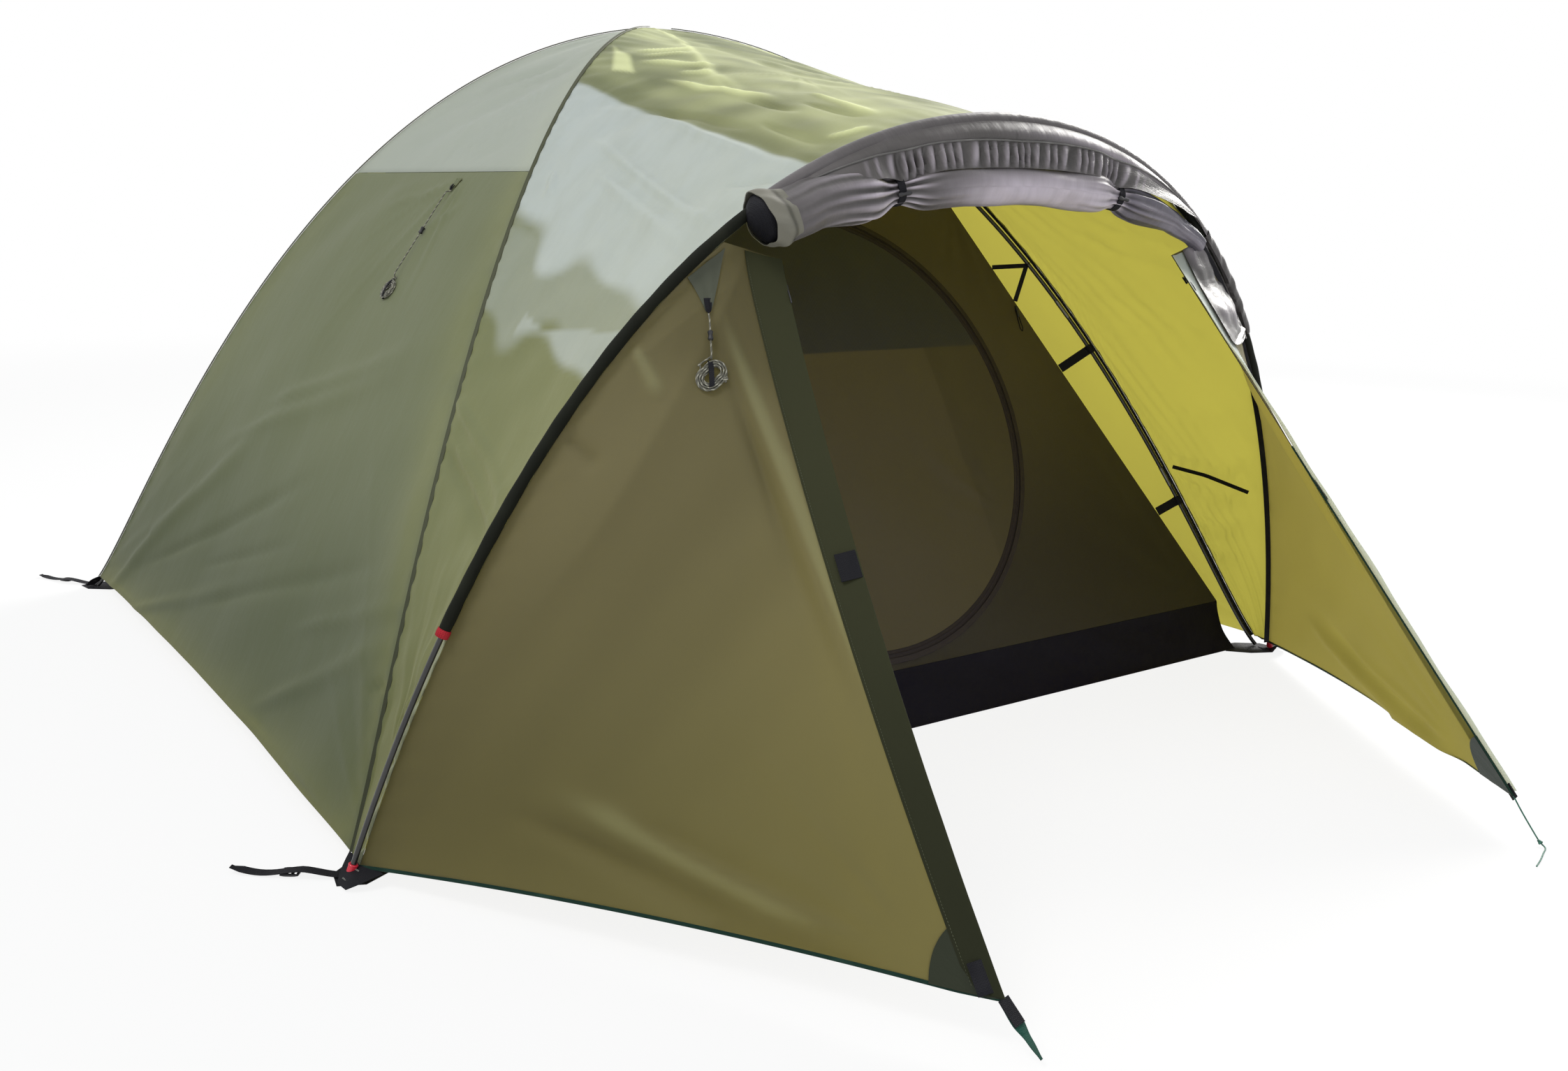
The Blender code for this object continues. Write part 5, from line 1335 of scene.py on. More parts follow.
# Painted reflection: a pale sheen band across the left of the front with a ragged lower edge, a wedge and a speckled
# patch below it, a faint patch low down beside the hoop, and highlights along the raised streaks.
ragged = waves(79, u, v, ((0.26, 0.014), (0.11, 0.005)))
sheen = ease((-x - 0.342) / 0.012) * ease((x + 0.600 - (y + 0.55) * 0.107 + ragged) / 0.032)
wedge = (
    ease((-x - 0.668 + (y + 0.70) * -0.045 + ragged * 0.4) / 0.006)
    * ease((x + 0.684 - (y + 0.715) * 0.100 + ragged * 0.5) / 0.014) * ease((-y - 0.70) / 0.02)
)
speckled_sheen = 0.38 * ease((-x - 0.565) / 0.03) * ease((x + 0.690 + ragged) / 0.02) * ease((-y - 0.45) / 0.1)
sheen = np.maximum(np.maximum(sheen, 0.75 * wedge), speckled_sheen) * ease(s01 / 0.02)
sheen = np.maximum(sheen, 0.28 * ease((0.20 - s01) / 0.08) * ease((0.40 - z) / 0.06) * (x < 0))
sheen = np.maximum(sheen, np.clip(streaks / 0.007, 0, 1.3))
# Painted light: a small bright triangle near the peak, as light shining through the cloth.
around_glow_patch = np.array([(-0.292, -0.340), (-0.225, -0.232), (-0.234, -0.302), (-0.268, -0.378)])
sides_in = [
    np.cross(b - a, grid[..., :2] - a) / np.linalg.norm(b - a)
    for a, b in zip(around_glow_patch, np.roll(around_glow_patch, -1, 0))
]
glow_patch = 0.8 * ease(-np.max(sides_in, axis=0) / 0.016 + 0.6)
# Painted light: near the peak and along the pleats' ridges the cloth is painted bright yellow-green, as light shining
# through it and on the pleats.
glow = (
    0.36 * ease((x + 0.335) / 0.04) * ease((z - 0.98) / 0.1)
    * np.clip(0.55 + waves(80, u, v, ((0.34, 0.30), (0.12, 0.22))), 0, 1.3)
)
glow = np.clip(np.maximum(glow + 0.75 * np.clip(pleats / 0.006, 0, 1), glow_patch), 0, 1)
# Painted shade: the valleys of the listed folds are painted darker.
cloth(
    "fly_front_panel", grid, OLIVE, LINING_PAINTED_GLOW,
    marks={"sheen": sheen, "fold": 0.30 * ease((-folds(grid, FOLDS) - 0.001) / 0.005), "glow": glow},
    replaces=["fly_front"],
)


def felled(name, line, corner, width, finish):
    """A felled seam on a ridge: a raised band of folded cloth with a row of stitches near each edge."""
    line = along(line, spacing=0.008)
    way = unit(np.gradient(line, axis=0))
    normal = unit(np.cross(np.cross(way, [corner[0], corner[1] * 0.87, 0]), way))
    band = tape(line, normal, width, 0.0012)
    marks = {"sheen": np.zeros(len(band[0])), "fold": np.full(len(band[0]), 0.22)}
    piece(name, band, [finish], marks)
    side = unit(np.cross(way, normal))
    for k, off in enumerate((-0.32, 0.32)):
        thread = line + side * width * off + normal * 0.0007
        stitches(f"{name}_stitches_{k}", thread, normal, 0.0042, 0.0042 * 0.68, 0.0006, STITCH)


STITCH = webbing("stitch_olive", (0.10, 0.11, 0.06), (0.20, 0.21, 0.14), 0.0006)
SEAM_DARK = fly_cloth("seam_olive", (0.055, 0.060, 0.030), (0.10, 0.108, 0.06), 0.10, (0.4, 0.4, 0.2))
for word, corner in CORNERS:
    line = ridge(corner, np.linspace(HEM, 0.985, 160), RIDGE_STANDOFF + 0.0024)
    felled(f"ridge_seam_{word}", line, corner, 0.007, SEAM_DARK)

# Sleeves: black cloth tunnels sewn to the front of the fly for the hoop pole, open above the ground,
# where a fold of red webbing binds each mouth.

SLEEVE_RADIUS, SLEEVE_END = 0.009, 0.372


def sleeve_cloth():
    """Black polyester with a dry, slightly dusty face."""
    f = Finish("sleeve_black")
    dust, fine = f.noise(f.place(), 12.0, 4), f.noise(f.place(), 500.0, 2)
    ripple = f.noise(f.stretched(f.uv(), (60, 9, 1)), 1.0, 3)
    return f.done(f.shell(
        Base_Color=f.blend(dust.step(0.45, 0.8) * 0.6, (0.006, 0.007, 0.004), (0.020, 0.022, 0.013)),
        Roughness=fine * 0.15 + 0.68,
        Normal=f.bump(weave(f), 0.0002, 0.6, f.bump(ripple, 0.004, 0.4)), Specular_IOR_Level=0.15,
    ))


SLEEVE = sleeve_cloth()
RED_TAPE = webbing("webbing_red", (0.42, 0.010, 0.022), (0.60, 0.06, 0.07))
mouth = share_where(lambda s: hoop(1, s)[2] - SLEEVE_END)
for side, word in SIDES:
    line = along(hoop(side, np.linspace(mouth, 0.9999, 140)), spacing=0.008)
    run = np.linspace(0, 1, len(line))
    radius = SLEEVE_RADIUS - 0.0006 + 0.0005 * np.sin(run * 90) * np.sin(run * 37 + 1)
    tunnel = tube(line, radius, 18)[0].reshape(-1, 18, 3)[:, ::-1]
    cloth(
        f"sleeve_{word}_tunnel", tunnel, SLEEVE, wraps=True,
        replaces=[f"sleeve_{word}"],
    )
    start, down = line[0], unit(line[0] - line[1])
    trim = [start + down * d for d in (0.0002, 0.0010, 0.006, 0.0118, 0.0126)]
    points, faces, uv = tube(trim, [0.0092, 0.0101, 0.0104, 0.0100, 0.0090], 18)
    mouth_fold = points, faces, uv[:, ::-1]
    piece(f"sleeve_mouth_{word}", mouth_fold, [RED_TAPE], replaces=[f"sleeve_end_{word}"])

# Porch wings: one at each side, sewn to the fly under the sleeve and pulled down to a peg. A storm
# flap covers the zip on the front edge, and the tip is doubled with a dark green corner.

WING_AHEAD, WING_HALF, WING_TIP_HEIGHT = 0.84, 0.56, 0.06
DOOR_SHARE = share_where(lambda s: 0.53 - hoop(1, s)[0])
FLAP = 0.058


def wing_tip(side):
    return np.array([side * WING_HALF, -DOME_DEPTH / 2 - WING_AHEAD, WING_TIP_HEIGHT])


def wing_back(side, f):
    """The sewn edge under the hoop, from the hem at 0 to the door's corner at 1."""
    return hoop_seam(side, HOOP_HEM + (DOOR_SHARE - HOOP_HEM) * f)


def wing_edge(side, f):
    """The front edge, from the tip at 0 to the door's corner at 1, cut to a slight hollow."""
    corner = HOOP_BASE + HOOP_UP * (0.885 / HOOP_UP[2]) + HOOP_FRONT * 0.012 + [side * 0.435, 0, 0]
    tip = wing_tip(side)
    hollow = hoop_seam(side, (HOOP_HEM + DOOR_SHARE) / 2) - (tip + corner) / 2
    hollow -= (corner - tip) * hollow.dot(corner - tip) / (corner - tip).dot(corner - tip)
    f = np.asarray(f, float)[..., None]
    return tip + (corner - tip) * f + unit(hollow) * (0.016 if side < 0 else 0.006) * 4 * f * (1 - f)


def flap_wide(f):
    """The storm flap's width, less towards the tip."""
    return FLAP * (0.68 + 0.30 * f)


WING_OUT = unit(np.cross(wing_edge(1, 0.9) - wing_edge(1, 0.7), hoop_seam(1, 0.8) - wing_edge(1, 0.8)))
WING_OUT *= np.sign(WING_OUT[0])


def wing_places(side, f, w):
    """Places of a wing: f up from the hem, w from the hoop at 0 to the front edge at 1."""
    back, edge = wing_back(side, f), wing_edge(side, f)
    f, w = np.asarray(f, float)[..., None], np.asarray(w, float)[..., None]
    long = np.linalg.norm(edge - back, axis=-1, keepdims=True)
    u = np.clip(w * long / np.maximum(long - FLAP, 1e-6), 0, 1)
    return back + (edge - back) * w + np.array([0, 0, 1]) * 4 * 0.014 * (1 - f) ** 3 * u * (1 - u)


KHAKI = fly_cloth(
    "wing_khaki", (0.120, 0.106, 0.055), (0.160, 0.142, 0.078), 0.22, (0.66, 0.58, 0.34), rough=0.6,
)
# The wing's inner face: its bright yellow base colour is painted light coming through the cloth, on top of its real
# translucency.
WING_LINING_PAINTED_GLOW = fly_cloth("wing_lining_painted_glow", (0.42, 0.38, 0.060), (0.52, 0.47, 0.080), 0.72, (1.0, 0.96, 0.36))
FLAP_GREEN = fly_cloth(
    "flap_green", (0.026, 0.028, 0.010), (0.042, 0.044, 0.017), 0.12, (0.30, 0.34, 0.12), rough=0.7,
)
# The right storm flap's cloth: a pale, lit copy of the green flap cloth, painted light.
FLAP_PAINTED_LIT = fly_cloth("flap_painted_lit", (0.62, 0.62, 0.50), (0.74, 0.74, 0.64), 0.40, (0.95, 0.95, 0.80))
TIP_GREEN = fly_cloth("tip_green", (0.036, 0.042, 0.024), (0.052, 0.060, 0.034), 0.12, (0.08, 0.18, 0.07))
TIP_INSIDE = fly_cloth("tip_inside", (0.004, 0.024, 0.010), (0.008, 0.036, 0.016), 0.14, (0.03, 0.26, 0.09))
BINDING = webbing("binding_green", (0.004, 0.026, 0.017), (0.02, 0.06, 0.042), 0.0009)
WING_FOLDS = [
    (0.014, -0.0065, (-0.559, -1.19, 0.676), (-0.561, -1.32, 0.508), (-0.566, -1.47, 0.345)),
    (0.014, 0.006, (-0.54, -1.15, 0.75), (-0.539, -1.31, 0.551), (-0.552, -1.51, 0.318)),
    (0.022, -0.010, (-0.86, -1.2, 0.129), (-0.782, -1.35, 0.094), (-0.717, -1.49, 0.063), (-0.62, -1.65, 0.062)),
    (0.018, -0.008, (-0.775, -1.32, 0.156), (-0.699, -1.47, 0.121), (-0.629, -1.61, 0.092)),
    (0.012, -0.005, (-0.757, -1.05, 0.636), (-0.736, -1.09, 0.607)),
    (0.012, 0.005, (-0.659, -1.07, 0.755), (-0.648, -1.11, 0.704)),
    (0.024, 0.008, (-0.82, -1.22, 0.165), (-0.72, -1.42, 0.12), (-0.64, -1.60, 0.085)),
]
# Ends of the line beside which a painted shadow falls on the wings.
SHADOW_TOP, SHADOW_FOOT = np.array([-0.6, -1.125, 0.731]), np.array([-0.823, -1.092, 0.419])
wing_pulls = (
    fan(91, (0.86, 0.02), 2.75, 0.8, 8, 0.75, 0.014, 0.0045)
    + fan(92, (-0.25, 0.05), 1.0, 0.8, 6, 0.6, 0.016, 0.003)
    + fan(93, (0.10, 0.98), -1.4, 1.2, 6, 0.35, 0.010, 0.003)
)
for side, word in SIDES:
    f, w = np.meshgrid(np.linspace(0, 1, 116), np.linspace(0, 1, 96), indexing="ij")
    grid = wing_places(side, f, w)
    grid[:, 0] += unit(grid[:, 1] - grid[:, 0]) * SEAM
    if side < 0:
        grid, f, w = grid[:, ::-1], f[:, ::-1], w[:, ::-1]
    out = grid_normals(grid)
    _, v = lengths(grid)
    wide = np.linalg.norm(wing_edge(side, f) - wing_back(side, f), axis=-1)
    u = w * wide
    fade = ease(w / 0.08) * ease((1 - w) / 0.10) * ease((1 - f) / 0.06) * (0.35 + 0.65 * ease(f / 0.06))
    bare = ease(((1 - w) * wide - FLAP - 0.004) / 0.05)
    bare *= ease((np.linalg.norm(grid - wing_tip(side), axis=-1) - 0.13) / 0.08)
    hem = folds(grid * [-side, 1, 1], WING_FOLDS)
    height = (
        (creases(u, v, wing_pulls) * 0.5 + waves(94 + side, u, v, ((0.45, 0.003), (0.15, 0.0008)))) * fade
    )
    height += hem * ease(w / 0.03) * ease((1 - f) / 0.04)
    height -= 0.010 * np.sin(pi * w) * np.sin(pi * f) ** 0.7
    height += pucker(v, w * 0.8, 0.05, 0.0018, 0.03, 95) * fade ** 0.3
    grid = grid + out * (height * bare)[..., None]
    # Painted shadow: a band on one side of the line between SHADOW_TOP and SHADOW_FOOT is painted darker. Painted
    # shade also darkens the valleys of the hem's folds and the upper part of the left wing, and the wing grows darker
    # towards the bottom.
    shadow = np.cross(SHADOW_FOOT - SHADOW_TOP, grid * [-side, 1, 1] - SHADOW_TOP)[..., 1]
    band = 0.34 * ease(-shadow / 0.004 + 0.5) * ease((grid[..., 2] - 0.28) / 0.30)
    fold = np.clip(
        band + 0.35 * ease((-hem - 0.001) / 0.006) + 0.30 * ease((0.30 -
                           grid[..., 2]) / 0.25) + 0.45 * ease((f - 0.72) / 0.1) * ease(w / 0.3) * (side < 0),
        0, 1,
    )
    # Painted highlight on the ridges of the hem's folds.
    glow = 0.10 * ease(hem / 0.006)
    cloth(
        f"wing_{word}_panel", grid, KHAKI, WING_LINING_PAINTED_GLOW,
        marks={"sheen": np.zeros_like(u), "fold": fold, "glow": glow},
        replaces=[f"wing_{word}"],
    )
    if side < 0:
        left_wing = grid

    f, w = np.meshgrid(np.linspace(0.004, 0.996, 110), np.linspace(0, 1, 10), indexing="ij")
    edge, back = wing_edge(side, f), wing_back(side, f)
    lap = 0.004 if side < 0 else 0.0015 + 0.0165 * ease((f - 0.25) / 0.5) * ease((1.15 - f) / 0.3)
    wide = flap_wide(f)
    grid = edge + unit(edge - back) * (-wide + (wide + lap) * w)[..., None]
    if side < 0:
        grid, f, w = grid[:, ::-1], f[:, ::-1], w[:, ::-1]
    _, v = lengths(grid)
    lift = (
        0.0008 + 0.0022 * w ** 2 + 0.0010 * np.sin(v * 19) * w + 0.0006 * np.sin(v * 47 + 1) * w
        + 0.004 * ease((w - 0.8) / 0.2) * (side > 0)
    )
    grid = grid + grid_normals(grid) * lift[..., None]
    # The right flap is painted pale, with painted sheen all over it, as a lit copy of the left one's cloth; both
    # flaps darken along their inner edge.
    cloth(
        f"storm_flap_{word}_cloth", grid, FLAP_GREEN if side < 0 else FLAP_PAINTED_LIT,
        marks={"sheen": np.full(v.shape, 0.85 if side > 0 else 0.0),
                                "fold": 0.5 * np.exp(-((w - 0.03) / 0.05) ** 2)},
        stand=0.0012,
        replaces=[f"storm_flap_{word}"],
    )
    normal = unit(
        np.cross(wing_edge(side, 0.6) - wing_edge(side, 0.4), hoop_seam(side, 0.4) - wing_edge(side, 0.5))
    )
    normal = normal * np.sign(normal[0]) * side
    f = np.linspace(0.01, 0.985, 120)
    inner = (
        wing_edge(side, f) - unit(wing_edge(side, f) - wing_back(side, f)) * (flap_wide(f) - 0.004)[:, None]
    )
    stitches(f"flap_stitches_{word}", inner + normal * 0.0027, normal, 0.0042, 0.0030, 0.0007, STITCH)
    tip = wing_tip(side)
    hem_way, edge_way = unit(wing_places(side, 0.0, 0.80) - tip), unit(wing_edge(side, 0.1) - tip)
    a, b = np.meshgrid(np.linspace(0, 1, 16), np.linspace(0, 1, 16), indexing="ij")
    a, b = a[..., None], b[..., None]
    low, high = tip + hem_way * 0.092 * a, tip + edge_way * 0.105 * a
    corner = low + (high - low) * b + unit(hem_way + edge_way) * 0.018 * (b * (1 - b)) * a * 4
    corner[0] += (corner[1] - corner[0]) * 0.02
    if np.dot(grid_normals(corner)[8, 8], normal) < 0:
        corner = corner[:, ::-1]
    cloth(
        f"wing_corner_{word}", corner, TIP_GREEN, TIP_INSIDE, thick=0.0038 + 0.0006,
        marks={"sheen": np.zeros(a.shape), "fold": np.zeros(a.shape)},
    )
    hem_line = along(wing_places(side, np.zeros(120), np.linspace(0.0, 0.995, 120)), spacing=0.01)
    piece(
        f"wing_hem_binding_{word}", tape(hem_line + [0, 0, 0.002], normal, 0.005, 0.0028), [BINDING],
    )
    for k, at in enumerate((0.53, 0.024)):
        spot, level = wing_edge(side, at), unit(wing_edge(side, at + 0.01) - wing_edge(side, at))
        across = unit(wing_back(side, at) - spot)
        patch = [spot + across * 0.0155 + level * d + normal * 0.0052 for d in np.linspace(-0.020, 0.020, 8)]
        piece(f"flap_tab_{word}_{k}", tape(patch, normal, 0.029, 0.0013), [BLACK_TAPE])
    edge_line = along(wing_edge(side, np.linspace(0.0, 0.62, 90)), spacing=0.01)
    piece(f"wing_edge_binding_{word}", tape(edge_line, normal, 0.004, 0.0030), [BINDING])

# Inside the porch at the right: black tape over the ridge's seam, a dark strip along the hoop's seam, and the strap
# between them. The strip is painted shadow, standing for the sleeve's shadow seen through the cloth; the tape and the
# strap are sewn flat on the lining, and the light through the cloth shows them dark.

VIEWPOINT, TAPE_OUT = np.array([-1.6725, -2.8273, 0.968]), np.array([-0.55, -0.83, 0.1])

for name, line, wide in (
    ("ridge_tape", ridge(FRONT_RIGHT, np.linspace(HEM, 0.97, 120), RIDGE_STANDOFF - 0.0028), 0.0055),
    # A dark strip painted as the sleeve's shadow seen through the cloth.
    ("sleeve_shadow_strip", hoop_seam(1, np.linspace(HOOP_HEM, DOOR_SHARE, 120)) - WING_OUT * 0.002, 0.011),
    ("porch_strap", np.array([(0.869, -0.782, 0.408), (0.884, -0.86, 0.400), (0.898, -0.962, 0.379)]), 0.008),
):
    line = along(line + (VIEWPOINT - line) * 0.010 * (name != "ridge_tape"), spacing=0.012)
    way = unit(np.gradient(line, axis=0))
    piece(
        name, tape(line, unit(TAPE_OUT - way * (way @ TAPE_OUT)[:, None]), wide, 0.0010), [BLACK_TAPE],
    )

# Corner gussets: triangles of black webbing, bar-tacked, that tie the fly's hem to each corner strap.
# Each takes the pull between the two, so it lies stretched flat.

for word, corner in CORNERS:
    top = ridge(corner, HEM)
    beside = unit(ridge((corner[0], -corner[1]), HEM) - top)
    if corner[1] < 0:
        hem_corner = hoop_seam(corner[0], HOOP_HEM)
        far = hem_corner + unit(wing_tip(corner[0]) - hem_corner) * 0.045
        foot = hoop(corner[0], HOOP_FOOT)
    else:
        far = top + unit(ridge((-corner[0], corner[1]), HEM) - top) * 0.05
        foot = dome(corner, DOME_FOOT)
    out = unit(np.array([corner[0], corner[1], 0.25]))
    foot = foot * [1, 1, 0] + out * [0.020, 0.020, 0] + [0, 0, 0.0035]
    reach = unit(far - top)
    f, w = np.meshgrid(np.linspace(0, 1, 26), np.linspace(0, 1, 14), indexing="ij")
    f, w = f[..., None], w[..., None]
    near_edge = top + beside * 0.006 + out * 0.004
    low_left, low_right = foot - reach * 0.011, foot + reach * 0.011
    left = near_edge + (low_left - near_edge) * f + out * 0.006 * np.sin(pi * f)
    right = far + out * 0.004 + (low_right - far) * f ** 0.85 + out * 0.006 * np.sin(pi * f)
    web = left + (right - left) * w + out * 0.004 * np.sin(pi * w) * np.sin(pi * f)
    if np.dot(grid_normals(web)[12, 7], out) < 0:
        web = web[:, ::-1]
    normal = grid_normals(web)[12, 7]
    cloth(
        f"corner_gusset_{word}", web, BLACK_TAPE, thick=0.0014,
    )
    for k, at in enumerate((0.30, 0.72)):
        middle = (left + (right - left) * 0.5)[int(25 * at), 0] + normal * 0.0026
        bar = np.array([middle + reach * d for d in np.linspace(-0.0075, 0.0075, 8)])
        stitches(
            f"gusset_stitches_{word}_{k}", bar, normal, 0.0021, 0.0032, 0.0009, WHITE_STITCH, crosswise=True,
        )

# Hood: a band of grey cloth over the top of the hoop, cut on a curve and gathered under a piping, that
# sheds rain from the rolled-up door. It is sewn to the fly behind the pole.


def satin(name, deep, pale, glow):
    """Tightly woven grey polyester with a silvery, slightly purple shine along its folds, painted where the mark
    called sheen says, and painted shade where the mark for folds and shade says.
    """
    f = Finish(name)
    slow = f.noise(f.stretched(f.place(), (6, 10, 16)), 1.0, 3, 0.5)
    fine = f.noise(f.place(), 500.0, 2)
    crush = f.noise(f.stretched(f.uv(), (10, 46, 1)), 1.0, 4, 0.55)
    shine, fold, dusk = f.mark("sheen"), f.mark("fold"), f.mark("dusk")
    colour = f.blend(slow.step(0.35, 0.75) * 0.9, deep, pale)
    colour = f.blend(dusk, colour, (0.016, 0.017, 0.040))
    # Painted highlight where the sheen mark says, and painted shade where the mark for folds and shade says.
    colour = f.blend(shine * (crush * 0.6 + 0.6), colour, glow)
    colour = f.blend(fold, colour, tuple(c * 0.22 for c in deep))
    surface = f.shell(
        Base_Color=colour, Roughness=fine * 0.10 + crush * 0.12 + 0.30, Sheen_Weight=0.15,
        Sheen_Roughness=0.35,
        Normal=f.bump(weave(f), 0.00010, 0.5, f.bump(crush, 0.006, 0.35)),
    )
    return f.done(f.through(0.10, surface, (0.35, 0.30, 0.30)))


HOOD = satin("hood_grey", (0.062, 0.056, 0.054), (0.110, 0.100, 0.100), (0.56, 0.50, 0.57))
PIPING = webbing("piping_grey", (0.16, 0.155, 0.15), (0.30, 0.29, 0.28), 0.0010)
HOOD_RADIUS, ROLL_WAIST, ROLL_FORWARD, ROLL_END_HALF = 0.0112, 0.021, 0.022, 0.42
TIE_AT, TIE_WIDTH = 0.24, 0.014


def roll_drop(share):
    """How far the roll's middle line hangs inside the hoop: least at its ends."""
    along_it = np.minimum(1.0, hoop(1, share)[..., 0] / ROLL_END_HALF)
    return 0.094 - 0.048 * along_it**2 - 0.016 * ease((hoop(1, share)[..., 0] - ROLL_END_HALF) / 0.09)


def roll_radius(x):
    """Fullest between its ties, drawn in at both, and looser at its left end than at its right."""
    away = np.maximum(0, np.abs(np.abs(x) - TIE_AT) - TIE_WIDTH * 0.6)
    loose = 0.0375 + 0.0040 * ease((-x - TIE_AT) / 0.06) - 0.0070 * ease((x - TIE_AT) / 0.06)
    return loose - (loose - ROLL_WAIST) * np.exp(-((away / 0.030) ** 2))


def over_top(left, right, count):
    """Sides and shares of the hoop, from the left over its top to the right."""
    return [(-1, s) for s in np.linspace(left, 1, count)] + [(1, s) for s in np.linspace(1, right, count)[1:]]


HOOD_LEFT = share_where(lambda s: 0.470 - hoop(1, s)[0])
stations = over_top(HOOD_LEFT, DOOR_SHARE, 130)
grid, tuck_shade, hood_highlights, rims = [], [], [], []
for side, share in stations:
    x = hoop(side, share)[0]
    angles = np.linspace(pi, 0, 15)
    profile = np.stack([HOOD_RADIUS * np.sin(angles), HOOD_RADIUS * np.cos(angles)], -1)
    middle = np.array([-roll_drop(share), ROLL_FORWARD])
    front = profile[-1]
    lean = np.arctan2(*(front - middle)[::-1]) + 0.90 * ease((0.52 - abs(x)) / 0.10)
    edge = middle + np.array([cos(lean), sin(lean)]) * (roll_radius(x) * 0.94 + 0.0025)
    t = np.linspace(0, 1, 30)[1:, None]
    lower = front + (edge - front) * t * (0.15 + 0.85 * ease((x + 0.470) / 0.07))
    near = np.clip(1 - abs(x) / 0.44, 0, 1)
    seam_at = 0.42 * near ** 0.4
    bulge = 0.007 * np.sin(pi * np.clip(t / max(seam_at, 0.05), 0, 1)) * near + 0.004 * np.sin(pi * t)
    ruffle = np.where(
        t > seam_at, np.clip(np.sin(pi * np.clip((t - seam_at) / (1 - seam_at + 1e-6), 0, 1)), 0, 1) ** 0.6,
        0,
    )
    beat = np.sin((x / 0.021 + 0.35 * np.sin(x * 31) + 0.2 * np.sin(x * 83)) * tau + t * 3.6)
    fold = ruffle * 0.0052 * beat * ease((0.30 - abs(x)) / 0.05)
    fold += 0.0022 * np.sin(x * 40 + t * 5) * ease((abs(x) - 0.22) / 0.05) * np.sin(pi * t)
    lower = lower + np.concatenate([0 * t, bulge + fold - 0.002 * ruffle], -1)
    whole = np.concatenate([profile, lower])
    grid.append(hoop(side, share, whole[:, 0], whole[:, 1]))
    # Painted shade in the ruffle's tucks; painted highlights on a band across the hood's lower cloth and on the
    # ruffle's ridges.
    tuck = ruffle * 0.55 * ease((0.30 - abs(x)) / 0.05) * (0.5 - 0.5 * beat)
    painted_highlight = 0.45 * np.exp(-((t - 0.22) / 0.12) ** 2) * ease((x + 0.1) / 0.35)
    painted_highlight = painted_highlight + ruffle * 0.55 * np.clip(beat, 0, 1) ** 2 * ease((0.34 - abs(x)) / 0.05)
    tuck_shade.append(np.r_[np.zeros(15), tuck[:, 0]])
    hood_highlights.append(np.r_[np.full(15, 0.05), painted_highlight[:, 0]])
    out, ahead = (np.interp(seam_at, t[:, 0], lower[:, k]) for k in range(2))
    rims.append(hoop(side, share, out, ahead + 0.0016))
grid, tuck_shade, hood_highlights = np.array(grid), np.array(tuck_shade), np.array(hood_highlights)
# Painted shade from the tucks, and a darker line near the hood's middle.
fold = tuck_shade + 0.5 * np.exp(-((grid[..., 0] + 0.012) / 0.0020) ** 2)
if np.dot(grid_normals(grid)[130, 20], HOOP_FRONT) < 0:
    grid, hood_highlights, fold = grid[:, ::-1], hood_highlights[:, ::-1], fold[:, ::-1]
cloth(
    "hood_band", grid, HOOD, thick=0.0009, marks={"sheen": hood_highlights, "fold": fold},
    replaces=["hood"],
)
rims = np.array(rims)[16:-16]
piece("hood_piping", tube(along(rims, spacing=0.006), 0.0015, 10), [PIPING])
under = [hoop(s, q, -0.0005, HOOD_RADIUS + 0.0012) for s, q in stations[6:-6]]
stitches("hood_stitches", np.array(under), HOOP_FRONT, 0.0045, 0.0031, 0.0007, PIPING)

# Rolled-up door: the porch's front cloth wound into a soft roll under the hood. Two ties draw it in,
# each a loop of tape closed by a toggle, so that the cloth gathers into pleats at both.


def roll_line(side, share):
    """The middle line of the roll, under the hoop."""
    return hoop(side, share, -roll_drop(share), ROLL_FORWARD)


ROLL_END = share_where(lambda s: 0.508 - hoop(1, s)[0])
ROLL_LEFT = share_where(lambda s: 0.468 - hoop(1, s)[0])
ends = over_top(ROLL_LEFT, ROLL_END, 150)
line = along(np.array([roll_line(s, q) for s, q in ends]), 320)
x = line[:, 0]
line += HOOP_UP * (0.016 * ease((-x - TIE_AT - 0.01) / 0.15))[:, None]
tangent, first, second = carried(line)
first = unit(HOOP_FRONT - tangent * (tangent @ HOOP_FRONT)[:, None])
second = np.cross(tangent, first)
sides = 96
turn = np.arange(sides) * tau / sides
away = np.maximum(0, np.abs(np.abs(x) - TIE_AT) - TIE_WIDTH * 0.6)
waist = np.exp(-((away / 0.030) ** 2))
radius = roll_radius(x) * (1 - 0.45 * ease((x - 0.30) / 0.16))
pleats = (
    np.exp(-away / np.where(np.abs(x) > TIE_AT, 0.085, 0.040)) * (1 - 0.55 * np.exp(-((away / 0.010) ** 2)))
)
gather = (
    0.0038 * np.sin(turn[None, :] * 11 + 1.5 * np.sin(turn[None, :] * 2) + x[:, None] * 7)
    + 0.0016 * np.sin(turn[None, :] * 19 + x[:, None] * 22)
)
slack = (
    0.0012 * np.sin(turn[None, :] * 3 + x[:, None] * 26)
    + 0.0010 * np.sin(turn[None, :] * 5 - x[:, None] * 41)
)
lap_at = 4.1 + 0.6 * np.sin(x * 3.1)
lap = ((turn[None, :] - lap_at[:, None]) % tau) / tau
surface = (
    radius[:, None] + gather * pleats[:, None] + slack * (1 - waist)[:, None]
    + 0.0016 * (lap - 0.5) * (1 - waist)[:, None]
)
surface -= 0.0022 * np.exp(-((lap - 0.985) / 0.012) ** 2) * (1 - waist)[:, None]
squash = 1 - 0.10 * (1 - waist)[:, None] * np.sin(turn)[None, :] ** 2
sagging = -0.0015 * (1 - waist)
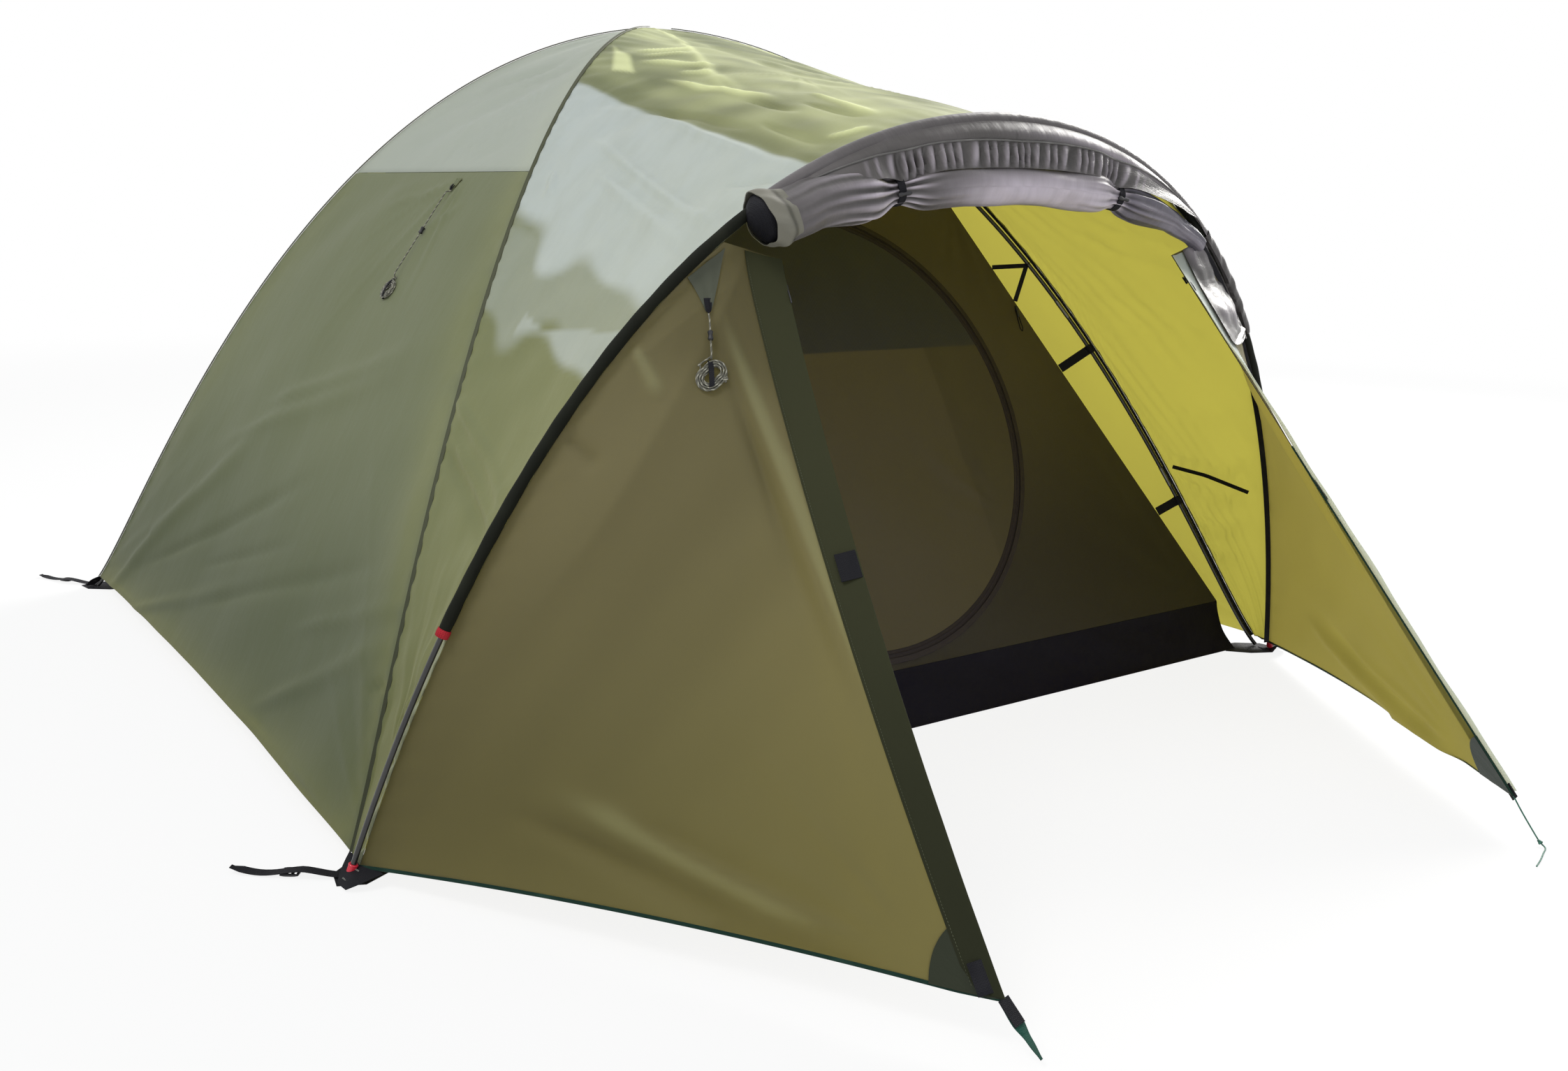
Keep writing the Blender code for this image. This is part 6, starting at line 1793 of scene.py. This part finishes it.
spokes = (
    np.cos(turn)[None, :, None] * first[:, None]
    + (np.sin(turn)[None, :] * squash)[..., None] * second[:, None]
)
rings = line[:, None] + HOOP_UP * sagging[:, None, None] + surface[..., None] * spokes
# Painted highlights on the pleats' ridges and along the roll's top; painted shade in the pleats' valleys and under
# the edge of the outer wrap.
painted_highlight = (
    np.clip(0.15 + gather * pleats[:, None] / 0.0034, 0, 1) * np.clip(pleats[:, None] * 1.6, 0, 1)
    * (1 + 0.5 * ease((-x - TIE_AT) / 0.04))[:, None]
)
upper = np.clip(np.cos(turn - 0.35), 0, 1)[None, :] ** 2 * (0.08 + 1.1 * ease((x + 0.22) / 0.22))[:, None]
dark = (
    np.clip(-gather * pleats[:, None] / 0.0034, 0, 0.85)
    + 0.7 * np.exp(-((lap - 0.985) / 0.012) ** 2) * (1 - waist)[:, None]
)
dusk = 0.9 * ease((x - TIE_AT - 0.004) / 0.02)[:, None] * np.ones(sides)[None, :]
# the wound ends: each layer of the roll a little further in than the one outside it
CAP_RINGS, WINDS, CAP_CUT = 34, 5.2, 0.03
layer = np.arange(CAP_RINGS)[:, None] / (CAP_RINGS - 1) * WINDS
spiral = np.abs((layer + turn / tau) % 1 - 0.5) * 2
shares = np.linspace(1, 0.06, CAP_RINGS)[:, None, None]
depth = (0.0022 * spiral ** 1.5 + 0.004 * (1 - shares[..., 0]))[..., None] * (shares < 1)
caps = [
    line[end] + (rings[end] - line[end]) * shares - tangent[end] * step * depth for end, step in (
        (0, -1), (-1, 1),
    )
]
full = np.concatenate([caps[0][::-1][:-1], rings, caps[1][1:]])


def pad(values, fill):
    """Values of the roll's side, with a fill for its wound ends."""
    ends = np.full((CAP_RINGS - 1, sides), fill)
    return np.concatenate([ends, values, ends])


# Painted shade between the layers of the wound ends.
layers = 0.75 * spiral ** 2
shade = np.concatenate([layers[::-1][:-1], dark, layers[1:]])
count = len(full)
faces = [tuple(q) for q in grid_faces(count, sides, True)]
faces += [tuple(range(sides))[::-1], tuple(range((count - 1) * sides, count * sides))]
probe, beside = full[count // 2], full[count // 2 + 1]
if np.dot(np.cross(probe[1] - probe[0], beside[0] - probe[0]), probe[0] - probe.mean(0)) < 0:
    faces = [face[::-1] for face in faces]
before, after = np.linspace(-CAP_CUT, 0, CAP_RINGS)[:-1], np.linspace(0, CAP_CUT, CAP_RINGS)[1:]
run = np.r_[before, x - x[0], x[-1] - x[0] + after]
uv = np.stack(np.broadcast_arrays((turn * 0.03)[None, :], run[:, None]), -1)
marks = {
    "sheen": pad(np.clip(np.maximum(painted_highlight, upper) * (1 - 0.8 * dusk), 0, 1), 0.1),
    "fold": np.clip(shade, 0, 1), "dusk": pad(dusk, 0.0)
}
shape = full.reshape(-1, 3), faces, uv.reshape(-1, 2)
roll = piece("door_roll_cloth", shape, [HOOD], marks, sharp=80, replaces=["door_roll"])


# Cuff and tail: the roll's loose left end is tucked into an open cuff of coated cloth, hemmed at its
# mouth. At the right the hood's band runs on down the hoop, hanging in loose folds.

CUFF = fly_cloth("cuff_cloth", (0.150, 0.145, 0.115), (0.26, 0.25, 0.21), 0.08, (0.3, 0.3, 0.2))
middle, way = line[0], -tangent[0]
steps = np.linspace(-0.012, 0.034, 16)
ring_at = middle + way * steps[:, None] + HOOP_UP * (0.010 * ease(steps / 0.04))[:, None]
swell = (
    0.0435 + 0.0025 * np.sin(steps * 110)[:, None] + 0.0022 * np.sin(turn * 3 + 1)[None, :]
    + 0.0014 * np.sin(turn * 7 + steps[:, None] * 90)
)
cuff = (
    ring_at[:, None]
    + swell[..., None] * (np.cos(turn)[None, :, None] * first[0] +
                          np.sin(turn)[None, :, None] * second[0] * 0.92)
)
probe = grid_normals(cuff, True)[8, 0]
if np.dot(probe, cuff[8, 0] - ring_at[8]) < 0:
    cuff = cuff[:, ::-1]
edge = np.exp(-((steps - 0.002) / 0.004) ** 2) * 0.9
cloth(
    "roll_cuff", cuff, CUFF, wraps=True, thick=0.0014,
    marks={"sheen": np.zeros(cuff.shape[:2]), "fold": edge[:, None] * np.ones((1, sides))},
)
inside = [ring_at[-1] + way * d for d in (-0.020, -0.004, 0.004, 0.012, 0.016)]
lining = tube(inside, [0.034, 0.0365, 0.030, 0.018, 0.005], 30)
tuck = piece("cuff_lining", lining, [BLACK_TAPE], sharp=80)

TAIL_END = share_where(lambda s: hoop(1, s)[2] - 0.735)
tail, run = [], np.linspace(DOOR_SHARE + 0.006, TAIL_END, 90)
for k, share in enumerate(run):
    angles, f = np.linspace(pi * 1.02, -0.10 * pi, 18), k / 89
    loose = HOOD_RADIUS + 0.0012 + 0.0018 * np.sin(f * 34 + angles * 3) * np.sin(f * 13 + 1) ** 2
    up_it = min(0.999, (share - HOOP_HEM) / (DOOR_SHARE - HOOP_HEM))
    wide = np.linalg.norm(wing_edge(1, up_it) - hoop_seam(1, share))
    lie = np.linspace(0.02, 1, 22) * (1 - 0.020 / wide) * (0.15 + 0.85 * ease((1 - f) / 0.30))
    lift = 0.006 + 0.004 * np.sin(pi * lie)
    over = wing_places(1, np.full(22, up_it), lie) + WING_OUT * lift[:, None]
    tail.append(np.concatenate([hoop(1, share, loose * np.sin(angles), loose * np.cos(angles)), over]))
tail = np.array(tail)
u, v = lengths(tail)
crumple = (
    waves(81, u, v, ((0.13, 0.0035), (0.05, 0.0016))) * ease((np.arange(40) - 17) / 4)[None, :]
    * ease((40 - np.arange(40)) / 5)[None, :]
)
# Painted highlights on the crumples' ridges, and painted shade where there are none.
shine = np.clip(crumple / 0.0085, 0, 1) * 0.4
if np.dot(grid_normals(tail)[45, 30], WING_OUT) < 0:
    tail, shine, crumple = tail[:, ::-1], shine[:, ::-1], crumple[:, ::-1]
tail = tail + grid_normals(tail) * crumple[..., None]
cloth(
    "hood_tail", tail, HOOD, thick=0.0009, marks={"sheen": shine, "fold": 0.3 * (1 - shine)},
)

for side, word in SIDES:
    at = share_where(lambda s: TIE_AT - abs(roll_line(1, s)[0]))
    centre = roll_line(side, at)
    way = unit(roll_line(side, at + 0.01) - roll_line(side, at - 0.01))
    front = unit(HOOP_FRONT - way * way.dot(HOOP_FRONT))
    across = np.cross(way, front)
    bend = np.linspace(0, tau, 73)
    band = [centre + (front * cos(a) + across * sin(a)) * (0.0227 + 0.0004 * sin(5 * a)) for a in bend]
    out = np.array([front * cos(a) + across * sin(a) for a in bend])
    points, faces, uv = tape(band, out, TIE_WIDTH, 0.0013)
    ring = points, faces[:-2], uv
    piece(f"door_tie_{word}_tape", ring, [BLACK_TAPE], replaces=[f"door_tie_{word}"])
    reach = (0.0219 + 0.0015) * cos(pi / 12) + 0.0035 + 0.0006
    middle = centre + HOOP_FRONT * reach
    bar = np.array([middle + way * (d - 0.013) for d, _ in TOGGLE])
    piece(
        f"door_toggle_{word}_bar", tube(bar, [r for _, r in TOGGLE], 14), [BLACK_PLASTIC],
        body=f"door_toggle_{word}", sharp=40, replaces=[f"door_toggle_{word}"],
    )

# Porch zips: a coil of nylon teeth sewn along each wing's front edge, with a moulded slider and its
# cord pull parked at the top, where the rolled door meets the wing.

PULL_PLATE = (0.0024, -0.007), (0.0030, -0.003), (0.0024, 0.001), (0.0030, 0.007)
BRIDGE = (-0.005, -0.001), (-0.003, 0.0025), (0.003, 0.0025), (0.005, -0.001)
PULL_TAIL = (0.004, 0.003), (0.010, 0.0052), (0.018, 0.0060), (0.027, 0.0056)

for side, word in SIDES:
    edge = unit(wing_edge(side, 0.75) - wing_edge(side, 0.95))
    middle = sum(np.array(c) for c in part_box(f"porch_zip_slider_{word}")) / 2
    off = unit(np.cross(edge, [0, 0, 1]))
    off = unit(np.cross(off, edge))
    across = np.cross(edge, off)
    shapes = []
    for lift in (-0.0022, 0.0012):
        shape = mirrored(PULL_PLATE)
        shapes.append(
            slab([middle + across * a + edge * b + off * lift for a, b in shape], off * 0.001, edge)
        )
    shapes.append(tube([middle + off * h + edge * b for b, h in BRIDGE], 0.0007, 8))
    shapes.append(
        tube(
            [middle - edge * 0.003 + off * -0.0015, middle - edge * 0.001, middle + edge * 0.001 + off * 0.0015],
            0.0013, 8,
        )
    )
    shapes.append(tube([middle + edge * b + off * h for b, h in PULL_TAIL], 0.0012, 8))
    piece(
        f"porch_slider_{word}", joined(*shapes), [BLACK_PLASTIC], body=f"porch_zip_slider_{word}",
        sharp=35, replaces=[f"porch_zip_slider_{word}"],
    )
    teeth = wing_edge(side, np.linspace(0.03, 0.985, 200))
    stitches(f"porch_zip_teeth_{word}", teeth, [0, -0.3, 0.95], 0.0030, 0.0040, 0.0014, COIL)

# Guy lines: a cloth tab sewn under a seam, a loop of tape, and a braided cord with a plastic runner.
# They aren't in use, so each is wound into a small hank and held with an elastic tie.

from mathutils import Matrix, Vector
from mathutils.bvhtree import BVHTree

CORD_RADIUS, RUNNER_LENGTH = 0.0012, 0.014
HANK_TURNS, HANK_LEG, HANK_FOLD, HANK_PITCH, HANK_STEPS = 3, 0.014, 0.0073, 0.0036, 24
HANK_WIDEST = HANK_FOLD + HANK_TURNS * HANK_PITCH
HANK_TIE = (
    (-HANK_WIDEST - 0.0026, -0.0006), (-HANK_WIDEST - 0.0022, 0.0028), (-HANK_WIDEST * 0.6, 0.0064),
    (0, 0.0070),
    (HANK_WIDEST * 0.6, 0.0064), (HANK_WIDEST + 0.0022, 0.0028), (HANK_WIDEST + 0.0026, -0.0006),
)
HANK_REST, CORD_STANDOFF = 0.0005 + CORD_RADIUS + 0.0006, 0.009


def braid(name, dark, pale, fleck):
    """Sixteen-strand braid: strands that cross both ways, with a paler tracer."""
    f = Finish(name)
    u, v, _ = f.parts(f.uv())
    one = ((u / CORD_RADIUS) * 4 + v * (tau / 0.0030)).sine()
    two = ((u / CORD_RADIUS) * 4 - v * (tau / 0.0030)).sine()
    strand = (one * two) * 0.5 + 0.5
    tracer = ((u / CORD_RADIUS) - v * (tau / 0.012)).sine().step(0.4, 0.8)
    soft = f.noise(f.place(), 90.0, 2)
    colour = f.blend(strand, dark, pale)
    return f.done(f.shell(
        Base_Color=f.blend(tracer * 0.8 + soft * 0.1, colour, fleck), Roughness=soft * 0.2 + 0.6,
        Normal=f.bump(strand, 0.0003, 0.8), Sheen_Weight=0.2,
    ))


GUY_CORD = braid("guy_cord", (0.030, 0.029, 0.020), (0.15, 0.145, 0.105), (0.38, 0.37, 0.30))
TEAL_CORD = braid("cord_teal", (0.006, 0.050, 0.032), (0.016, 0.11, 0.075), (0.05, 0.20, 0.14))
TAB_CLOTH = fly_cloth("tab_cloth", (0.058, 0.064, 0.044), (0.088, 0.095, 0.068), 0.06, (0.2, 0.2, 0.12))


def smooth_route(points, steps):
    """Points along a smooth curve through the route's own points."""
    points = [np.asarray(p, float) for p in points]
    ends = [points[0] * 2 - points[1]] + points + [points[-1] * 2 - points[-2]]
    made = []
    for i in range(1, len(ends) - 2):
        a, b, c, d = ends[i - 1 : i + 3]
        for k in range(steps):
            t = k / steps
            made.append(
                0.5 * (2 * b + (c - a) * t + (2 * a - 5 * b + 4 * c - d)
                       * t**2 + (3 * b - 3 * c + d - a) * t**3)
            )
    return np.array(made + [points[-1]])


def knot(name, at, way, radius, finish):
    """An overhand knot: a short cord wound tightly round itself."""
    way = unit(way)
    side = unit(np.cross(way, [0.3, 0.9, 0.2]))
    up = np.cross(way, side)
    t = np.linspace(0, tau, 60)
    wide = 1.15 * np.cos(t) * (1 + 0.3 * np.cos(3 * t))
    line = (
        at
        + radius * (np.outer(1.6 * np.sin(2 * t), way) +
                    np.outer(wide, side) + np.outer(0.9 * np.sin(3 * t), up))
    )
    return piece(name, tube(line, radius * 0.95, 8), [finish])


def hank_places():
    """A hank spiralling in on its lower layer, climbing, and spiralling out on the upper one."""
    spiral, half, places = HANK_TURNS * HANK_STEPS, HANK_STEPS // 2, []
    for step in range(2 * spiral + half + 1):
        inward = min(step, spiral, 2 * spiral + half - step)
        layer = min(1.0, max(0.0, (step - spiral) / half))
        radius = HANK_WIDEST - HANK_PITCH * inward / HANK_STEPS
        at = step % HANK_STEPS
        way = 1 if at < half else -1
        angle = pi * (at % half) / (half - 1)
        places.append((way * (HANK_LEG / 2 + radius * sin(angle)), -way * radius * cos(angle), layer))
    return places


def guy_line(word, grid, near, edge, tab_half, tab_length, rise_by,
             free_length, runner_at, lean, hank_turn, finish, shade):
    """A tab on the panel, its top along the edge, and one cord that hangs down the cloth into a hank."""
    rows, columns = grid.shape[:2]
    panel = BVHTree.FromPolygons(
        [Vector(p) for p in grid.reshape(-1, 3)],
        [tuple(int(k) for k in q) for q in grid_faces(rows, columns)],
    )
    top, out = (np.array(p) for p in panel.find_nearest(Vector(near))[:2])
    out = out * (-1 if out[0] > 0 else 1)
    down = np.array([0, lean, -1.0])
    down = unit(down - out * down.dot(out))
    across = unit(np.cross(down, out))

    def place(u, v, lift):
        return np.array(panel.find_nearest(Vector(top + across * u + down * v))[0]) + out * lift

    slope = np.dot(edge, down) / np.dot(edge, across)
    tab = []
    for f in np.linspace(0, 1, 24):
        half = tab_half + (0.004 - tab_half) * f
        tab.append(
            [
                place(
                    u * half, -rise_by + (tab_length + rise_by) * f + slope * u * half * (1 - f),
                    0.0026 + 0.0008 * cos(u * 6 + f * 5) * (1 - f),
                )
                for u in np.linspace(-1, 1, 20)
            ]
        )
    tab = np.array(tab)
    if np.dot(grid_normals(tab)[10, 10], out) < 0:
        tab = tab[:, ::-1]
    cloth(
        f"guy_tab_{word}_cloth", tab, finish, thick=0.0012,
        marks={"sheen": np.zeros(tab.shape[:2]), "fold": np.full(tab.shape[:2], shade)},
        replaces=[f"guy_tab_{word}"],
    )
    sewn, lip = tab_length * 0.55, tab_length * 0.85
    doubled = [
        (-0.003, sewn, 0.0030), (-0.002, lip, 0.0034), (0, tab_length + 0.0005, 0.0042), (0.002, lip, 0.0052),
        (0.003, sewn, 0.0034),
    ]
    loop = smooth_route([place(*at) for at in doubled], 5)
    piece(f"guy_loop_{word}", tape(loop, out, 0.006, 0.0009), [BLACK_TAPE])

    near_end = [(0, HANK_REST), (0.3, HANK_REST + 0.001), (0.7, CORD_STANDOFF - 0.001), (1, CORD_STANDOFF)]
    start = tab_length + 0.0006
    rise = [place(0, start + f * 0.014, high) for f, high in near_end]
    fall = [place(0, start + free_length - f * 0.014, high) for f, high in reversed(near_end)]
    middle = tab_length + free_length + 0.0012 + HANK_WIDEST + CORD_RADIUS
    bend = 0.0062
    turn_in = [
        (bend - bend * cos(q), -HANK_WIDEST - bend + bend * sin(q), 0)
        for q in np.linspace(0.0, pi / 2, 7)
    ]
    fall = fall[:-1] + [place(0, middle - HANK_WIDEST - bend - 0.0035, HANK_REST + 0.0008)]
    turned = [(u, v, layer) for u, v, layer in turn_in + hank_places()[1:]]
    loops = [
        place(
            u * cos(hank_turn) - v * sin(hank_turn), middle + u * sin(hank_turn) + v * cos(hank_turn),
            HANK_REST + 0.0003 + layer * HANK_PITCH,
        )
        for u, v, layer in turned
    ]
    straight = along(np.array([rise[-1], fall[0]]), 12)[1:-1]
    route = smooth_route(list(rise) + list(straight) + list(fall) + loops, 3)
    line = piece(
        f"guy_cord_{word}", tube(route, CORD_RADIUS, 8), [GUY_CORD], sharp=80,
        replaces=[f"guy_line_{word}", f"guy_hank_{word}"],
    )
    tail = knot(f"guy_knot_{word}", route[-1], route[-1] - route[-3], 0.0017, GUY_CORD)
    wrap = [place(0.0015, middle + v, HANK_REST + 0.0003 + high) for v, high in HANK_TIE]
    tie = piece(f"guy_tie_{word}", tape(smooth_route(wrap, 5), out, 0.0075, 0.0013), [BLACK_TAPE])
    ends = [
        rise[-1] + (fall[0] - rise[-1]) * runner_at + unit(fall[0] - rise[-1]) * k * RUNNER_LENGTH
        for k in np.linspace(-0.5, 0.5, 9)
    ]
    bead = tube(ends, [0.0030, 0.0041, 0.0038, 0.0033, 0.0031, 0.0033, 0.0038, 0.0041, 0.0030], 14)
    runner = piece(
        f"guy_runner_{word}_bead", bead, [BLACK_PLASTIC], body=f"guy_runner_{word}",
        sharp=40, replaces=[f"guy_runner_{word}"]
    )


guy_line(
    "side", fly_left, (-0.53, -0.165, 0.99), [0, 1, 0], 0.012, 0.022, 0.004, 0.21, 0.47, 0.08, 0.5, OLIVE,
    0.25,
)
guy_line(
    "front", left_wing, (-0.555, -1.087, 0.849), hoop(-1, 0.66) - hoop(-1, 0.64), 0.028, 0.042, 0.030, 0.075,
    0.5, 0.0, 0.8, TAB_CLOTH, 0.0,
)

# Peg lines: a teal ribbon on the left wing and a teal cord on the right one, from the tip to the peg,
# each starting in a loop of black tape.


def peg(side):
    return np.array([side * 0.545, -DOME_DEPTH / 2 - 0.90, 0])


top, foot = wing_tip(-1), peg(-1)
way = unit(foot - top)
side = unit(np.cross(np.cross(way, [1, 0, 0]), way))
end = foot - way * 0.012
share = np.linspace(0, 1, 40)
line = top + way * 0.0012 + (end - top - way * 0.0012) * share[:, None]
width = (
    0.016 + 0.003 * ease(share / 0.3) - 0.006 * ease((share - 0.35) / 0.3)
    - 0.008 * ease((share - 0.72) / 0.28)
)
flat_out = unit(np.cross(way, side))
twist = 0.35 * ease((share - 0.3) / 0.5)
normals = flat_out * np.cos(twist)[:, None] + side * np.sin(twist)[:, None]
points, faces, uv = tape(line, normals, 1.0, 0.0012)
ring = points.reshape(40, 8, 3)
spread = ring - line[:, None]
lateral = np.cross(unit(np.gradient(line, axis=0)), normals)
amount = (spread * lateral[:, None]).sum(-1, keepdims=True)
ring = line[:, None] + (spread - amount * lateral[:, None]) + amount * lateral[:, None] * width[:, None, None]
TEAL_TAPE = webbing("ribbon_teal", (0.008, 0.055, 0.038), (0.03, 0.14, 0.10), 0.0012)
shape = ring.reshape(-1, 3), faces, uv * [0.02, 1]
ribbon = piece("peg_ribbon", shape, [TEAL_TAPE], replaces=["peg_ribbon_left"])
loop = along(np.array([top + way * s for s in (-0.004, 0.012, 0.030)]), 10) + flat_out * 0.0016
piece("tip_loop_left", tape(loop, flat_out, 0.018, 0.0016), [BLACK_TAPE])

low = CORD_RADIUS + 0.0002
tip = wing_tip(1)
route = smooth_route([
    tip + [0, -0.0006, -0.0005], tip + [-0.004, -0.018, -0.019], tip + [-0.008, -0.040, -0.041],
    (0.546, -1.812, 0.006),
    (0.541, -1.824, low), (0.520, -1.832, low), (0.492, -1.842, low), (0.465, -1.850, low),
], 8)
line = piece(
    "peg_cord", tube(route, CORD_RADIUS, 10), [TEAL_CORD], sharp=80,
    replaces=["peg_cord_right"],
)
bend = knot("peg_cord_knot", route[24], route[26] - route[23], 0.0016, TEAL_CORD)
loop = along(np.array([tip + [0.004, 0.014, 0.012], tip + [0.0, -0.004, -0.004]]), 8)
piece("tip_loop_right", tape(loop, [0.9, -0.3, 0.3], 0.016, 0.0020), [BLACK_TAPE])

# Studio: the photograph's viewpoint, a white floor that keeps the tent's shadow, a plain pale world and
# soft lamps: one over the left shoulder, one behind at the right that shines through the fly.

SENSOR, PHOTO_WIDTH, FOCUS = 36, 2245, 2059.65
ROOM_WIDE, FLOOR_DROP = 40, 0.0006
WHITE = (1, 1, 1)

yaw, pitch, roll_turn = 0.6088, -0.2189, 0.0200
ahead = np.array([sin(yaw) * cos(pitch), cos(yaw) * cos(pitch), sin(pitch)])
right = np.array([cos(yaw), -sin(yaw), 0])
up = np.cross(right, ahead)
right, up = right * cos(roll_turn) + up * sin(roll_turn), up * cos(roll_turn) - right * sin(roll_turn)
lens = bpy.data.cameras.new("camera")
camera = placed("camera", lens)
lens.sensor_width, lens.lens = SENSOR, FOCUS / PHOTO_WIDTH * SENSOR
lens.shift_x, lens.shift_y = 38.3 / PHOTO_WIDTH, -23.9 / PHOTO_WIDTH
lens.clip_start, lens.clip_end = 0.05, 200
camera.matrix_world = Matrix([[right[k], up[k], -ahead[k], VIEWPOINT[k]] for k in range(3)] + [[0, 0, 0, 1]])
bpy.context.scene.camera = camera
bpy.context.scene.view_settings.view_transform = "Standard"


def seen(f):
    """1 for rays that reach the camera: straight, off a shine or through a clear thing."""
    straight, shine, clear = (
        f.node("LightPath", out=f"Is {kind} Ray")
        for kind in ("Camera", "Glossy", "Transmission")
    )
    return straight.larger(shine).larger(clear)


def paper():
    """White to the camera and to reflections, and a pale matt floor to the light."""
    f = Finish("floor_paper")
    x, y, _ = f.parts(f.place())
    far = (x * x + y * y).step(6.0, 60.0)
    matt = f.node("BsdfDiffuse", {}, {"Color": (0.80, 0.80, 0.80)})
    white = f.node("Emission", {}, {"Color": WHITE, "Strength": 1.0})
    return f.done(f.node("MixShader", {}, {0: seen(f) * (far * 0.14 + 0.86), 1: matt, 2: white}))


floor_mesh = bpy.data.meshes.new("floor")
floor_mesh.from_pydata(
    [(x * ROOM_WIDE, y * ROOM_WIDE, -FLOOR_DROP) for x, y in ((-1, -1), (1, -1), (1, 1), (-1, 1))], [],
    [(0, 1, 2, 3)],
)
floor_mesh.materials.append(paper())
floor = placed("floor", floor_mesh)

world = bpy.data.worlds.new("pale_room")
bpy.context.scene.world = world
f = Finish("", world)
room = f.node("Background", {}, {"Color": (0.93, 0.97, 1.0), "Strength": 0.54})
white = f.node("Background", {}, {"Color": WHITE, "Strength": 1.0})
f.node("OutputWorld", {}, {"Surface": f.node("MixShader", {}, {0: seen(f), 1: room, 2: white})})


def lamp(name, place, aim, size, power, colour):
    """A soft lamp of that size and power, aimed at a point."""
    light = bpy.data.lights.new(name, "AREA")
    light.shape, light.size, light.size_y = "RECTANGLE", size[0], size[1]
    light.energy, light.color = power, colour
    made = placed(name, light)
    made.location = place
    made.rotation_euler = (Vector(aim) - Vector(place)).to_track_quat("-Z", "Y").to_euler()


lamp("key", (-3.4, -1.0, 5.2), (-0.3, -0.4, 0.8), (1.8, 1.8), 140, (1.0, 0.99, 0.97))
lamp("through", (4.6, 0.6, 3.4), (0.5, -0.6, 0.5), (2.6, 2.6), 520, (1.0, 0.98, 0.94))
lamp("front", (-1.0, -6.0, 2.4), (0.0, 0.0, 0.4), (3.0, 2.0), 40, (1.0, 1.0, 1.0))

low, high = cad_box
